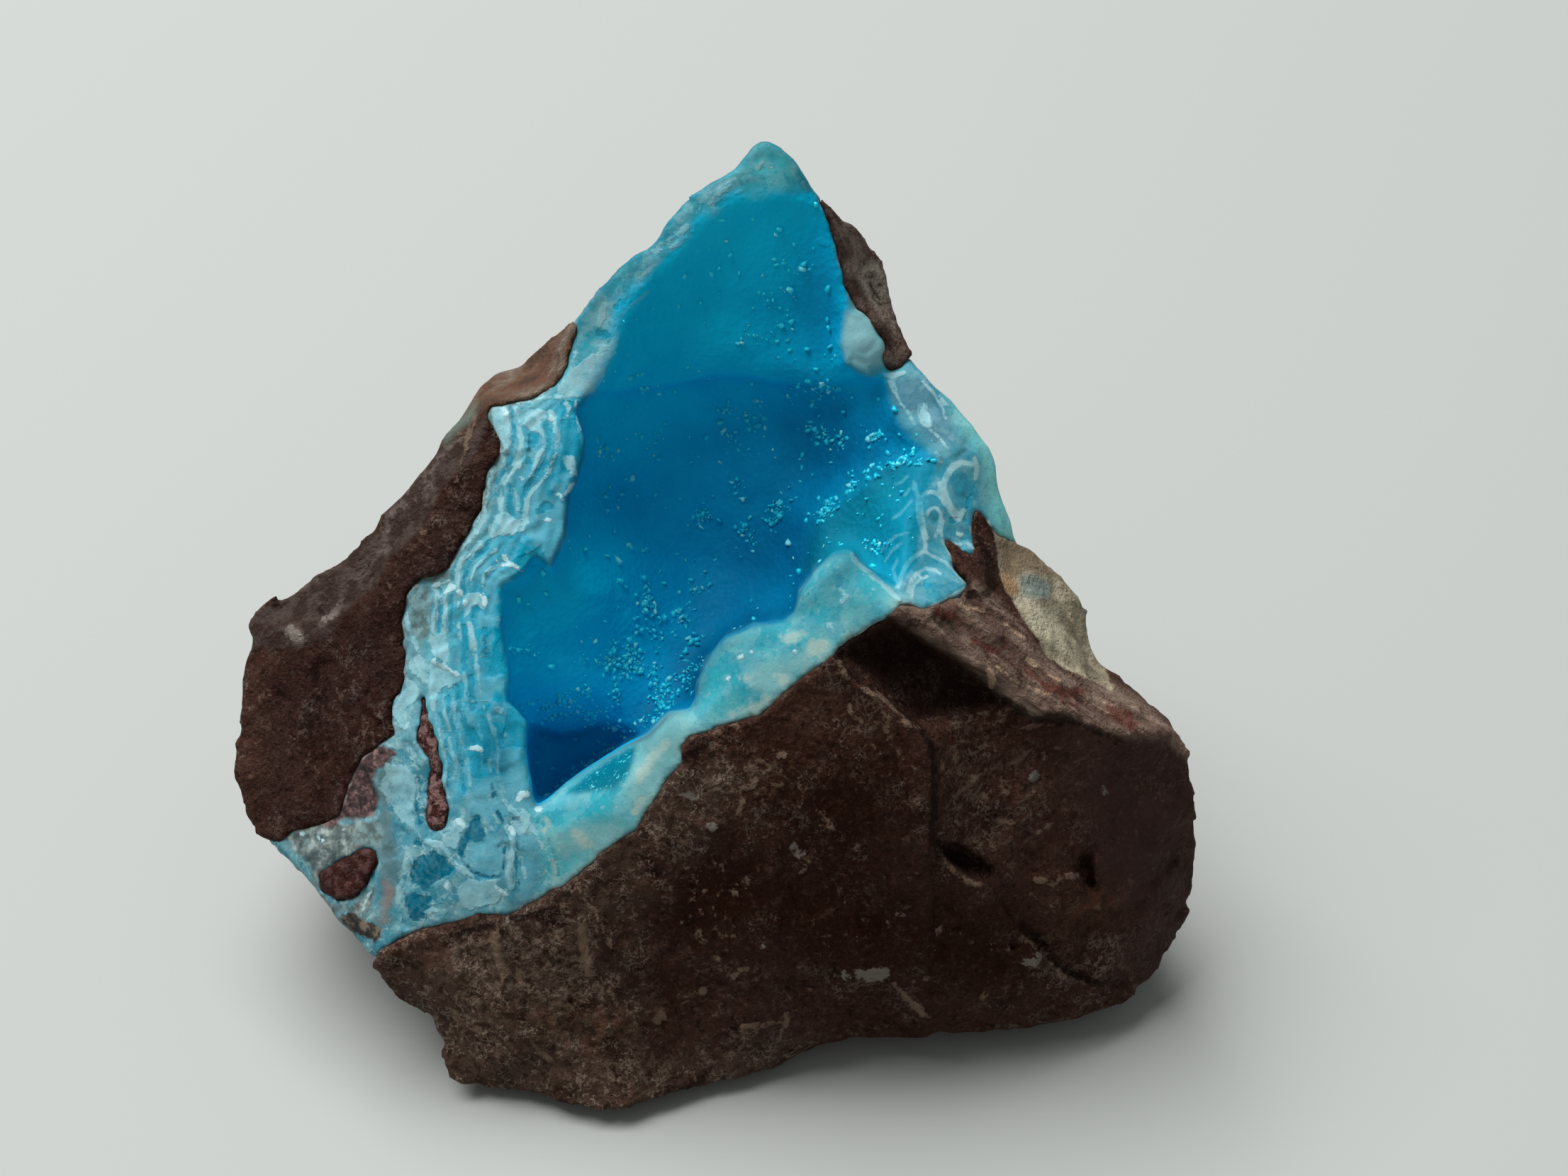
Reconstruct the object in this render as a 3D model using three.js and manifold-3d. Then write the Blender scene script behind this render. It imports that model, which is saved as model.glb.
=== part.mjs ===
// Hemimorphite specimen: a palm-sized chunk of dark iron-rich rock with an
// open vug, the vug lined by a thick blue hemimorphite crust.
//
// Units are millimetres, +Z is up.  The specimen rests on a flat patch of its
// underside at Z = 0; the origin is the middle of its footprint.
//
// The vug opens towards the front (-Y) and upwards, so every outline is drawn
// on a tilted plate that faces the opening.  A vertex is given as
// [across, up, deep]: its place on the plate and how far behind the plate it
// lies.  Lines of equal [across, up] fan out from one pole, which gives the
// hollow and the crust's edges a natural draft.
import * as THREE from 'three';
import { mergeVertices } from 'three/addons/utils/BufferGeometryUtils.js';
import Module from 'manifold-3d';

// ---- driving dimensions -------------------------------------------------
const SCALE = 1.0;                // whole-specimen scale, 1 = 86 mm long
const OPENING_TILT = 40;          // degrees the opening leans up from level
const PLATE_AT = [5.9, 25.0, 37.1]; // middle of the drawing plate
const POLE_REACH = 186;           // pole to plate, mm
const CRUST_THICKNESS = 5.0;      // hollow wall to rock, along the draft
const SEAM = 0.3;                 // gap kept between crust and rock
const FRONT_CLEAR = -30;          // cutters start this far in front
const CLAST_ROOT = 2.0;           // how far a rock knob runs on into the rock
const ORIGIN = [-0.573, 32.266, 0];      // footprint middle in plate coordinates

const wasm = await Module();
wasm.setup();

// ---- drawing plate to specimen coordinates -------------------------------
const tilt = THREE.MathUtils.degToRad(OPENING_TILT);
const INTO = new THREE.Vector3(0, Math.cos(tilt), -Math.sin(tilt));
const ACROSS = new THREE.Vector3(1, 0, 0);
const UP = new THREE.Vector3(0, Math.sin(tilt), Math.cos(tilt));
const POLE = new THREE.Vector3(...PLATE_AT).addScaledVector(INTO, -POLE_REACH);

function place([across, up, deep]) {
  const ray = INTO.clone()
    .addScaledVector(ACROSS, across / POLE_REACH)
    .addScaledVector(UP, up / POLE_REACH);
  return POLE.clone().addScaledVector(ray, POLE_REACH + deep)
    .sub(new THREE.Vector3(...ORIGIN)).multiplyScalar(SCALE);
}

// ---- the broken outer form ------------------------------------------------
// The rim line comes first, then the front facets (crust rim, lip, left face,
// front block, top slope), then the underside and the back.
const FORM = [
  [-1.69,38.59,-1], [-0.24,37.8,-0.8], [0.85,36.77,-0.3], [1.88,35.08,0.5], [2.78,33.69,1.5], [4.48,31.93,4],
  [6.17,30.48,6], [7.38,28.9,7.5], [8.35,27.69,8], [8.96,25.7,8], [9.32,23.58,7], [9.81,21.46,6],
  [10.53,20.13,4.5], [11.74,18.61,4], [13.56,16.74,4], [15.07,15.41,4], [16.46,13.89,4], [17.68,12.08,4],
  [18.46,10.5,4], [18.46,8.44,4], [19.01,6.93,4], [19.61,5.42,4.2], [19.98,3.72,4.8], [21.31,2.69,5],
  [23.24,1.06,5.5], [25.3,-1,6], [25.48,-1.97,6], [25.24,-3.06,6], [25.67,-4.57,6], [26.09,-6.2,6],
  [26.88,-7.05,5.5], [28.69,-7.78,5], [30.27,-9.11,4], [32.32,-11.53,2.8], [34.26,-14.07,1.5], [34.75,-16.37,2],
  [35.11,-18.8,4], [34.99,-21.22,7], [34.75,-24.24,9], [34.5,-26.97,10], [33.54,-29.39,10.5], [32.32,-31.51,10.5],
  [30.99,-33.14,10], [29.3,-34.11,9], [26.63,-35.02,8], [24.09,-36.05,7.5], [20.22,-36.96,7], [17.43,-37.38,6.5],
  [14.77,-37.5,6.2], [12.05,-37.62,6], [9.32,-37.56,6], [6.72,-37.62,5.8], [3.33,-38.04,5.8], [0,-39.5,5.5],
  [-2.66,-40.83,5.6], [-4.6,-41.8,5.2], [-6.72,-42.83,4.8], [-10.05,-43.86,4.1], [-13.38,-44.52,3.6], [-15.5,-44.4,3.7],
  [-17.43,-44.16,4], [-19.43,-43.67,4.4], [-21.43,-43.19,4.9], [-23.37,-42.89,4.6], [-25.42,-42.52,4.2], [-27.18,-42.1,3.6],
  [-28.33,-41.19,3.5], [-28.87,-39.98,3.6], [-29,-37.86,4], [-29.78,-36.29,4], [-31.23,-35.02,3.6], [-32.75,-34.17,3],
  [-33.96,-32.84,2], [-34.87,-31.51,1.5], [-36.68,-29.81,2.2], [-38.5,-28,3.2], [-40.13,-25.58,4.4], [-42.01,-23.52,5.6],
  [-43.95,-21.82,7], [-45.4,-20.73,8], [-46,-19.88,8.4], [-45.94,-17.58,8.3], [-47.03,-16.25,8.6], [-47.09,-14.86,9],
  [-46.55,-12.44,9.4], [-46,-10.02,9.8], [-46,-6.69,10.4], [-45.16,-4.63,10.8], [-45.34,-3.06,11.2], [-44.92,-2.33,11.2],
  [-42.68,-0.64,10.6], [-40.01,1.18,9.6], [-37.29,3,8.6], [-34.69,4.75,7.6], [-34.26,6.14,7.2], [-31.84,8.69,6.4],
  [-29.48,11.23,5.8], [-28.81,12.8,6.4], [-27.91,13.89,8], [-27.12,14.74,9.5], [-25.79,17.04,11], [-24.46,18.19,12],
  [-22.46,18.73,12], [-20.82,20.07,11.5], [-19.13,21.76,9], [-17.8,22.85,5], [-17.19,23.88,2.6], [-16.4,25.09,2],
  [-15.13,26.79,1.6], [-13.68,27.94,1.3], [-12.17,29.09,1], [-11.02,29.87,0.9], [-10.05,31.75,0.7], [-9.14,33.14,0.3],
  [-7.32,34.17,0], [-5.21,35.32,-0.4], [-3.69,36.77,-0.7], [-2.78,37.92,-0.9], [-34.44,-31.2,0.6], [-31.66,-29.45,-0.2],
  [-28.39,-28.66,-0.8], [-25.91,-27.94,-1.3], [-23.37,-28,-1.6], [-21.13,-26.66,-2.1], [-17.86,-24.91,-2.9], [-15.38,-22.67,-3.7],
  [-12.59,-20.67,-4.5], [-11.62,-19.04,-5], [-9.75,-16.5,-5.8], [-8.6,-14.86,-6.3], [-8.6,-13.71,-6.6], [-7.93,-12.8,-6.9],
  [-6.05,-12.2,-7.2], [-4.18,-11.47,-7.5], [-2.12,-11.17,-7.8], [-0.24,-9.29,-8.4], [2.06,-7.48,-8.9], [4.12,-6.08,-9.4],
  [5.51,-4.45,-9.8], [7.14,-3.48,-10.1], [9.38,-2.33,-10.5], [-42.92,-21.46,6.2], [-41.71,-20.49,5.6], [-39.71,-20.19,4.4],
  [-38.01,-19.28,3.7], [-37.29,-16.98,3.3], [-36.38,-14.86,2.8], [-34.87,-13.47,2.4], [-33.35,-12.5,2.2], [-33.66,-10.44,2.8],
  [-32.45,-7.84,3], [-32.45,-4.75,3.5], [-32.75,-2.88,3.8], [-32.26,-0.45,3.8], [-31.05,0.82,3.6], [-28.69,1.73,3.2],
  [-27.18,4.51,3.2], [-25.91,6.69,3.2], [-25.48,9.78,3.4], [-24.09,11.77,3.2], [-25.48,14.68,4.4], [-24.88,15.65,4.8],
  [-21.85,16.19,4.6], [-19.73,17.22,4.4], [-18.52,19.04,4], [-18.22,20.55,3.8], [-17.8,22.06,3.4], [-15.98,17.04,3.6],
  [-17.62,15.41,3.4], [-17.07,12.68,2.6], [-17.19,10.87,2.5], [-17.74,9.17,2.3], [-18.4,7.6,2.1], [-18.7,4.51,1.8],
  [-19.92,1.91,1.3], [-21.25,2.88,1.5], [-22.28,1.42,1.5], [-24.09,0.21,1.6], [-24.21,-3.54,1], [-23.61,-7.23,0.4],
  [-23.61,-9.72,0], [-22.09,-11.53,-0.7], [-22.09,-14.01,-1.2], [-21.61,-17.71,-2], [-21.13,-18.67,-2.2], [-20.04,-18.07,-1.4],
  [-18.52,-16.68,-0.6], [-16.04,-15.04,0.2], [-13.68,-13.47,-0.4], [-11.99,-12.02,-1.8], [-11.62,-12.56,-3.9], [-9.75,-10.68,-4.8],
  [-7.93,-10.44,-5.2], [-7.45,-9.53,-5.2], [-7.32,-8.14,-5.2], [-6.3,-5.84,-5.8], [-4.9,-4.21,-6.4], [-2.6,-3.18,-6.9],
  [0,-2.94,-7.3], [0.91,-2.15,-7.4], [1.45,-0.27,-7.4], [2.78,1.6,-7.3], [4.36,2.88,-7.3], [5.75,3,-7.4],
  [6.48,2.03,-7.8], [7.87,0.88,-8.6], [9.44,-0.27,-9.3], [-24.58,-23.94,-2], [-20.94,-21.82,-2.6], [-17.31,-20.01,-3.5],
  [-14.41,-18.07,-4.4], [-11.56,-15.16,-5.2], [-10.05,-12.74,-5.9], [-7.32,-11.23,-6.6], [-4.6,-8.5,-7.2], [-1.57,-6.69,-7.9],
  [1.45,-4.27,-8.4], [3.87,-1.85,-8.6], [5.69,-0.03,-8.8], [7.63,-1.24,-9.6], [-18.52,-18.49,-2.6], [-15.5,-16.98,-3.2],
  [-13.38,-14.86,-3.4], [9.93,-1.36,-9.9], [10.84,-1.42,-9.4], [11.92,-2.33,-9.4], [13.26,-1.36,-8], [14.47,-1.12,-6.6],
  [15.8,0.27,-3.8], [14.47,2.09,-3], [13.68,4.21,-1.8], [15.68,2.81,-1.6], [16.46,2.51,-1], [16.22,3.9,0],
  [16.04,4.81,0.4], [16.34,6.51,1.2], [17.01,6.08,1.6], [17.55,5.3,2], [18.04,4.45,2.8], [19.01,4.09,3.8],
  [9.75,1.79,-6.4], [9.93,5.42,-3.6], [10.53,8.44,-1.2], [12.35,11.47,1], [11.62,12.08,1.6], [8.96,13.95,3.4],
  [9.32,16.74,4.2], [8.54,18.73,4.8], [5.08,19.95,3.6], [5.45,22.97,3.4], [5.99,23.94,3.4], [7.63,22.49,3.4],
  [8.47,21.16,3.6], [8.47,19.22,3.8], [6.6,18.61,3.6], [6.78,21.16,2.6], [3.57,31.75,1.8], [4.36,29.33,2.4],
  [4.96,27.21,2.8], [5.63,24.91,3.4], [2.66,32.66,0.9], [-0.36,32.84,0.2], [-3.69,32.66,0.3], [-5.51,31.75,0.6],
  [-7.32,30.24,1], [-9.14,28.3,1.3], [-10.96,26.48,1.6], [-12.47,24.49,1.9], [-13.68,22.85,2.2], [-14.16,21.04,2.6],
  [-15.5,18.43,3.2], [-43.64,-5.78,9.2], [-40.92,-3.78,8], [-36.68,-0.76,6.4], [-33.78,1.79,5.4], [-31.11,5.3,4.6],
  [-28.21,9.78,4], [-26.51,12.98,4.2], [11.74,-3.06,-9.3], [14.47,-4.57,-8.2], [18.52,-7.29,-6.8], [22.64,-9.41,-5.8],
  [27.36,-12.44,-4], [29.9,-12.14,-2.4], [32.87,-12.56,-0.6], [6.72,-6.99,-9.5], [8.72,-9.41,-9.1], [11.14,-11.83,-8.6],
  [12.71,-13.47,-8.3], [13.08,-16.37,-7.6], [12.95,-19.4,-6.7], [12.71,-22.12,-5.9], [8.11,-5.18,-8.2], [11.74,-7.29,-6.6],
  [15.98,-9.72,-5.2], [20.82,-12.14,-4.2], [20.22,-24.12,-1.2], [23.85,-24.85,-0.4], [26.15,-23.94,0.2], [-40.31,-10.93,6.2],
  [-36.38,-6.08,4.8], [-42.74,-16.98,6.8], [-38.5,-15.16,4.2], [-30.63,2.39,3.4], [-35.47,-1.85,4.8], [-43.04,-11.53,8.2],
  [-21.85,10.87,2.6], [-20.94,6.63,2.3], [-28.21,-2.45,2.6], [-28.21,-7.29,1.6], [-27.91,-13.35,0.4], [-26.39,-18.19,-0.9],
  [-30.63,-17.58,0.9], [-30.63,-21.82,-0.3], [-28.21,-24.24,-1.2], [-33.05,-24.24,0.4], [-36.68,-24.24,2], [-39.71,-23.34,3.8],
  [-37.89,-27.27,2.4], [-33.96,-27.88,0.6], [-30.63,-26.66,-0.6], [-24.58,-34.53,0.8], [-28.21,-33.32,1], [-18.52,-30.9,-1],
  [-20.94,-37.56,1.4], [-12.47,-26.06,-3], [-8.84,-21.22,-4.8], [-6.42,-28.48,-2.4], [-12.47,-35.74,0.4], [-3.39,-19.4,-5.9],
  [4.48,-16.37,-7.4], [4.48,-23.64,-4.8], [0.85,-30.9,-2], [8.11,-30.3,-2.2], [-5.21,-37.56,2.2], [3.27,-36.35,2.6],
  [12.95,-30.3,-1.6], [11.74,-35.74,2.4], [20.22,-19.4,-2.6], [25.67,-17.58,-1.4], [26.27,-24.85,1], [20.22,-26.06,-0.2],
  [22.64,-32.11,3.4], [17.8,-34.53,2.8], [27.48,-31.51,4.6], [31.11,-21.22,2.4], [31.72,-27.27,5.4], [16.59,-16.98,-4],
  [20.22,-1.85,-1.6], [17.8,1.79,-0.4], [21.43,-4.27,-2.6], [23.85,-6.08,-1.2], [26.27,-9.72,-1.6], [20.82,1.79,2.6],
  [23.24,-1.24,3.2], [22.64,-3.06,0.8], [14.77,-2.45,-6.4], [19.01,-4.27,-4.6], [12.95,1.79,-4], [12.95,6.63,-1.6],
  [13.86,9.65,0.6], [14.77,12.68,2.2], [12.35,15.71,3.2], [16.28,9.05,2.2], [16.89,10.87,2.8], [5.99,28.12,5],
  [7.51,24.79,6], [8.84,21.76,5.2], [9.44,19.22,4.8], [13.38,-21.82,-5.6], [15.38,-23.76,-4.2], [17.55,-24.49,-3.4],
  [14.77,-22.73,-3.4], [-1.59,36.32,2.25], [1.73,33.54,3.71], [4.81,30.05,6.23], [7.2,26.56,8.83], [8.71,22.26,9.9],
  [10.74,18.43,8.16], [13.83,14.93,7.62], [16.37,11.56,7.6], [17.81,7.58,7.72], [20.23,2.61,8.49], [23.09,-0.75,9.27],
  [24.98,-4.93,9.42], [27.53,-8.41,8.56], [30.72,-11.52,6.83], [33.13,-15.43,5.93], [33.83,-19.81,8.85], [33.57,-24.16,9.88],
  [32.53,-28.34,10.5], [-30.33,-34.68,7.04], [-33.47,-31.56,5.89], [-36.53,-28.3,6.32], [-39.37,-24.97,8.02], [-42.38,-21.77,10.04],
  [-44.92,-18.06,11.73], [-45.51,-13.48,12.48], [-44.97,-9.2,13.58], [-44.23,-5.06,12.59], [-41.79,-1.5,12.31], [-38.24,1.05,11.22],
  [-34.66,3.89,11.42], [-31.66,7.23,10.29], [-28.75,10.77,10.25], [-26.03,14.48,12.95], [-22.74,17.57,15.04], [-19.07,20.38,12.55],
  [-16.16,23.53,7.52], [-13.23,26.75,5.06], [-10.08,29.84,3.69], [-7.01,32.89,3.03], [-3.55,35.46,2.32], [-1.9,32.76,7],
  [2.15,29.75,8.37], [5.21,25.29,9.84], [7.85,20.45,14.66], [10.61,15.99,13.69], [13.58,11.54,13.17], [16.57,6.08,13.4],
  [19.58,0.71,14.08], [22.46,-3.89,14.41], [25.26,-8.06,13.91], [28.42,-12.35,12.81], [30.83,-17.05,13], [31.37,-22.1,15.56],
  [30.13,-27.02,14.67], [26.64,-30.98,13.96], [21.75,-33.07,11.92], [16.77,-34.06,12.13], [11.79,-34.55,13.3], [6.49,-35.14,12.93],
  [1.18,-36.32,11.71], [-3.74,-38.05,9.95], [-8.64,-39.78,8.22], [-13.71,-40.7,7.31], [-18.82,-40.41,7.59], [-23.88,-38.71,9.28],
  [-27.7,-35.27,12.49], [-31.09,-31.36,12], [-34.71,-27.37,12.29], [-38.21,-23.43,13.8], [-41.29,-19.37,15.94], [-43.02,-14.34,16.78],
  [-42.74,-9.25,18.96], [-40.83,-4.43,19.26], [-37.23,-0.56,18.2], [-32.84,3.47,16.8], [-29.32,7.24,16.37], [-26.09,11.06,17.26],
  [-22.55,14.88,18.51], [-18.64,18.56,17.24], [-14.61,22.49,13.65], [-10.8,26.38,8.38], [-7.07,29.91,7.84], [-1.63,37.38,3.6],
  [-0.61,36.17,5], [-2.66,36.17,5], [-5.21,33.99,5.6], [0.85,34.35,6], [-24.74,-35.89,12.15], [-20.07,-36.74,11.28],
  [-14.74,-35.93,12.11], [-10.52,-35.92,12.12], [-26.21,-32.11,16.13], [-22.35,-32.61,15.6], [-17.69,-32.03,16.21], [-12.88,-32.58,15.63],
  [-7.3,-32.02,16.23], [-2.73,-32.58,15.63], [1.19,-32.19,16.04], [14.83,-31.83,16.43], [-29,-28.53,20.05], [-23.72,-28.25,20.37],
  [-19.78,-27.89,20.77], [-14.68,-28.4,20.2], [-10.98,-28.45,20.14], [-6.04,-28.27,20.34], [-1.15,-28.07,20.57], [3.71,-28.1,20.54],
  [7.89,-28.31,20.29], [13.04,-28.05,20.58], [17.1,-28.03,20.61], [22.42,-28.25,20.36], [27.17,-27.87,17.65], [-35.33,-24.2,25],
  [-30.67,-24.97,24.1], [-26,-24.4,24.77], [-21.56,-24.62,24.51], [-17.02,-24.13,25.09], [-12.4,-24.2,25], [-8.66,-24.99,24.08],
  [-3.48,-24.3,24.88], [0.81,-24.25,24.94], [5.99,-25.15,23.89], [10.37,-24.9,24.19], [14.38,-25.02,24.04], [19.35,-24.96,24.12],
  [23.78,-25.16,23.88], [28.76,-24.68,19.22], [-38.2,-20.64,23.53], [-33.83,-20.05,29.98], [-28.87,-21.16,28.62], [-23.94,-21.08,28.72],
  [-19.43,-20.73,29.14], [-14.78,-19.87,30.2], [-9.85,-20.62,29.27], [-5.26,-20.31,29.65], [-1.28,-21.01,28.8], [3.64,-20.42,29.52],
  [8.75,-19.85,30.21], [12.86,-20.72,29.16], [17.86,-21.21,28.56], [21.36,-20.42,29.52], [26.67,-21.01,26.69], [-40.58,-16.8,20.46],
  [-34.93,-16.68,32.3], [-30.35,-15.93,35.15], [-26.26,-16.84,33.98], [-21.12,-16.51,34.4], [-17.31,-16.76,34.08], [-11.92,-16.52,34.39],
  [-8.29,-16.54,34.36], [-3.92,-16.34,34.62], [1.13,-16.8,34.04], [6.2,-16.05,34.99], [9.72,-16.46,34.46], [14.69,-15.9,35.19],
  [20,-16.86,33.95], [23.88,-16.99,33.78], [-37.53,-12.78,28.52], [-33.25,-12.74,36.25], [-28.98,-12.46,39.69], [-24.14,-12.7,39.38],
  [-19.15,-12.38,39.81], [-15.54,-12.85,39.17], [-10.36,-11.92,40.42], [-5.15,-12.44,39.72], [-1.77,-12.12,40.16], [3.4,-12.4,39.78],
  [8.4,-12.32,39.89], [12.68,-11.93,40.41], [17.15,-12.66,39.04], [22.4,-12.93,36.76], [-35.02,-9,34.81], [-31.02,-8.44,38.89],
  [-26.4,-8.74,43.71], [-22.28,-8.38,45.29], [-16.76,-9.11,44.28], [-12.97,-8.06,45.75], [-7.59,-8.27,45.45], [-4.06,-8.19,45.56],
  [1.88,-7.81,46.11], [6.09,-9.14,44.24], [10.88,-8.9,43.98], [15.21,-7.87,42.8], [19.9,-9.02,40.14], [-33.19,-4.16,35.55],
  [-28.16,-5.01,42.18], [-24.19,-4.76,46.49], [-19.35,-4.52,50.09], [-14.28,-4.68,50.09], [-10.92,-4.23,50.1], [-6.18,-4.32,50.1],
  [-1.09,-3.93,50.11], [3.58,-4.33,50.1], [7.77,-4.43,48.22], [12.36,-4.15,46.4], [17.33,-5.01,43.71], [-30.47,-0.53,33.39],
  [-26.64,-0.08,38.84], [-22.45,-0.18,46.28], [-17.82,-0.99,50.2], [-11.96,-0.25,50.22], [-8.38,-1.04,50.2], [-2.73,-0.27,50.22],
  [1.65,-1,50.2], [5.98,-0.7,50.21], [10.03,-0.73,47], [15.16,-0.71,41.77], [-28.15,3.48,30.01], [-23.73,2.8,38.31],
  [-19.54,4.05,43.09], [-14.73,3.4,47.88], [-10.34,2.94,50.32], [-6.18,3.02,49.85], [-1.27,3.34,48.52], [4.04,3.02,47.17],
  [7.76,3.19,43.1], [12.23,3.2,38.69], [-22.17,6.91,33.36], [-17.33,8.17,38.2], [-12.78,7.24,41.54], [-8.04,7.2,41.06],
  [-3.07,7.81,39.22], [0.73,7.14,40.14], [6.05,8.12,37.29], [10.61,7.41,34.05], [-19.77,10.88,30.18], [-15.54,12.17,32],
  [-10.74,11.52,32.72], [-5.83,11.55,32.12], [-1.68,11.25,32.25], [2.96,11.56,31.13], [8.7,11.64,29.82], [-17.55,14.93,26.67],
  [-12.69,15.62,25.29], [-8.35,14.89,26.14], [-3.11,14.88,25.63], [0.79,15.21,24.63], [5.63,14.95,24.61], [-10.81,19.31,18.65],
  [-5.19,20.14,16.73], [-0.94,19.13,18], [3.41,19.32,17.28], [-8.65,23.62,11.43], [-3.42,24.05,11.41], [1.06,23.11,11.88],
  [-6.14,27.36,10.7], [-1.35,26.85,11.12]
];
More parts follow.
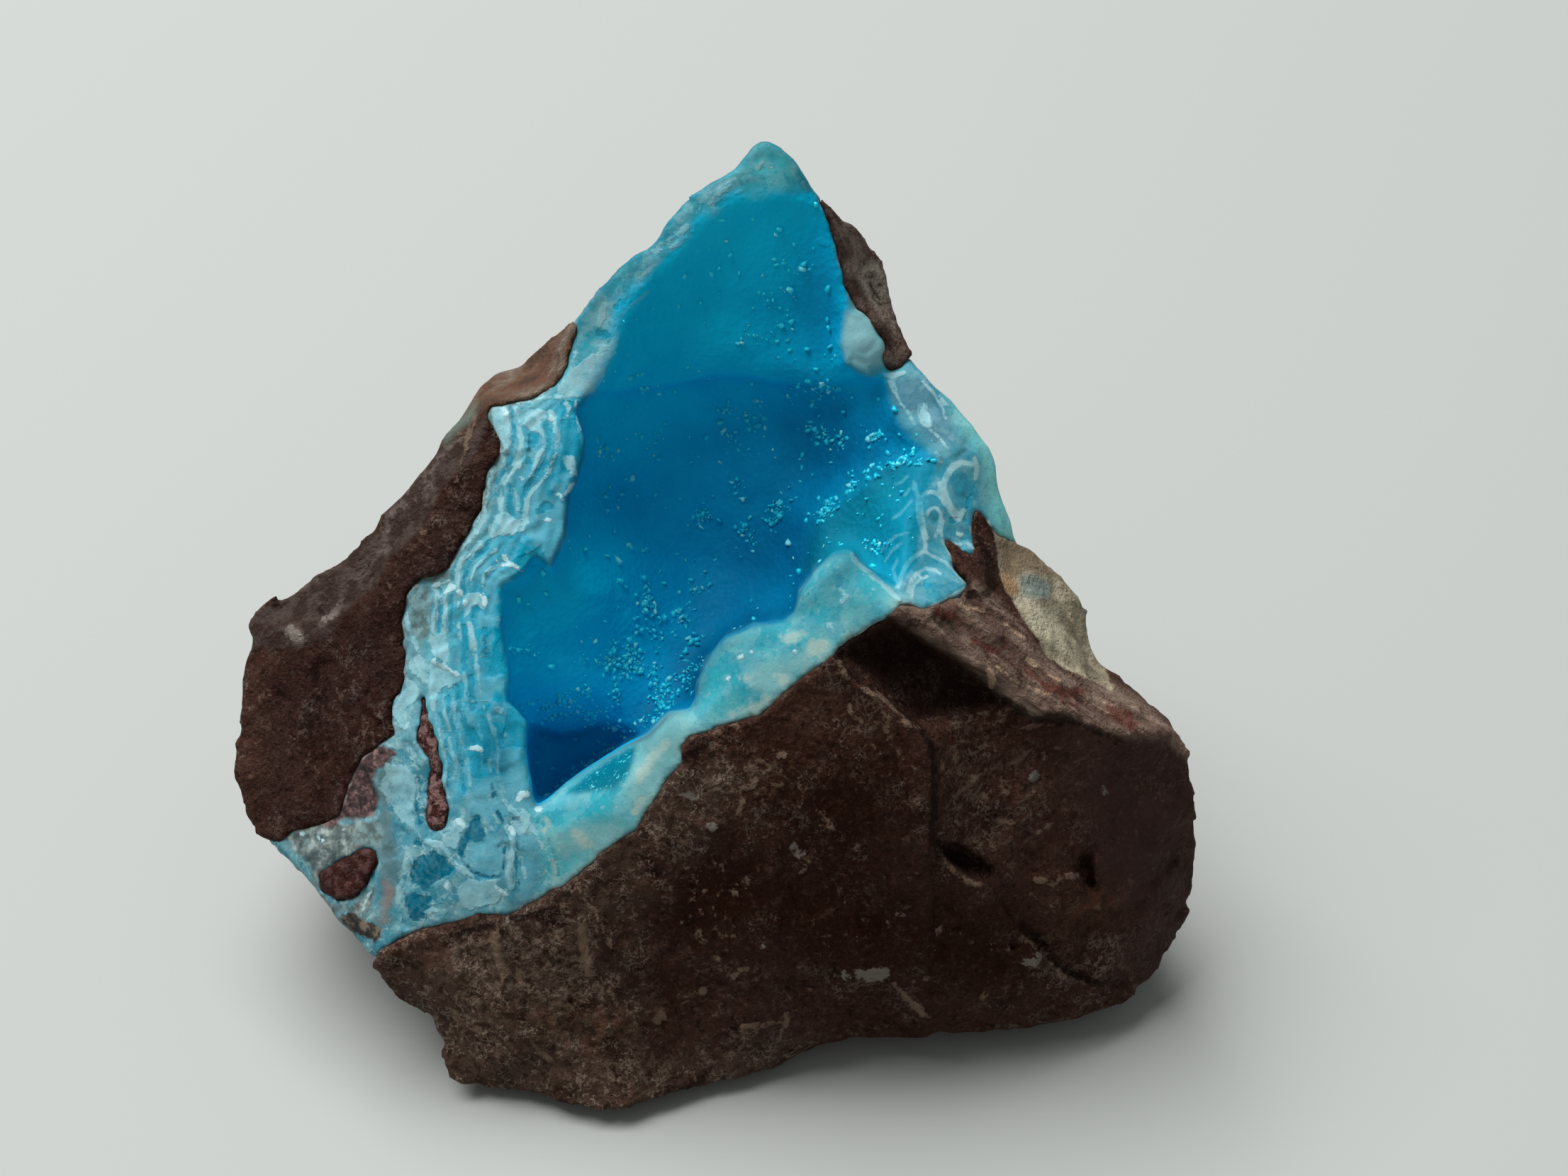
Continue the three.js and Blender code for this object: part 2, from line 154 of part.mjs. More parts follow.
const FORM_FACES = [
  [88,87,89], [83,82,81], [141,78,77], [77,142,141], [271,305,299], [299,272,271], [272,91,90], [78,141,79], [141,142,79], [142,301,79], [80,79,301], [81,80,301],
  [83,81,301], [301,305,83], [84,83,305], [85,84,305], [305,271,85], [86,85,271], [87,86,271], [89,87,271], [271,272,89], [272,90,89], [143,317,144], [74,318,75],
  [144,317,316], [302,144,145], [72,118,73], [73,118,74], [118,319,74], [318,74,319], [316,318,319], [302,145,146], [304,274,273], [92,273,274], [274,93,92], [75,318,76],
  [318,316,76], [316,317,76], [77,76,317], [142,77,317], [317,143,142], [301,142,143], [143,144,301], [144,302,301], [305,301,302], [299,305,302], [302,146,299], [146,147,299],
  [147,149,299], [149,300,299], [272,299,300], [300,304,272], [304,273,272], [91,272,273], [273,92,91], [303,154,155], [120,320,119], [320,313,315], [277,99,98], [100,160,161],
  [161,101,100], [321,121,322], [121,207,314], [207,311,314], [308,309,178], [157,158,276], [277,276,158], [99,277,160], [160,100,99], [66,65,67], [65,64,67], [68,67,64],
  [64,321,68], [69,68,321], [321,322,69], [70,69,322], [71,70,322], [119,71,322], [120,119,322], [322,121,120], [121,314,120], [320,120,314], [313,320,314], [314,311,313],
  [312,313,311], [311,310,312], [148,312,310], [310,309,150], [151,150,309], [309,308,151], [152,151,308], [153,152,308], [154,153,308], [155,154,308], [303,155,156], [275,303,156],
  [156,157,275], [157,276,275], [95,275,276], [96,95,276], [97,96,276], [276,277,97], [277,98,97], [71,119,72], [118,72,119], [319,118,119], [119,320,319], [320,315,319],
  [316,319,315], [144,316,315], [315,313,144], [313,312,144], [145,144,312], [146,145,312], [147,146,312], [312,148,147], [149,147,148], [148,310,149], [310,150,149], [300,149,150],
  [150,151,300], [304,300,151], [151,152,304], [152,153,304], [274,304,153], [153,154,274], [154,303,274], [303,275,274], [93,274,275], [94,93,275], [275,95,94], [179,180,181],
  [183,184,185], [62,324,63], [174,175,176], [159,306,162], [169,167,168], [105,166,106], [172,173,171], [168,167,163], [164,163,167], [104,165,166], [166,105,104], [324,62,61],
  [61,60,324], [123,122,323], [323,124,123], [208,123,124], [124,209,208], [209,220,208], [184,208,220], [185,184,220], [220,186,185], [183,185,186], [182,183,186], [186,187,182],
  [181,182,187], [175,174,173], [307,175,173], [173,172,307], [306,307,172], [172,171,306], [171,170,306], [170,169,306], [169,168,306], [162,306,168], [168,163,162], [102,162,163],
  [103,102,163], [163,164,103], [164,165,103], [165,104,103], [59,58,328], [325,126,125], [210,125,126], [126,127,210], [127,211,210], [211,222,210], [221,210,222], [222,211,188],
  [211,190,188], [190,189,188], [268,269,267], [109,108,267], [267,266,109], [266,110,109], [131,130,129], [129,130,212], [130,131,212], [212,131,213], [263,115,114], [131,129,132],
  [132,213,131], [213,193,192], [191,192,193], [193,194,191], [112,265,264], [113,112,264], [264,263,113], [263,114,113], [328,58,57], [57,56,328], [56,334,328], [334,327,328],
  [325,328,327], [327,326,325], [126,325,326], [127,126,326], [326,128,127], [211,127,128], [128,129,211], [129,212,211], [190,211,212], [212,191,190], [189,190,191], [110,266,265],
  [111,110,265], [265,112,111], [59,328,60], [324,60,328], [323,324,328], [328,325,323], [124,323,325], [325,125,124], [209,124,125], [125,210,209], [210,221,209], [220,209,221],
  [186,220,221], [187,186,221], [221,222,187], [222,188,187], [181,187,188], [188,189,181], [179,181,189], [174,179,189], [189,191,174], [191,194,174], [194,195,174], [173,174,195],
  [164,167,270], [165,164,270], [270,269,165], [166,165,269], [106,166,269], [269,268,106], [107,106,268], [268,267,107], [267,108,107], [63,324,64], [321,64,324], [324,323,321],
  [323,122,321], [121,321,122], [207,121,122], [122,123,207], [123,208,207], [311,207,208], [208,184,311], [184,183,311], [183,182,311], [310,311,182], [182,181,310], [181,180,310],
  [309,310,180], [180,179,309], [178,309,179], [179,174,178], [174,176,178], [176,177,178], [308,178,177], [155,308,177], [156,155,177], [177,176,156], [176,175,156], [157,156,175],
  [175,307,157], [158,157,307], [307,306,158], [306,159,158], [277,158,159], [160,277,159], [161,160,159], [159,162,161], [101,161,162], [162,102,101], [329,134,133], [214,133,134],
  [216,199,198], [199,200,198], [216,198,215], [214,134,135], [135,215,214], [196,214,215], [197,196,215], [215,198,197], [198,200,197], [116,262,261], [261,2,116], [2,1,116],
  [117,116,1], [1,0,117], [259,249,250], [249,259,258], [201,217,218], [202,201,218], [201,202,248], [257,5,256], [260,256,5], [4,260,5], [52,335,53], [332,53,335],
  [331,330,329], [134,329,330], [135,134,330], [330,136,135], [215,135,136], [216,215,136], [136,137,216], [137,138,216], [138,217,216], [199,216,217], [200,199,217], [217,201,200],
  [258,257,261], [257,256,261], [256,260,261], [260,4,261], [4,3,261], [2,261,3], [6,365,7], [252,367,251], [286,292,285], [247,253,254], [255,254,253], [253,252,255],
  [252,251,255], [9,8,366], [365,366,8], [7,365,8], [12,11,368], [224,278,225], [49,337,50], [278,224,140], [223,140,224], [206,223,224], [240,206,224], [243,244,242],
  [362,13,246], [368,246,13], [12,368,13], [333,51,50], [50,337,333], [287,293,286], [292,286,293], [293,278,292], [278,140,292], [139,292,140], [219,139,140], [140,223,219],
  [223,206,219], [205,219,206], [206,240,205], [204,205,240], [240,241,204], [242,244,245], [244,362,245], [362,246,245], [254,245,246], [247,254,246], [246,368,247], [253,247,368],
  [252,253,368], [368,11,252], [367,252,11], [11,10,367], [251,367,10], [366,251,10], [9,366,10], [335,52,51], [51,333,335], [332,335,333], [331,332,333], [333,291,331],
  [287,286,330], [136,330,286], [286,285,136], [137,136,285], [138,137,285], [285,292,138], [292,139,138], [217,138,139], [139,219,217], [218,217,219], [219,205,218], [205,204,218],
  [202,218,204], [203,202,204], [204,241,203], [241,242,203], [202,203,242], [242,245,202], [248,202,245], [245,254,248], [254,255,248], [249,248,255], [255,251,249], [250,249,251],
  [251,366,250], [259,250,366], [366,365,259], [258,259,365], [257,258,365], [365,6,257], [5,257,6], [227,356,228], [229,227,228], [228,231,229], [290,369,372], [356,227,226],
  [358,226,227], [227,229,358], [230,358,229], [229,231,230], [234,233,237], [237,236,234], [235,234,236], [22,21,239], [22,239,349], [238,349,239], [239,21,238], [349,238,232],
  [233,232,238], [237,233,238], [238,21,237], [21,20,237], [236,237,20], [20,19,236], [235,236,19], [363,235,19], [19,18,363], [364,363,18], [18,17,364], [47,343,48],
  [370,336,371], [372,370,371], [290,372,347], [289,290,347], [288,289,347], [294,288,347], [279,294,280], [280,357,279], [356,279,357], [349,232,228], [231,228,232], [232,233,231],
  [230,231,233], [233,234,230], [359,230,234], [234,235,359], [235,363,359], [360,359,363], [363,364,360], [361,360,364], [364,17,361], [17,16,361], [15,361,16], [29,28,351],
  [355,351,28], [28,27,355], [354,355,27], [27,26,354], [26,25,354], [24,354,25], [342,46,45], [341,342,297], [296,341,297], [338,296,297], [295,338,339], [351,355,350],
  [348,350,355], [355,354,348], [353,348,354], [354,24,353], [23,353,24], [344,43,42], [43,344,44], [352,282,283], [283,32,352], [32,31,352], [30,352,31], [346,41,40],
  [346,40,39], [39,38,346], [345,346,38], [38,37,345], [37,36,345], [36,35,345], [33,284,34], [344,42,41], [41,346,344], [340,344,346], [346,345,340], [298,340,345],
  [35,34,283], [34,284,283], [284,33,283], [32,283,33], [342,45,44], [44,344,342], [297,342,344], [344,340,297], [340,298,297], [338,297,298], [339,338,298], [298,345,339],
  [345,35,339], [35,283,339], [283,282,339], [295,339,282], [281,295,282], [282,352,281], [351,281,352], [29,351,352], [352,30,29], [343,47,46], [46,342,343], [342,341,343],
  [336,343,341], [371,336,341], [341,296,371], [296,338,371], [372,371,338], [347,372,338], [338,295,347], [294,347,295], [280,294,295], [295,281,280], [281,351,280], [351,350,280],
  [357,280,350], [350,348,357], [356,357,348], [228,356,348], [349,228,348], [348,353,349], [22,349,353], [353,23,22], [337,49,48], [48,343,337], [343,336,337], [333,337,336],
  [291,333,336], [336,370,291], [370,372,291], [372,369,291], [369,290,291], [331,291,290], [330,331,290], [290,289,330], [287,330,289], [289,288,287], [288,294,287], [293,287,294],
  [294,279,293], [278,293,279], [279,356,278], [225,278,356], [356,226,225], [224,225,226], [226,358,224], [240,224,358], [241,240,358], [358,230,241], [230,359,241], [242,241,359],
  [359,360,242], [243,242,360], [360,361,243], [244,243,361], [362,244,361], [361,15,362], [15,14,362], [13,362,14], [334,56,55], [55,54,334], [54,53,334], [53,332,334],
  [327,334,332], [332,331,327], [331,329,327], [326,327,329], [128,326,329], [129,128,329], [132,129,329], [329,133,132], [213,132,133], [133,214,213], [194,193,214], [195,194,214],
  [214,196,195], [173,195,196], [171,173,196], [196,197,171], [170,171,197], [197,200,170], [200,201,170], [169,170,201], [201,248,169], [167,169,248], [270,167,248], [269,270,248],
  [267,269,248], [266,267,248], [265,266,248], [248,249,265], [264,265,249], [249,258,264], [263,264,258], [258,261,263], [261,262,263], [115,263,262], [262,116,115], [192,191,213],
  [191,212,213], [193,213,214], [82,397,81], [397,82,83], [397,83,84], [397,84,85], [78,395,77], [444,398,399], [400,399,89], [89,90,400], [79,396,78], [396,79,80],
  [396,80,81], [81,443,396], [443,81,397], [397,444,443], [397,398,444], [398,397,85], [398,85,86], [86,399,398], [399,86,87], [399,87,88], [88,89,399], [76,394,75],
  [500,442,515], [74,440,73], [440,74,393], [440,393,485], [402,446,92], [92,93,402], [75,393,74], [393,75,394], [394,485,393], [485,394,441], [485,441,500], [516,500,515],
  [516,515,530], [446,91,401], [401,92,446], [92,401,91], [77,394,76], [77,441,394], [441,77,395], [395,500,441], [395,442,500], [442,395,78], [442,78,396], [396,515,442],
  [515,396,443], [443,530,515], [530,443,444], [444,544,530], [444,445,544], [445,444,399], [445,399,400], [400,446,445], [400,91,446], [91,400,90], [71,72,392], [392,439,71],
  [70,391,69], [391,70,71], [391,71,439], [531,532,517], [531,545,532], [448,403,95], [438,464,460], [558,559,546], [559,558,570], [449,404,97], [449,97,98], [98,405,449],
  [405,98,99], [99,100,405], [68,438,460], [438,68,69], [438,69,391], [391,464,438], [464,391,439], [464,439,472], [487,472,486], [486,502,487], [502,486,501], [502,501,517],
  [517,518,502], [518,517,532], [532,533,518], [532,546,533], [546,532,545], [545,558,546], [558,545,557], [558,557,569], [569,570,558], [569,580,570], [580,569,447], [580,447,403],
  [580,403,448], [448,404,449], [404,448,95], [404,95,96], [96,97,404], [73,392,72], [392,73,440], [440,439,392], [440,472,439], [440,486,472], [486,440,485], [485,501,486],
  [501,485,500], [501,500,516], [516,517,501], [516,531,517], [531,516,530], [531,530,544], [544,545,531], [544,557,545], [557,544,445], [557,445,446], [446,569,557], [446,447,569],
  [447,446,402], [447,402,93], [447,93,94], [94,403,447], [94,95,403], [62,63,437], [474,465,473], [473,488,474], [503,504,488], [503,519,504], [582,571,581], [581,590,582],
  [105,407,104], [408,106,107], [534,535,520], [534,548,535], [105,106,408], [61,436,60], [436,61,62], [436,62,437], [436,437,461], [466,461,465], [466,465,474], [489,474,488],
  [489,488,504], [504,505,489], [504,520,505], [520,504,519], [519,534,520], [547,548,534], [547,560,548], [571,572,560], [572,571,582], [591,582,590], [591,590,598], [598,599,591],
  [598,605,599], [605,598,450], [450,451,605], [451,450,406], [451,406,102], [451,102,103], [103,407,451], [103,104,407], [110,111,453], [476,467,475], [475,490,476], [562,549,561],
  [561,573,562], [452,611,606], [453,452,409], [409,110,453], [110,409,109], [56,57,434], [584,585,574], [584,593,585], [454,410,112], [112,411,454], [411,112,113], [113,114,411],
  [57,58,435], [435,434,57], [435,463,434], [463,435,462], [463,462,467], [467,468,463], [468,467,476], [491,476,490], [490,506,491], [521,522,506], [521,536,522], [549,550,536],
  [550,549,562], [562,563,550], [562,574,563], [574,562,573], [573,584,574], [584,573,583], [584,583,592], [592,593,584], [593,592,600], [607,600,606], [607,606,611], [615,611,452],
  [615,452,453], [410,453,111], [111,112,410], [59,435,58], [435,59,60], [435,60,436], [436,462,435], [462,436,461], [462,461,466], [466,467,462], [466,475,467], [475,466,474],
  [475,474,489], [489,490,475], [490,489,505], [505,506,490], [505,521,506], [521,505,520], [521,520,535], [535,536,521], [535,549,536], [549,535,548], [548,561,549], [561,548,560],
  [561,560,572], [572,573,561], [572,583,573], [583,572,582], [583,582,591], [591,592,583], [592,591,599], [599,600,592], [599,606,600], [606,599,605], [606,605,451], [451,452,606],
  [452,451,407], [452,407,105], [452,105,408], [452,408,107], [107,409,452], [409,107,108], [108,109,409], [64,437,63], [437,64,65], [437,65,66], [437,66,67], [437,67,68],
  [437,68,460], [460,461,437], [460,465,461], [465,460,464], [464,473,465], [473,464,472], [473,472,487], [487,488,473], [487,503,488], [503,487,502], [503,502,518], [518,519,503],
  [519,518,533], [533,534,519], [533,547,534], [547,533,546], [547,546,559], [559,560,547], [559,571,560], [571,559,570], [570,581,571], [581,570,580], [580,590,581], [590,580,448],
  [590,448,449], [449,598,590], [449,450,598], [450,449,405], [450,405,100], [100,406,450], [406,100,101], [101,102,406], [55,433,54], [412,458,115], [115,116,412], [373,413,457],
  [457,455,373], [456,2,459], [2,456,1], [413,456,459], [456,413,373], [456,373,455], [455,1,456], [1,455,0], [53,54,433], [478,469,477], [478,477,492], [492,493,478],
  [492,508,493], [508,492,507], [508,507,523], [523,524,508], [523,538,524], [538,523,537], [538,537,551], [594,595,586], [594,602,595], [602,594,601], [602,601,608], [608,609,602],
  [608,613,609], [613,608,612], [613,612,616], [616,617,613], [616,619,617], [619,616,618], [618,413,619], [413,458,412], [412,457,413], [457,412,116], [457,116,117], [117,455,457],
  [117,0,455], [374,3,4], [576,577,565], [576,587,577], [414,375,415], [414,5,375], [5,414,374], [5,374,4], [377,10,11], [50,51,431], [525,526,510], [525,540,526],
  [416,377,11], [376,8,9], [8,376,7], [52,431,51], [431,52,432], [431,432,470], [431,470,479], [479,480,431], [480,479,494], [494,495,480], [494,510,495], [510,494,509],
  [509,525,510], [539,540,525], [539,553,540], [553,539,552], [553,552,565], [565,566,553], [566,565,577], [577,578,566], [577,588,578], [588,577,587], [588,587,596], [604,596,603],
  [604,603,610], [416,610,614], [416,614,415], [415,377,416], [415,10,377], [415,9,10], [415,376,9], [376,415,375], [375,7,376], [375,6,7], [6,375,5], [53,432,52],
  [432,53,433], [432,433,469], [469,470,432], [470,469,478], [478,479,470], [479,478,493], [493,494,479], [493,509,494], [509,493,508], [509,508,524], [524,525,509], [524,539,525],
  [539,524,538], [538,552,539], [552,538,551], [552,551,564], [564,565,552], [564,576,565], [576,564,575], [576,575,586], [586,587,576], [587,586,595], [595,596,587], [595,603,596],
  [603,595,602], [603,602,609], [609,610,603], [609,614,610], [614,609,613], [614,613,617], [617,415,614], [415,617,619], [619,414,415], [414,619,413], [413,374,414], [374,413,459],
  [459,3,374], [3,459,2], [13,417,378], [13,378,12], [15,379,14], [48,49,430], [430,481,471], [555,541,554], [555,554,567], [417,379,418], [417,14,379], [14,417,13],
  [17,380,16], [22,23,382], [420,382,23], [420,22,382], [46,47,429], [419,22,420], [419,21,22], [419,20,21], [20,419,381], [381,19,20], [19,381,380], [380,18,19],
  [18,380,17], [48,429,47], [429,48,430], [429,430,471], [471,482,429], [482,471,481], [482,481,496], [496,497,482], [496,512,497], [512,496,511], [512,511,527], [527,528,512],
  [527,542,528], [542,527,541], [542,541,555], [555,556,542], [555,568,556], [568,555,567], [568,567,579], [579,420,568], [579,419,420], [419,579,589], [419,589,597], [419,597,418],
  [418,381,419], [418,380,381], [418,16,380], [16,418,379], [16,379,15], [422,30,385], [30,422,29], [44,45,428], [428,427,44], [427,428,483], [483,484,427], [484,483,498],
  [514,498,513], [514,513,529], [422,421,384], [384,29,422], [384,28,29], [384,27,28], [27,384,421], [27,421,383], [383,26,27], [383,25,26], [25,383,24], [423,386,424],
  [423,32,386], [39,40,390], [39,390,389], [389,38,39], [389,37,38], [388,36,37], [388,35,36], [387,34,35], [34,387,33], [41,390,40], [390,41,426], [426,389,390],
  [389,426,499], [389,499,425], [425,37,389], [425,388,37], [388,425,424], [424,35,388], [424,387,35], [387,424,386], [386,33,387], [33,386,32], [43,44,427], [427,42,43],
  [427,41,42], [427,426,41], [426,427,484], [484,499,426], [499,484,498], [499,498,514], [514,425,499], [514,424,425], [424,514,529], [529,423,424], [423,529,543], [423,543,422],
  [423,422,385], [385,32,423], [385,31,32], [31,385,30], [46,428,45], [428,46,429], [428,429,482], [482,483,428], [483,482,497], [497,498,483], [497,513,498], [513,497,512],
  [513,512,528], [528,529,513], [528,543,529], [543,528,542], [543,542,556], [556,422,543], [556,421,422], [421,556,568], [421,568,420], [420,383,421], [420,24,383], [24,420,23],
  [50,430,49], [430,50,431], [430,431,480], [480,481,430], [481,480,495], [495,496,481], [495,511,496], [511,495,510], [511,510,526], [526,527,511], [526,541,527], [541,526,540],
  [540,554,541], [554,540,553], [554,553,566], [566,567,554], [567,566,578], [578,579,567], [578,589,579], [589,578,588], [588,597,589], [597,588,596], [597,596,604], [604,418,597],
  [604,417,418], [417,604,610], [417,610,416], [416,378,417], [416,12,378], [12,416,11], [55,56,434], [434,433,55], [433,434,463], [433,463,468], [468,469,433], [468,477,469],
  [477,468,476], [477,476,491], [491,492,477], [491,507,492], [507,491,506], [507,506,522], [522,523,507], [522,537,523], [537,522,536], [537,536,550], [550,551,537], [551,550,563],
  [563,564,551], [563,575,564], [575,563,574], [575,574,585], [585,586,575], [585,594,586], [594,585,593], [593,601,594], [601,593,600], [601,600,607], [607,608,601], [607,612,608],
  [612,607,611], [612,611,615], [615,616,612], [615,618,616], [618,615,453], [618,453,410], [618,410,454], [454,413,618], [454,458,413], [458,454,411], [458,411,114], [114,115,458]
];

// ---- the hollow: [across, up, depth of its wall] ---------------------------
const HOLLOW = [
  [-0.97,34.35,-1.57], [2.66,33.99,-0.19], [3.57,32.05,1.7], [4.24,29.93,2.47], [4.9,27.51,2.87], [5.51,25.21,3.44],
  [5.45,22.97,4.28], [4.96,20.85,5.17], [5.21,19.22,5.37], [7.2,18.13,5.29], [8.72,18.61,4.44], [10.84,16.92,2.65],
  [10.53,14.5,2.24], [12.95,12.98,0.83], [13.86,10.87,-0.53], [12.35,8.44,-1.55], [11.74,5.42,-3.6], [11.56,2.39,-5.96],
  [10.23,0.58,-5.97], [9.44,-0.27,-5.38], [7.87,0.88,-0.79], [6.48,2.03,2.74], [5.75,3,4.12], [4.36,2.88,5.3],
  [2.78,1.6,7.25], [1.45,-0.27,8.87], [0.91,-2.15,8.72], [0,-2.94,9.3], [-2.6,-3.18,11.88], [-4.9,-4.21,13.04],
  [-6.3,-5.84,12.67], [-7.32,-8.14,11.37], [-7.45,-9.53,10.3], [-7.93,-10.44,9.59], [-9.75,-10.68,10.17], [-11.62,-12.44,9.81],
  [-13.68,-13.47,11.95], [-16.04,-15.04,13.83], [-18.52,-16.68,12.42], [-20.04,-18.07,10.61], [-21.13,-18.67,8.89], [-21.61,-17.71,9.83],
  [-22.09,-14.01,12.4], [-22.09,-11.53,10.39], [-23.61,-9.72,6.45], [-23.61,-7.23,4.78], [-24.21,-3.54,4.19], [-24.09,0.21,3.88],
  [-22.28,1.42,4.09], [-21.25,2.88,4.29], [-19.92,1.91,4.91], [-18.7,4.51,5.58], [-18.4,7.6,6.92], [-17.74,9.17,7.76],
  [-17.19,10.87,7.94], [-17.07,12.68,7.38], [-17.8,15.1,5.98], [-16.4,17.04,4.84], [-15.8,18.73,3.26], [-15.01,21.28,2.06],
  [-14.29,23.58,1.63], [-13.2,25.27,1.43], [-11.56,27.21,1.02], [-9.56,29.03,0.64], [-7.93,30.96,0.51], [-5.93,32.48,-0.34],
  [-4,33.57,-0.65], [-17.81,-13.11,15.37], [-19.41,-10.32,10.86], [-16.21,-10.32,11.64], [-13.01,-10.32,11.03], [-21.01,-7.54,6.79],
  [-17.81,-7.54,9.33], [-14.61,-7.54,11.08], [-11.41,-7.54,12.04], [-22.61,-4.75,4.95], [-19.41,-4.75,7.62], [-16.21,-4.75,9.83],
  [-13.01,-4.75,12.05], [-9.81,-4.75,13.48], [-21.01,-1.97,5.49], [-17.81,-1.97,7.35], [-14.61,-1.97,9.99], [-11.41,-1.97,13.5],
  [-8.21,-1.97,15.08], [-5.01,-1.97,14.39], [-16.21,0.81,8], [-13.01,0.81,12.25], [-9.81,0.81,15.35], [-6.61,0.81,15.95],
  [-3.41,0.81,14.52], [-0.21,0.81,11.36], [-14.61,3.6,11.45], [-11.41,3.6,14.75], [-8.21,3.6,16.1], [-5.01,3.6,15.72],
  [-1.81,3.6,14.02], [1.39,3.6,9.9], [7.79,3.6,1], [-16.21,6.38,9.74], [-13.01,6.38,13.87], [-9.81,6.38,15.26],
  [-6.61,6.38,15.36], [-3.41,6.38,14.69], [-0.21,6.38,12.97], [2.99,6.38,8.27], [6.19,6.38,4.8], [9.39,6.38,-0.36],
  [-14.61,9.17,11.61], [-11.41,9.17,14.02], [-8.21,9.17,14.41], [-5.01,9.17,14.21], [-1.81,9.17,13.4], [1.39,9.17,12.24],
  [4.59,9.17,7.97], [7.79,9.17,3.89], [-13.01,11.95,11.51], [-9.81,11.95,13.27], [-6.61,11.95,13.69], [-3.41,11.95,13.32],
  [-0.21,11.95,12.47], [2.99,11.95,11.16], [6.19,11.95,7.19], [9.39,11.95,3.73], [-14.61,14.73,8.05], [-11.41,14.73,10.84],
  [-8.21,14.73,12.12], [-5.01,14.73,12.45], [-1.81,14.73,12.25], [1.39,14.73,11.03], [4.59,14.73,8.99], [7.79,14.73,5.81],
  [-13.01,17.52,6.67], [-9.81,17.52,8.94], [-6.61,17.52,9.47], [-3.41,17.52,9.45], [-0.21,17.52,8.82], [2.99,17.52,7.2],
  [-11.41,20.3,5.49], [-8.21,20.3,6.79], [-5.01,20.3,6.82], [-1.81,20.3,6.83], [1.39,20.3,6.51], [-9.81,23.09,4.41],
  [-6.61,23.09,5.46], [-3.41,23.09,5.68], [-0.21,23.09,5.74], [2.99,23.09,5.17], [-8.21,25.87,3.36], [-5.01,25.87,4.29],
  [-1.81,25.87,4.32], [1.39,25.87,4.15], [-6.61,28.65,2.28], [-3.41,28.65,2.92], [-0.21,28.65,2.73], [2.99,28.65,2.82],
  [-1.81,31.44,1.17], [1.39,31.44,1.56]
];
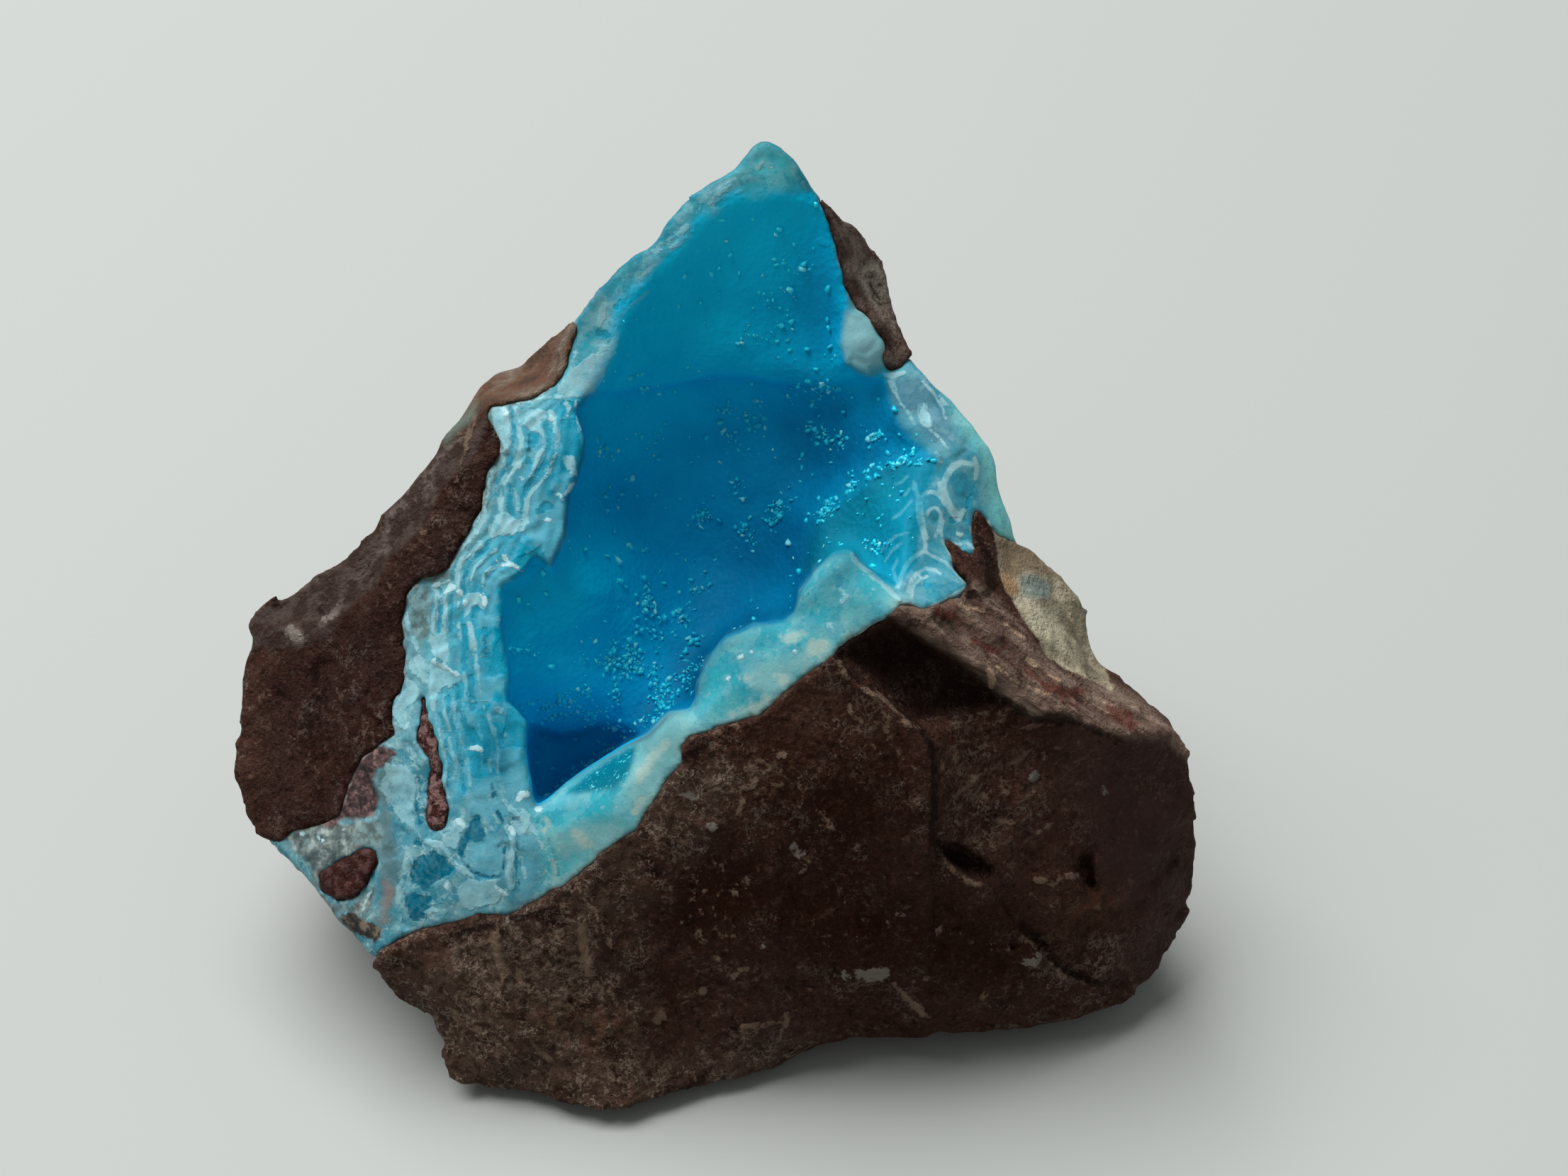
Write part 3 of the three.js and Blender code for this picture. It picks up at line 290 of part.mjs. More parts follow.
const HOLLOW_FACES = [
  [46,45,75], [40,39,41], [39,38,41], [42,41,38], [68,71,43], [44,43,71], [45,44,71], [75,45,71], [71,76,75], [76,80,75], [46,75,80], [47,46,80],
  [48,47,80], [80,50,48], [50,49,48], [72,69,73], [73,77,72], [77,82,81], [82,86,81], [53,52,99], [99,108,53], [54,53,108], [37,67,38], [42,38,67],
  [43,42,67], [68,43,67], [67,69,68], [69,72,68], [71,68,72], [76,71,72], [72,77,76], [77,81,76], [80,76,81], [50,80,81], [81,86,50], [51,50,86],
  [86,92,51], [92,99,51], [99,52,51], [70,36,35], [74,79,78], [79,83,78], [83,88,87], [88,93,87], [124,116,125], [132,124,125], [33,32,34], [32,31,34],
  [101,94,102], [110,101,102], [117,110,118], [126,117,118], [133,126,134], [134,139,133], [70,35,34], [74,70,34], [34,31,74], [79,74,31], [83,79,84], [88,83,84],
  [84,89,88], [89,94,88], [93,88,94], [94,101,93], [100,93,101], [109,100,101], [101,110,109], [110,117,109], [116,109,117], [125,116,117], [117,126,125], [126,133,125],
  [132,125,133], [138,132,133], [133,139,138], [139,143,138], [60,138,143], [61,60,143], [62,61,143], [143,148,62], [148,63,62], [67,37,36], [69,67,36], [36,70,69],
  [73,69,70], [70,74,73], [74,78,73], [77,73,78], [82,77,78], [78,83,82], [83,87,82], [86,82,87], [92,86,87], [87,93,92], [93,100,92], [99,92,100],
  [108,99,100], [100,109,108], [109,116,108], [54,108,116], [55,54,116], [116,124,55], [56,55,124], [57,56,124], [124,132,57], [58,57,132], [59,58,132], [132,138,59],
  [138,60,59], [29,28,85], [28,90,85], [144,140,145], [145,149,144], [149,153,152], [65,152,153], [27,26,91], [96,91,97], [104,96,97], [112,104,113], [120,112,113],
  [128,120,129], [129,136,128], [136,142,141], [142,146,141], [146,151,150], [151,154,150], [27,91,28], [90,28,91], [91,96,90], [95,90,96], [103,95,96], [96,104,103],
  [104,112,103], [111,103,112], [119,111,112], [112,120,119], [120,128,119], [127,119,128], [135,127,128], [128,136,135], [136,141,135], [140,135,141], [145,140,141], [141,146,145],
  [146,150,145], [149,145,150], [153,149,150], [150,154,153], [154,156,153], [65,153,156], [66,65,156], [156,0,66], [1,157,2], [130,8,137], [7,6,147], [6,5,147],
  [4,3,155], [157,155,3], [2,157,3], [98,21,20], [106,98,107], [107,115,106], [131,10,9], [15,14,123], [14,13,123], [12,123,13], [19,18,20], [98,20,18],
  [18,17,98], [17,16,98], [107,98,16], [16,15,107], [115,107,15], [15,123,115], [122,115,123], [131,122,123], [123,12,131], [12,11,131], [10,131,11], [21,98,22],
  [98,106,22], [23,22,106], [105,23,106], [114,105,106], [106,115,114], [115,122,114], [121,114,122], [130,121,122], [122,131,130], [131,9,130], [8,130,9], [91,26,25],
  [25,24,91], [97,91,24], [24,23,97], [23,105,97], [104,97,105], [113,104,105], [105,114,113], [114,121,113], [120,113,121], [129,120,121], [121,130,129], [130,137,129],
  [136,129,137], [142,136,137], [137,8,142], [8,7,142], [7,147,142], [146,142,147], [151,146,147], [147,5,151], [5,4,151], [4,155,151], [154,151,155], [155,157,154],
  [156,154,157], [0,156,157], [157,1,0], [79,31,30], [84,79,30], [30,29,84], [29,85,84], [89,84,85], [85,90,89], [90,95,89], [94,89,95], [102,94,95],
  [95,103,102], [103,111,102], [110,102,111], [118,110,111], [111,119,118], [119,127,118], [126,118,127], [134,126,127], [127,135,134], [135,140,134], [139,134,140], [140,144,139],
  [143,139,144], [148,143,144], [144,149,148], [149,152,148], [63,148,152], [64,63,152], [152,65,64]
];

// ---- the crust's outline; third number is the wall depth it backs ----------
const BED = [
  [-1.69,41.13,-2.5], [0.48,39.16,-2.89], [2.66,37.2,-2.14], [4.18,34.35,-0.02], [3.15,32.96,0.92], [3.57,31.75,1.89],
  [4.36,29.33,2.57], [4.96,27.21,2.93], [5.63,24.91,3.52], [6.11,24,3.72], [7.63,22.61,3.83], [8.54,21.28,3.95],
  [8.72,20.13,4.11], [8.54,19.16,4.39], [9.08,18.67,4.21], [9.81,18.86,3.78], [10.53,19.64,3.61], [12.35,20.25,3.77],
  [15.07,18.13,4.65], [17.8,16.01,5.51], [19.31,13.74,5.99], [20.82,11.47,6.53], [21.19,9.05,6.36], [21.55,6.63,6.41],
  [22.03,4.09,6.48], [20.22,3.48,5.28], [19.01,4.09,4.46], [18.04,4.45,3.5], [17.55,5.3,3.14], [17.01,6.08,2.73],
  [16.34,6.51,2.02], [16.04,4.81,0.84], [16.22,3.9,0.8], [16.46,2.51,0.83], [15.68,2.81,-0.33], [13.68,4.21,-3.08],
  [14.47,2.09,-2.33], [15.8,0.27,-0.2], [14.47,-1.12,-1.75], [13.26,-1.36,-3.06], [11.92,-2.33,-3.58], [10.84,-1.42,-4.98],
  [9.93,-1.36,-4.98], [9.38,-2.33,-3.55], [7.14,-3.48,-0.03], [5.51,-4.45,1.75], [4.12,-6.08,2.39], [2.06,-7.48,3.7],
  [-0.24,-9.29,4.46], [-2.12,-11.17,4.23], [-4.18,-11.47,5.25], [-6.05,-12.2,5.69], [-7.93,-12.8,6.99], [-8.6,-13.71,7.11],
  [-8.6,-14.86,6.71], [-9.75,-16.5,7.5], [-11.62,-19.04,7.64], [-12.59,-20.67,6.52], [-15.38,-22.67,4.78], [-17.86,-24.91,2.67],
  [-21.13,-26.66,1.37], [-23.37,-28,0.78], [-25.91,-27.94,1.02], [-28.39,-28.66,1.05], [-31.66,-29.45,1.32], [-34.44,-31.2,2.08],
  [-35.47,-32.72,2.7], [-38.5,-30.9,4.75], [-40.47,-29.09,6.25], [-42.43,-27.27,7.79], [-44.25,-25.3,8.9], [-46.07,-23.34,9.92],
  [-46.67,-21.22,10.15], [-42.92,-21.46,7.41], [-41.71,-20.49,6.48], [-39.71,-20.19,5.19], [-38.01,-19.28,4.52], [-37.29,-16.98,4.68],
  [-36.38,-14.86,4.83], [-34.87,-13.47,4.68], [-33.35,-12.5,4.5], [-33.66,-10.44,5.13], [-32.45,-7.84,5.13], [-32.45,-4.75,5.4],
  [-32.75,-2.88,5.69], [-32.26,-0.45,5.87], [-31.05,0.82,5.68], [-28.69,1.73,5.03], [-27.18,4.51,5.01], [-25.91,6.69,5.24],
  [-25.48,9.78,5.71], [-24.09,11.77,5.76], [-25.48,14.68,6.24], [-24.88,15.65,6.32], [-21.85,16.19,6.11], [-19.73,17.22,5.58],
  [-18.52,19.04,4.77], [-18.22,20.55,4.68], [-17.8,22.06,3.98], [-18.22,23.58,3.6], [-19.13,24.49,3.92], [-17.31,27.81,2.73],
  [-15.19,29.93,2.53], [-13.08,32.05,2.52], [-10.65,35.68,1.52], [-8.23,36.89,0.54], [-5.81,38.11,-0.38], [-3.75,39.62,-1.58],
  [-35.67,-28.89,2.89], [-37.87,-25.06,4.2], [-33.47,-25.06,2.66], [-29.07,-25.06,2.33], [-24.67,-25.06,2.1], [-35.67,-21.23,3.53],
  [-31.27,-21.23,3.16], [-26.87,-21.23,3.26], [-22.47,-21.23,4.75], [-18.07,-21.23,6.45], [-33.47,-17.41,3.53], [-29.07,-17.41,3.12],
  [-24.67,-17.41,5.14], [-20.27,-17.41,11.58], [-15.87,-17.41,11.2], [-26.87,-13.58,4.56], [-22.47,-13.58,11.62], [-18.07,-13.58,15.46],
  [-13.67,-13.58,11.96], [-29.07,-9.75,4.18], [-24.67,-9.75,5.67], [-20.27,-9.75,9.44], [-15.87,-9.75,11.11], [-11.47,-9.75,11.11],
  [-7.07,-9.75,9.74], [-26.87,-5.92,4.24], [-22.47,-5.92,5.13], [-18.07,-5.92,8.97], [-13.67,-5.92,11.7], [-9.27,-5.92,12.94],
  [-4.87,-5.92,11.73], [-0.47,-5.92,7.57], [-29.07,-2.09,4.84], [-24.67,-2.09,4], [-20.27,-2.09,6.07], [-15.87,-2.09,8.73],
  [-11.47,-2.09,13.43], [-7.07,-2.09,15.03], [-2.67,-2.09,12.61], [1.73,-2.09,7.77], [-22.47,1.73,4.04], [-18.07,1.73,6.18],
  [-13.67,1.73,11.75], [-9.27,1.73,15.82], [-4.87,1.73,15.58], [-0.47,1.73,12.02], [3.93,1.73,5.81], [8.33,1.73,-1.56],
  [-20.27,5.56,4.95], [-15.87,5.56,10.26], [-11.47,5.56,14.86], [-7.07,5.56,15.67], [-2.67,5.56,14.59], [1.73,5.56,9.94],
  [6.13,5.56,4.62], [10.53,5.56,-2.85], [-22.47,9.39,5.46], [-18.07,9.39,7.43], [-13.67,9.39,12.53], [-9.27,9.39,14.31],
  [-4.87,9.39,14.12], [-0.47,9.39,12.96], [3.93,9.39,9.12], [8.33,9.39,3.49], [12.73,9.39,-0.93], [17.13,9.39,3.13],
  [-20.27,13.22,6.05], [-15.87,13.22,8.03], [-11.47,13.22,11.84], [-7.07,13.22,13.21], [-2.67,13.22,12.94], [1.73,13.22,11.69],
  [6.13,13.22,7.63], [10.53,13.22,2.44], [14.93,13.22,1.7], [-13.67,17.05,6.62], [-9.27,17.05,9.64], [-4.87,17.05,10.12],
  [-0.47,17.05,9.53], [3.93,17.05,7.24], [12.73,17.05,3.19], [-11.47,20.87,5.05], [-7.07,20.87,6.46], [-2.67,20.87,6.59],
  [1.73,20.87,6.26], [-13.67,24.7,1.48], [-9.27,24.7,3.64], [-4.87,24.7,4.91], [-0.47,24.7,4.9], [-11.47,28.53,0.77],
  [-7.07,28.53,2.16], [-2.67,28.53,2.96], [1.73,28.53,2.87], [-9.27,32.36,0.37], [-4.87,32.36,0.19], [-0.47,32.36,0.57],
  [-2.67,36.19,-2.09]
];
const BED_FACES = [
  [69,73,70], [71,70,73], [72,71,73], [68,109,69], [73,69,109], [74,73,109], [109,75,74], [79,78,118], [118,80,79], [66,65,67], [65,108,67], [68,67,108],
  [109,68,108], [108,110,109], [110,113,109], [75,109,113], [76,75,113], [77,76,113], [113,118,77], [118,78,77], [111,64,63], [114,111,115], [119,114,115], [86,85,140],
  [140,87,86], [61,112,62], [93,92,91], [111,63,62], [62,112,111], [115,111,112], [112,116,115], [116,120,115], [119,115,120], [123,119,120], [127,123,128], [128,133,127],
  [133,141,140], [87,140,141], [108,65,64], [110,108,64], [64,111,110], [111,114,110], [113,110,114], [118,113,114], [114,119,118], [80,118,119], [119,123,80], [123,127,80],
  [81,80,127], [82,81,127], [127,133,82], [83,82,133], [133,140,83], [84,83,140], [140,85,84], [174,95,94], [100,99,101], [117,122,121], [122,125,121], [124,121,125],
  [129,124,125], [134,129,135], [142,134,135], [148,142,149], [156,148,149], [164,156,165], [174,164,165], [56,55,126], [130,126,131], [136,130,131], [131,137,136], [137,144,136],
  [143,136,144], [150,143,144], [144,151,150], [151,158,150], [157,150,158], [166,157,158], [158,167,166], [167,176,166], [175,166,176], [183,175,176], [102,193,197], [103,102,197],
  [117,59,58], [122,117,58], [58,57,122], [57,56,122], [56,126,122], [125,122,126], [126,130,125], [129,125,130], [135,129,130], [130,136,135], [136,143,135], [142,135,143],
  [149,142,143], [143,150,149], [150,157,149], [156,149,157], [165,156,157], [157,166,165], [166,175,165], [174,165,175], [95,174,175], [175,183,95], [96,95,183], [97,96,183],
  [183,189,97], [98,97,189], [189,193,98], [99,98,193], [101,99,193], [193,102,101], [112,61,60], [116,112,60], [60,59,116], [59,117,116], [117,121,116], [120,116,121],
  [121,124,120], [123,120,124], [128,123,124], [124,129,128], [129,134,128], [133,128,134], [141,133,134], [134,142,141], [142,148,141], [87,141,148], [88,87,148], [89,88,148],
  [148,156,89], [156,164,89], [90,89,164], [91,90,164], [164,174,91], [174,94,91], [93,91,94], [132,52,51], [51,50,132], [50,138,132], [138,146,145], [146,152,145],
  [152,160,159], [160,168,159], [184,177,185], [190,184,185], [194,190,195], [195,198,194], [198,202,201], [105,201,202], [202,106,105], [139,48,47], [147,154,153], [154,161,153],
  [161,170,169], [170,179,169], [178,169,179], [186,178,179], [179,187,186], [187,192,186], [191,186,192], [196,191,192], [199,196,200], [203,199,200], [200,5,203], [5,4,203],
  [4,2,203], [204,203,2], [2,1,204], [138,50,49], [49,48,138], [48,139,138], [146,138,139], [139,147,146], [147,153,146], [152,146,153], [160,152,153], [153,161,160],
  [161,169,160], [168,160,169], [169,178,168], [177,168,178], [185,177,178], [178,186,185], [186,191,185], [190,185,191], [195,190,191], [191,196,195], [196,199,195], [198,195,199],
  [202,198,199], [199,203,202], [203,204,202], [106,202,204], [107,106,204], [204,1,107], [1,0,107], [11,13,12], [155,44,43], [43,42,155], [42,41,155], [162,155,163],
  [171,162,163], [180,171,181], [181,14,180], [13,11,10], [38,36,39], [36,38,37], [34,32,35], [32,31,35], [31,30,35], [172,35,30], [182,18,188], [24,23,25],
  [26,25,23], [28,27,26], [26,23,28], [29,28,23], [23,22,29], [173,29,22], [22,21,173], [21,20,173], [32,34,33], [29,173,30], [172,30,173], [182,172,173],
  [173,20,182], [20,19,182], [18,182,19], [41,40,39], [39,36,41], [155,41,36], [36,35,155], [163,155,35], [35,172,163], [171,163,172], [181,171,172], [172,182,181],
  [182,188,181], [14,181,188], [15,14,188], [16,15,188], [17,16,188], [188,18,17], [139,47,46], [147,139,46], [46,45,147], [45,44,147], [154,147,44], [44,155,154],
  [155,162,154], [161,154,162], [170,161,162], [162,171,170], [171,180,170], [179,170,180], [187,179,180], [180,14,187], [14,13,187], [13,10,187], [192,187,10], [10,9,192],
  [9,8,192], [196,192,8], [8,7,196], [200,196,7], [7,6,200], [5,200,6], [2,4,3], [54,53,55], [126,55,53], [131,126,53], [53,52,131], [52,132,131],
  [137,131,132], [132,138,137], [138,145,137], [144,137,145], [151,144,145], [145,152,151], [152,159,151], [158,151,159], [167,158,159], [159,168,167], [168,177,167], [176,167,177],
  [177,184,176], [183,176,184], [189,183,184], [184,190,189], [190,194,189], [193,189,194], [197,193,194], [194,198,197], [198,201,197], [103,197,201], [104,103,201], [201,105,104]
];

// ---- knobs of rock that stand up through the crust ------------------------
const CLASTS = [
  [
  [-39.41,-22.73], [-38.01,-22.25], [-36.08,-22.43], [-34.75,-23.15], [-34.87,-24.73], [-35.77,-25.94],
  [-37.17,-26.73], [-38.62,-26.18], [-39.59,-24.73]
  ],
  [
  [-37.89,-27.75], [-36.38,-27.88], [-34.69,-28.48], [-34.99,-29.57], [-36.38,-29.93], [-37.77,-29.21]
  ],
  [
  [-30.81,-8.63], [-30.27,-9.41], [-30.39,-10.93], [-29.9,-12.74], [-29.12,-14.26], [-28.81,-16.37],
  [-28.39,-18.8], [-28.81,-20.31], [-29.9,-20.73], [-30.75,-20.01], [-30.45,-18.19], [-30.15,-16.37],
  [-30.63,-14.86], [-31.36,-13.35], [-30.99,-11.53], [-31.23,-9.72]
  ]
];

// ---- helpers ----------------------------------------------------------------
function solid(points, faces) {
  const vertProperties = new Float32Array(points.length * 3);
  points.forEach((p, i) => vertProperties.set(p.toArray(), i * 3));
  const triVerts = new Uint32Array(faces.flat());
  return new wasm.Manifold(new wasm.Mesh({ numProp: 3, vertProperties, triVerts }));
}

// Boundary vertices of a triangulated outline, in order.
function rimOf(faces) {
  const next = new Map();
  const seen = new Set(faces.flatMap(([a, b, c]) => [`${a}_${b}`, `${b}_${c}`, `${c}_${a}`]));
  for (const key of seen) {
    const [a, b] = key.split('_').map(Number);
    if (!seen.has(`${b}_${a}`)) next.set(a, b);
  }
  const start = next.keys().next().value;
  const loop = [start];
  for (let i = next.get(start); i !== start; i = next.get(i)) loop.push(i);
  return loop;
}

// Outline vertices moved in (or out, negative) across the plate by dist.
function inset(sheet, loop, dist) {
  const out = sheet.map((p) => p.slice());
  loop.forEach((vi, k) => {
    const p = sheet[vi];
    const a = sheet[loop[(k + loop.length - 1) % loop.length]];
    const b = sheet[loop[(k + 1) % loop.length]];
    const e1 = [p[0] - a[0], p[1] - a[1]];
    const e2 = [b[0] - p[0], b[1] - p[1]];
    const l1 = Math.hypot(...e1), l2 = Math.hypot(...e2);
    const n = [-(e1[1] / l1 + e2[1] / l2), e1[0] / l1 + e2[0] / l2];
    const l = Math.hypot(...n);
    const miter = Math.min(2, 2 / Math.max(l, 1e-3) / Math.max(l, 1e-3) * l);
    out[vi][0] = p[0] + (n[0] / l) * dist * miter;
    out[vi][1] = p[1] + (n[1] / l) * dist * miter;
  });
  return out;
}

// A plug that runs from in front of the specimen down to a shaped floor.
function plug(sheet, faces, floorOffset, edgeInset = 0) {
  const loop = rimOf(faces);
  const flat = edgeInset === 0 ? sheet : inset(sheet, loop, edgeInset);
  const n = flat.length;
  const points = [
    ...flat.map(([a, u, d]) => place([a, u, d + floorOffset])),
    ...flat.map(([a, u]) => place([a, u, FRONT_CLEAR])),
  ];
  const tris = [];
  for (const [a, b, c] of faces) tris.push([a, c, b], [a + n, b + n, c + n]);
  loop.forEach((i, k) => {
    const j = loop[(k + 1) % loop.length];
    tris.push([i, j, j + n], [i, j + n, i + n]);
  });
  return solid(points, tris);
}

// The same for a plain outline with a level floor.
function post(outline, floor, edgeInset = 0) {
  const faces = THREE.ShapeUtils.triangulateShape(
    outline.map(([a, u]) => new THREE.Vector2(a, u)), []);
  const sheet = outline.map(([a, u]) => [a, u, floor]);
  const ccw = THREE.ShapeUtils.area(outline.map(([a, u]) => new THREE.Vector2(a, u))) > 0;
  return plug(sheet, faces.map(([a, b, c]) => {
    const s = (outline[b][0] - outline[a][0]) * (outline[c][1] - outline[a][1])
      - (outline[b][1] - outline[a][1]) * (outline[c][0] - outline[a][0]);
    return s > 0 ? [a, b, c] : [a, c, b];
  }), 0, ccw ? edgeInset : edgeInset);
}

// Loose crumbs left by a cut are dropped; the piece itself is the largest.
function mainBody(m) {
  const parts = m.decompose();
  parts.sort((a, b) => b.volume() - a.volume());
  return parts[0];
}

function meshOf(m, name, color, roughness) {
  const { vertProperties, triVerts, numProp } = m.getMesh();
  const position = new Float32Array((vertProperties.length / numProp) * 3);
  for (let i = 0, k = 0; i < vertProperties.length; i += numProp) {
    position[k++] = vertProperties[i];
    position[k++] = vertProperties[i + 1];
    position[k++] = vertProperties[i + 2];
  }
  let geometry = new THREE.BufferGeometry();
  geometry.setAttribute('position', new THREE.BufferAttribute(position, 3));
  geometry.setIndex(new THREE.BufferAttribute(new Uint32Array(triVerts), 1));
  geometry = mergeVertices(geometry, 1e-5);
  geometry.computeVertexNormals();
  const mesh = new THREE.Mesh(geometry, new THREE.MeshStandardMaterial({ color, roughness, metalness: 0 }));
  mesh.name = name;
  return mesh;
}

// ---- build --------------------------------------------------------------------
const form = solid(FORM.map(place), FORM_FACES);
const hollow = plug(HOLLOW, HOLLOW_FACES, 0);
const bed = plug(BED, BED_FACES, CRUST_THICKNESS);
const bedInner = plug(BED, BED_FACES, CRUST_THICKNESS - SEAM, SEAM);
const bedRaised = plug(BED, BED_FACES, CRUST_THICKNESS - SEAM);

const clastFloor = (c) => {
  const mid = c.reduce((s, p) => [s[0] + p[0] / c.length, s[1] + p[1] / c.length], [0, 0]);
  let best = Infinity, deep = 0;
  for (const [a, u, d] of BED) {
    const r = Math.hypot(a - mid[0], u - mid[1]);
    if (r < best) { best = r; deep = d; }
  }
  return deep + CRUST_THICKNESS + CLAST_ROOT;
};

let crust = form.intersect(bedInner).intersect(bedRaised).subtract(hollow);
let rock = form.subtract(bed);
for (const c of CLASTS) {
  const floor = clastFloor(c);
  rock = rock.add(post(c, floor).intersect(form));
  crust = crust.subtract(post(c, floor, -SEAM));
}
crust = mainBody(crust);
rock = mainBody(rock);

const specimen = new THREE.Group();
specimen.name = 'hemimorphite_specimen';
specimen.add(meshOf(rock, 'host_rock', 0x3a2822, 0.85));
specimen.add(meshOf(crust, 'hemimorphite_crust', 0x2f9dbd, 0.4));

export default specimen;
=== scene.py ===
import bpy, math
import numpy as np
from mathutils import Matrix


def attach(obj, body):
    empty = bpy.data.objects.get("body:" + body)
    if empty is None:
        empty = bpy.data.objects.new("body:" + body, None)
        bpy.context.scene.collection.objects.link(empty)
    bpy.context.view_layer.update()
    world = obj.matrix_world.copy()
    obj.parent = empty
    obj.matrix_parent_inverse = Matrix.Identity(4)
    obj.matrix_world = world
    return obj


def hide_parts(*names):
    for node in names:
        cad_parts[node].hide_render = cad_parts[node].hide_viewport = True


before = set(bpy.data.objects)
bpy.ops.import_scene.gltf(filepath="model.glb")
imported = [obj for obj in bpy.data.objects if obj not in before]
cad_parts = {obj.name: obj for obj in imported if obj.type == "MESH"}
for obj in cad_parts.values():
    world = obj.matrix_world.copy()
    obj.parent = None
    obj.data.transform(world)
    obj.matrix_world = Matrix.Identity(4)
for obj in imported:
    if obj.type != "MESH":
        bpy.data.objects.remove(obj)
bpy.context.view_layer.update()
import openvdb as vdb
from mathutils import Matrix, Vector

MM = 0.001

# ------------------------------------------------------------------ drawing plate
# The vug's outlines are drawn on a tilted plate that faces the opening. A point
# is (across, up, deep) in mm; the lines of equal (across, up) fan out of a pole.
TILT = math.radians(40.0)
REACH = 186.0
INTO = np.array([0.0, math.cos(TILT), -math.sin(TILT)])
ACROSS = np.array([1.0, 0.0, 0.0])
UP = np.array([0.0, math.sin(TILT), math.cos(TILT)])
ORIGIN = np.array([-0.573, 32.266, 0.0])
POLE = np.array([5.9, 25.0, 37.1]) - REACH * INTO - ORIGIN


def place(q):
    q = np.asarray(q, float)
    return POLE + (REACH + q[:, 2:3]) * (INTO + q[:, 0:1] / REACH * ACROSS + q[:, 1:2] / REACH * UP)


def unplace(p):
    q = p - POLE.astype(p.dtype)
    t = q @ INTO.astype(p.dtype)
    return (q @ ACROSS.astype(p.dtype)) / t * REACH, (q @ UP.astype(p.dtype)) / t * REACH, t - REACH


# ------------------------------------------------------------------ camera
sc = bpy.context.scene
cam_data = bpy.data.cameras.new("camera")
cam_data.lens = 50.0
cam_data.sensor_width = 36.0
cam_data.sensor_fit = "HORIZONTAL"
cam_data.clip_start = 0.01
cam = bpy.data.objects.new("camera", cam_data)
sc.collection.objects.link(cam)
cam.matrix_world = Matrix((
    (ACROSS[0], UP[0], -INTO[0], POLE[0] * MM),
    (ACROSS[1], UP[1], -INTO[1], POLE[1] * MM),
    (ACROSS[2], UP[2], -INTO[2], POLE[2] * MM),
    (0, 0, 0, 1)))
sc.camera = cam

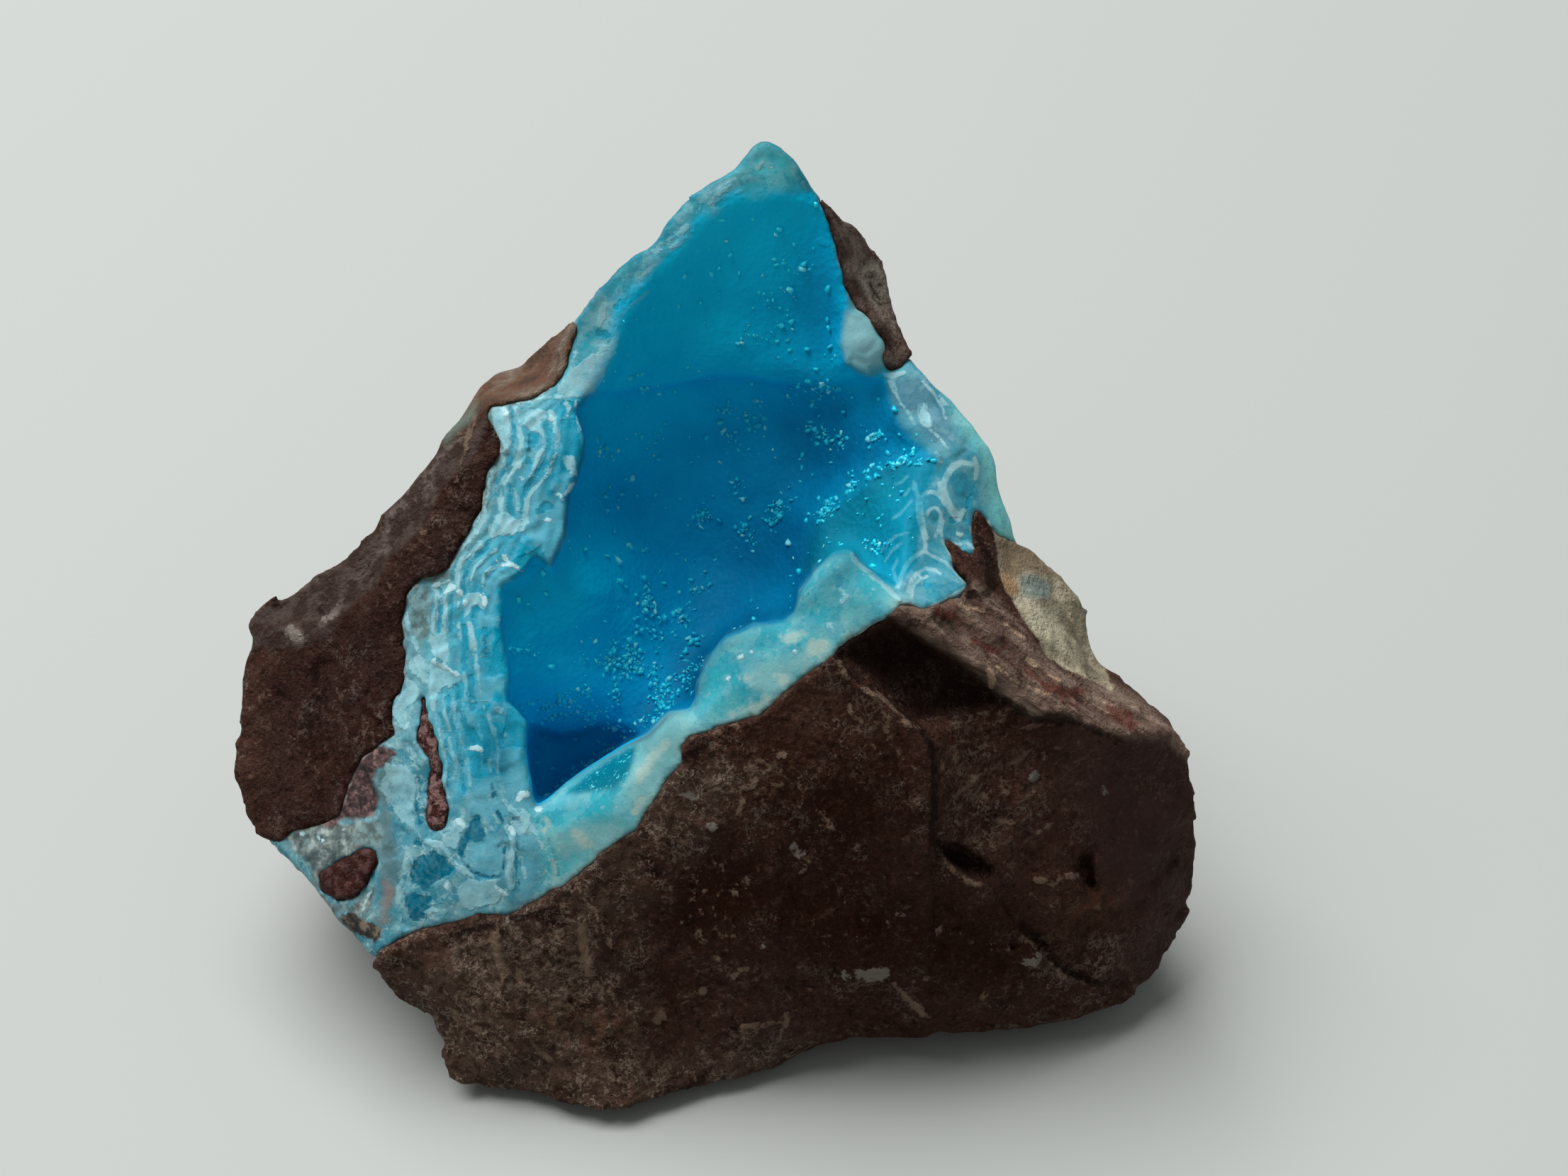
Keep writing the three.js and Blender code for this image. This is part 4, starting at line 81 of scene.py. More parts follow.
# ------------------------------------------------------------------ form tables
FORM_V = np.array([
    [-1.69,38.59,-1], [-0.24,37.8,-0.8], [0.85,36.77,-0.3], [1.88,35.08,0.5], [2.78,33.69,1.5], [4.48,31.93,4], [6.17,30.48,6], [7.38,28.9,7.5],
    [8.35,27.69,8], [8.96,25.7,8], [9.32,23.58,7], [9.81,21.46,6], [10.53,20.13,4.5], [11.74,18.61,4], [13.56,16.74,4], [15.07,15.41,4],
    [16.46,13.89,4], [17.68,12.08,4], [18.46,10.5,4], [18.46,8.44,4], [19.01,6.93,4], [19.61,5.42,4.2], [19.98,3.72,4.8], [21.31,2.69,5],
    [23.24,1.06,5.5], [25.3,-1,6], [25.48,-1.97,6], [25.24,-3.06,6], [25.67,-4.57,6], [26.09,-6.2,6], [26.88,-7.05,5.5], [28.69,-7.78,5],
    [30.27,-9.11,4], [32.32,-11.53,2.8], [34.26,-14.07,1.5], [34.75,-16.37,2], [35.11,-18.8,4], [34.99,-21.22,7], [34.75,-24.24,9], [34.5,-26.97,10],
    [33.54,-29.39,10.5], [32.32,-31.51,10.5], [30.99,-33.14,10], [29.3,-34.11,9], [26.63,-35.02,8], [24.09,-36.05,7.5], [20.22,-36.96,7], [17.43,-37.38,6.5],
    [14.77,-37.5,6.2], [12.05,-37.62,6], [9.32,-37.56,6], [6.72,-37.62,5.8], [3.33,-38.04,5.8], [0,-39.5,5.5], [-2.66,-40.83,5.6], [-4.6,-41.8,5.2],
    [-6.72,-42.83,4.8], [-10.05,-43.86,4.1], [-13.38,-44.52,3.6], [-15.5,-44.4,3.7], [-17.43,-44.16,4], [-19.43,-43.67,4.4], [-21.43,-43.19,4.9], [-23.37,-42.89,4.6],
    [-25.42,-42.52,4.2], [-27.18,-42.1,3.6], [-28.33,-41.19,3.5], [-28.87,-39.98,3.6], [-29,-37.86,4], [-29.78,-36.29,4], [-31.23,-35.02,3.6], [-32.75,-34.17,3],
    [-33.96,-32.84,2], [-34.87,-31.51,1.5], [-36.68,-29.81,2.2], [-38.5,-28,3.2], [-40.13,-25.58,4.4], [-42.01,-23.52,5.6], [-43.95,-21.82,7], [-45.4,-20.73,8],
    [-46,-19.88,8.4], [-45.94,-17.58,8.3], [-47.03,-16.25,8.6], [-47.09,-14.86,9], [-46.55,-12.44,9.4], [-46,-10.02,9.8], [-46,-6.69,10.4], [-45.16,-4.63,10.8],
    [-45.34,-3.06,11.2], [-44.92,-2.33,11.2], [-42.68,-0.64,10.6], [-40.01,1.18,9.6], [-37.29,3,8.6], [-34.69,4.75,7.6], [-34.26,6.14,7.2], [-31.84,8.69,6.4],
    [-29.48,11.23,5.8], [-28.81,12.8,6.4], [-27.91,13.89,8], [-27.12,14.74,9.5], [-25.79,17.04,11], [-24.46,18.19,12], [-22.46,18.73,12], [-20.82,20.07,11.5],
    [-19.13,21.76,9], [-17.8,22.85,5], [-17.19,23.88,2.6], [-16.4,25.09,2], [-15.13,26.79,1.6], [-13.68,27.94,1.3], [-12.17,29.09,1], [-11.02,29.87,0.9],
    [-10.05,31.75,0.7], [-9.14,33.14,0.3], [-7.32,34.17,0], [-5.21,35.32,-0.4], [-3.69,36.77,-0.7], [-2.78,37.92,-0.9], [-34.44,-31.2,0.6], [-31.66,-29.45,-0.2],
    [-28.39,-28.66,-0.8], [-25.91,-27.94,-1.3], [-23.37,-28,-1.6], [-21.13,-26.66,-2.1], [-17.86,-24.91,-2.9], [-15.38,-22.67,-3.7], [-12.59,-20.67,-4.5], [-11.62,-19.04,-5],
    [-9.75,-16.5,-5.8], [-8.6,-14.86,-6.3], [-8.6,-13.71,-6.6], [-7.93,-12.8,-6.9], [-6.05,-12.2,-7.2], [-4.18,-11.47,-7.5], [-2.12,-11.17,-7.8], [-0.24,-9.29,-8.4],
    [2.06,-7.48,-8.9], [4.12,-6.08,-9.4], [5.51,-4.45,-9.8], [7.14,-3.48,-10.1], [9.38,-2.33,-10.5], [-42.92,-21.46,6.2], [-41.71,-20.49,5.6], [-39.71,-20.19,4.4],
    [-38.01,-19.28,3.7], [-37.29,-16.98,3.3], [-36.38,-14.86,2.8], [-34.87,-13.47,2.4], [-33.35,-12.5,2.2], [-33.66,-10.44,2.8], [-32.45,-7.84,3], [-32.45,-4.75,3.5],
    [-32.75,-2.88,3.8], [-32.26,-0.45,3.8], [-31.05,0.82,3.6], [-28.69,1.73,3.2], [-27.18,4.51,3.2], [-25.91,6.69,3.2], [-25.48,9.78,3.4], [-24.09,11.77,3.2],
    [-25.48,14.68,4.4], [-24.88,15.65,4.8], [-21.85,16.19,4.6], [-19.73,17.22,4.4], [-18.52,19.04,4], [-18.22,20.55,3.8], [-17.8,22.06,3.4], [-15.98,17.04,3.6],
    [-17.62,15.41,3.4], [-17.07,12.68,2.6], [-17.19,10.87,2.5], [-17.74,9.17,2.3], [-18.4,7.6,2.1], [-18.7,4.51,1.8], [-19.92,1.91,1.3], [-21.25,2.88,1.5],
    [-22.28,1.42,1.5], [-24.09,0.21,1.6], [-24.21,-3.54,1], [-23.61,-7.23,0.4], [-23.61,-9.72,0], [-22.09,-11.53,-0.7], [-22.09,-14.01,-1.2], [-21.61,-17.71,-2],
    [-21.13,-18.67,-2.2], [-20.04,-18.07,-1.4], [-18.52,-16.68,-0.6], [-16.04,-15.04,0.2], [-13.68,-13.47,-0.4], [-11.99,-12.02,-1.8], [-11.62,-12.56,-3.9], [-9.75,-10.68,-4.8],
    [-7.93,-10.44,-5.2], [-7.45,-9.53,-5.2], [-7.32,-8.14,-5.2], [-6.3,-5.84,-5.8], [-4.9,-4.21,-6.4], [-2.6,-3.18,-6.9], [0,-2.94,-7.3], [0.91,-2.15,-7.4],
    [1.45,-0.27,-7.4], [2.78,1.6,-7.3], [4.36,2.88,-7.3], [5.75,3,-7.4], [6.48,2.03,-7.8], [7.87,0.88,-8.6], [9.44,-0.27,-9.3], [-24.58,-23.94,-2],
    [-20.94,-21.82,-2.6], [-17.31,-20.01,-3.5], [-14.41,-18.07,-4.4], [-11.56,-15.16,-5.2], [-10.05,-12.74,-5.9], [-7.32,-11.23,-6.6], [-4.6,-8.5,-7.2], [-1.57,-6.69,-7.9],
    [1.45,-4.27,-8.4], [3.87,-1.85,-8.6], [5.69,-0.03,-8.8], [7.63,-1.24,-9.6], [-18.52,-18.49,-2.6], [-15.5,-16.98,-3.2], [-13.38,-14.86,-3.4], [9.93,-1.36,-9.9],
    [10.84,-1.42,-9.4], [11.92,-2.33,-9.4], [13.26,-1.36,-8], [14.47,-1.12,-6.6], [15.8,0.27,-3.8], [14.47,2.09,-3], [13.68,4.21,-1.8], [15.68,2.81,-1.6],
    [16.46,2.51,-1], [16.22,3.9,0], [16.04,4.81,0.4], [16.34,6.51,1.2], [17.01,6.08,1.6], [17.55,5.3,2], [18.04,4.45,2.8], [19.01,4.09,3.8],
    [9.75,1.79,-6.4], [9.93,5.42,-3.6], [10.53,8.44,-1.2], [12.35,11.47,1], [11.62,12.08,1.6], [8.96,13.95,3.4], [9.32,16.74,4.2], [8.54,18.73,4.8],
    [5.08,19.95,3.6], [5.45,22.97,3.4], [5.99,23.94,3.4], [7.63,22.49,3.4], [8.47,21.16,3.6], [8.47,19.22,3.8], [6.6,18.61,3.6], [6.78,21.16,2.6],
    [3.57,31.75,1.8], [4.36,29.33,2.4], [4.96,27.21,2.8], [5.63,24.91,3.4], [2.66,32.66,0.9], [-0.36,32.84,0.2], [-3.69,32.66,0.3], [-5.51,31.75,0.6],
    [-7.32,30.24,1], [-9.14,28.3,1.3], [-10.96,26.48,1.6], [-12.47,24.49,1.9], [-13.68,22.85,2.2], [-14.16,21.04,2.6], [-15.5,18.43,3.2], [-43.64,-5.78,9.2],
    [-40.92,-3.78,8], [-36.68,-0.76,6.4], [-33.78,1.79,5.4], [-31.11,5.3,4.6], [-28.21,9.78,4], [-26.51,12.98,4.2], [11.74,-3.06,-9.3], [14.47,-4.57,-8.2],
    [18.52,-7.29,-6.8], [22.64,-9.41,-5.8], [27.36,-12.44,-4], [29.9,-12.14,-2.4], [32.87,-12.56,-0.6], [6.72,-6.99,-9.5], [8.72,-9.41,-9.1], [11.14,-11.83,-8.6],
    [12.71,-13.47,-8.3], [13.08,-16.37,-7.6], [12.95,-19.4,-6.7], [12.71,-22.12,-5.9], [8.11,-5.18,-8.2], [11.74,-7.29,-6.6], [15.98,-9.72,-5.2], [20.82,-12.14,-4.2],
    [20.22,-24.12,-1.2], [23.85,-24.85,-0.4], [26.15,-23.94,0.2], [-40.31,-10.93,6.2], [-36.38,-6.08,4.8], [-42.74,-16.98,6.8], [-38.5,-15.16,4.2], [-30.63,2.39,3.4],
    [-35.47,-1.85,4.8], [-43.04,-11.53,8.2], [-21.85,10.87,2.6], [-20.94,6.63,2.3], [-28.21,-2.45,2.6], [-28.21,-7.29,1.6], [-27.91,-13.35,0.4], [-26.39,-18.19,-0.9],
    [-30.63,-17.58,0.9], [-30.63,-21.82,-0.3], [-28.21,-24.24,-1.2], [-33.05,-24.24,0.4], [-36.68,-24.24,2], [-39.71,-23.34,3.8], [-37.89,-27.27,2.4], [-33.96,-27.88,0.6],
    [-30.63,-26.66,-0.6], [-24.58,-34.53,0.8], [-28.21,-33.32,1], [-18.52,-30.9,-1], [-20.94,-37.56,1.4], [-12.47,-26.06,-3], [-8.84,-21.22,-4.8], [-6.42,-28.48,-2.4],
    [-12.47,-35.74,0.4], [-3.39,-19.4,-5.9], [4.48,-16.37,-7.4], [4.48,-23.64,-4.8], [0.85,-30.9,-2], [8.11,-30.3,-2.2], [-5.21,-37.56,2.2], [3.27,-36.35,2.6],
    [12.95,-30.3,-1.6], [11.74,-35.74,2.4], [20.22,-19.4,-2.6], [25.67,-17.58,-1.4], [26.27,-24.85,1], [20.22,-26.06,-0.2], [22.64,-32.11,3.4], [17.8,-34.53,2.8],
    [27.48,-31.51,4.6], [31.11,-21.22,2.4], [31.72,-27.27,5.4], [16.59,-16.98,-4], [20.22,-1.85,-1.6], [17.8,1.79,-0.4], [21.43,-4.27,-2.6], [23.85,-6.08,-1.2],
    [26.27,-9.72,-1.6], [20.82,1.79,2.6], [23.24,-1.24,3.2], [22.64,-3.06,0.8], [14.77,-2.45,-6.4], [19.01,-4.27,-4.6], [12.95,1.79,-4], [12.95,6.63,-1.6],
    [13.86,9.65,0.6], [14.77,12.68,2.2], [12.35,15.71,3.2], [16.28,9.05,2.2], [16.89,10.87,2.8], [5.99,28.12,5], [7.51,24.79,6], [8.84,21.76,5.2],
    [9.44,19.22,4.8], [13.38,-21.82,-5.6], [15.38,-23.76,-4.2], [17.55,-24.49,-3.4], [14.77,-22.73,-3.4], [-1.59,36.32,2.25], [1.73,33.54,3.71], [4.81,30.05,6.23],
    [7.2,26.56,8.83], [8.71,22.26,9.9], [10.74,18.43,8.16], [13.83,14.93,7.62], [16.37,11.56,7.6], [17.81,7.58,7.72], [20.23,2.61,8.49], [23.09,-0.75,9.27],
    [24.98,-4.93,9.42], [27.53,-8.41,8.56], [30.72,-11.52,6.83], [33.13,-15.43,5.93], [33.83,-19.81,8.85], [33.57,-24.16,9.88], [32.53,-28.34,10.5], [-30.33,-34.68,7.04],
    [-33.47,-31.56,5.89], [-36.53,-28.3,6.32], [-39.37,-24.97,8.02], [-42.38,-21.77,10.04], [-44.92,-18.06,11.73], [-45.51,-13.48,12.48], [-44.97,-9.2,13.58], [-44.23,-5.06,12.59],
    [-41.79,-1.5,12.31], [-38.24,1.05,11.22], [-34.66,3.89,11.42], [-31.66,7.23,10.29], [-28.75,10.77,10.25], [-26.03,14.48,12.95], [-22.74,17.57,15.04], [-19.07,20.38,12.55],
    [-16.16,23.53,7.52], [-13.23,26.75,5.06], [-10.08,29.84,3.69], [-7.01,32.89,3.03], [-3.55,35.46,2.32], [-1.9,32.76,7], [2.15,29.75,8.37], [5.21,25.29,9.84],
    [7.85,20.45,14.66], [10.61,15.99,13.69], [13.58,11.54,13.17], [16.57,6.08,13.4], [19.58,0.71,14.08], [22.46,-3.89,14.41], [25.26,-8.06,13.91], [28.42,-12.35,12.81],
    [30.83,-17.05,13], [31.37,-22.1,15.56], [30.13,-27.02,14.67], [26.64,-30.98,13.96], [21.75,-33.07,11.92], [16.77,-34.06,12.13], [11.79,-34.55,13.3], [6.49,-35.14,12.93],
    [1.18,-36.32,11.71], [-3.74,-38.05,9.95], [-8.64,-39.78,8.22], [-13.71,-40.7,7.31], [-18.82,-40.41,7.59], [-23.88,-38.71,9.28], [-27.7,-35.27,12.49], [-31.09,-31.36,12],
    [-34.71,-27.37,12.29], [-38.21,-23.43,13.8], [-41.29,-19.37,15.94], [-43.02,-14.34,16.78], [-42.74,-9.25,18.96], [-40.83,-4.43,19.26], [-37.23,-0.56,18.2], [-32.84,3.47,16.8],
    [-29.32,7.24,16.37], [-26.09,11.06,17.26], [-22.55,14.88,18.51], [-18.64,18.56,17.24], [-14.61,22.49,13.65], [-10.8,26.38,8.38], [-7.07,29.91,7.84], [-1.63,37.38,3.6],
    [-0.61,36.17,5], [-2.66,36.17,5], [-5.21,33.99,5.6], [0.85,34.35,6], [-24.74,-35.89,12.15], [-20.07,-36.74,11.28], [-14.74,-35.93,12.11], [-10.52,-35.92,12.12],
    [-26.21,-32.11,16.13], [-22.35,-32.61,15.6], [-17.69,-32.03,16.21], [-12.88,-32.58,15.63], [-7.3,-32.02,16.23], [-2.73,-32.58,15.63], [1.19,-32.19,16.04], [14.83,-31.83,16.43],
    [-29,-28.53,20.05], [-23.72,-28.25,20.37], [-19.78,-27.89,20.77], [-14.68,-28.4,20.2], [-10.98,-28.45,20.14], [-6.04,-28.27,20.34], [-1.15,-28.07,20.57], [3.71,-28.1,20.54],
    [7.89,-28.31,20.29], [13.04,-28.05,20.58], [17.1,-28.03,20.61], [22.42,-28.25,20.36], [27.17,-27.87,17.65], [-35.33,-24.2,25], [-30.67,-24.97,24.1], [-26,-24.4,24.77],
    [-21.56,-24.62,24.51], [-17.02,-24.13,25.09], [-12.4,-24.2,25], [-8.66,-24.99,24.08], [-3.48,-24.3,24.88], [0.81,-24.25,24.94], [5.99,-25.15,23.89], [10.37,-24.9,24.19],
    [14.38,-25.02,24.04], [19.35,-24.96,24.12], [23.78,-25.16,23.88], [28.76,-24.68,19.22], [-38.2,-20.64,23.53], [-33.83,-20.05,29.98], [-28.87,-21.16,28.62], [-23.94,-21.08,28.72],
    [-19.43,-20.73,29.14], [-14.78,-19.87,30.2], [-9.85,-20.62,29.27], [-5.26,-20.31,29.65], [-1.28,-21.01,28.8], [3.64,-20.42,29.52], [8.75,-19.85,30.21], [12.86,-20.72,29.16],
    [17.86,-21.21,28.56], [21.36,-20.42,29.52], [26.67,-21.01,26.69], [-40.58,-16.8,20.46], [-34.93,-16.68,32.3], [-30.35,-15.93,35.15], [-26.26,-16.84,33.98], [-21.12,-16.51,34.4],
    [-17.31,-16.76,34.08], [-11.92,-16.52,34.39], [-8.29,-16.54,34.36], [-3.92,-16.34,34.62], [1.13,-16.8,34.04], [6.2,-16.05,34.99], [9.72,-16.46,34.46], [14.69,-15.9,35.19],
    [20,-16.86,33.95], [23.88,-16.99,33.78], [-37.53,-12.78,28.52], [-33.25,-12.74,36.25], [-28.98,-12.46,39.69], [-24.14,-12.7,39.38], [-19.15,-12.38,39.81], [-15.54,-12.85,39.17],
    [-10.36,-11.92,40.42], [-5.15,-12.44,39.72], [-1.77,-12.12,40.16], [3.4,-12.4,39.78], [8.4,-12.32,39.89], [12.68,-11.93,40.41], [17.15,-12.66,39.04], [22.4,-12.93,36.76],
    [-35.02,-9,34.81], [-31.02,-8.44,38.89], [-26.4,-8.74,43.71], [-22.28,-8.38,45.29], [-16.76,-9.11,44.28], [-12.97,-8.06,45.75], [-7.59,-8.27,45.45], [-4.06,-8.19,45.56],
    [1.88,-7.81,46.11], [6.09,-9.14,44.24], [10.88,-8.9,43.98], [15.21,-7.87,42.8], [19.9,-9.02,40.14], [-33.19,-4.16,35.55], [-28.16,-5.01,42.18], [-24.19,-4.76,46.49],
    [-19.35,-4.52,50.09], [-14.28,-4.68,50.09], [-10.92,-4.23,50.1], [-6.18,-4.32,50.1], [-1.09,-3.93,50.11], [3.58,-4.33,50.1], [7.77,-4.43,48.22], [12.36,-4.15,46.4],
    [17.33,-5.01,43.71], [-30.47,-0.53,33.39], [-26.64,-0.08,38.84], [-22.45,-0.18,46.28], [-17.82,-0.99,50.2], [-11.96,-0.25,50.22], [-8.38,-1.04,50.2], [-2.73,-0.27,50.22],
    [1.65,-1,50.2], [5.98,-0.7,50.21], [10.03,-0.73,47], [15.16,-0.71,41.77], [-28.15,3.48,30.01], [-23.73,2.8,38.31], [-19.54,4.05,43.09], [-14.73,3.4,47.88],
    [-10.34,2.94,50.32], [-6.18,3.02,49.85], [-1.27,3.34,48.52], [4.04,3.02,47.17], [7.76,3.19,43.1], [12.23,3.2,38.69], [-22.17,6.91,33.36], [-17.33,8.17,38.2],
    [-12.78,7.24,41.54], [-8.04,7.2,41.06], [-3.07,7.81,39.22], [0.73,7.14,40.14], [6.05,8.12,37.29], [10.61,7.41,34.05], [-19.77,10.88,30.18], [-15.54,12.17,32],
    [-10.74,11.52,32.72], [-5.83,11.55,32.12], [-1.68,11.25,32.25], [2.96,11.56,31.13], [8.7,11.64,29.82], [-17.55,14.93,26.67], [-12.69,15.62,25.29], [-8.35,14.89,26.14],
    [-3.11,14.88,25.63], [0.79,15.21,24.63], [5.63,14.95,24.61], [-10.81,19.31,18.65], [-5.19,20.14,16.73], [-0.94,19.13,18], [3.41,19.32,17.28], [-8.65,23.62,11.43],
    [-3.42,24.05,11.41], [1.06,23.11,11.88], [-6.14,27.36,10.7], [-1.35,26.85,11.12]
], float)
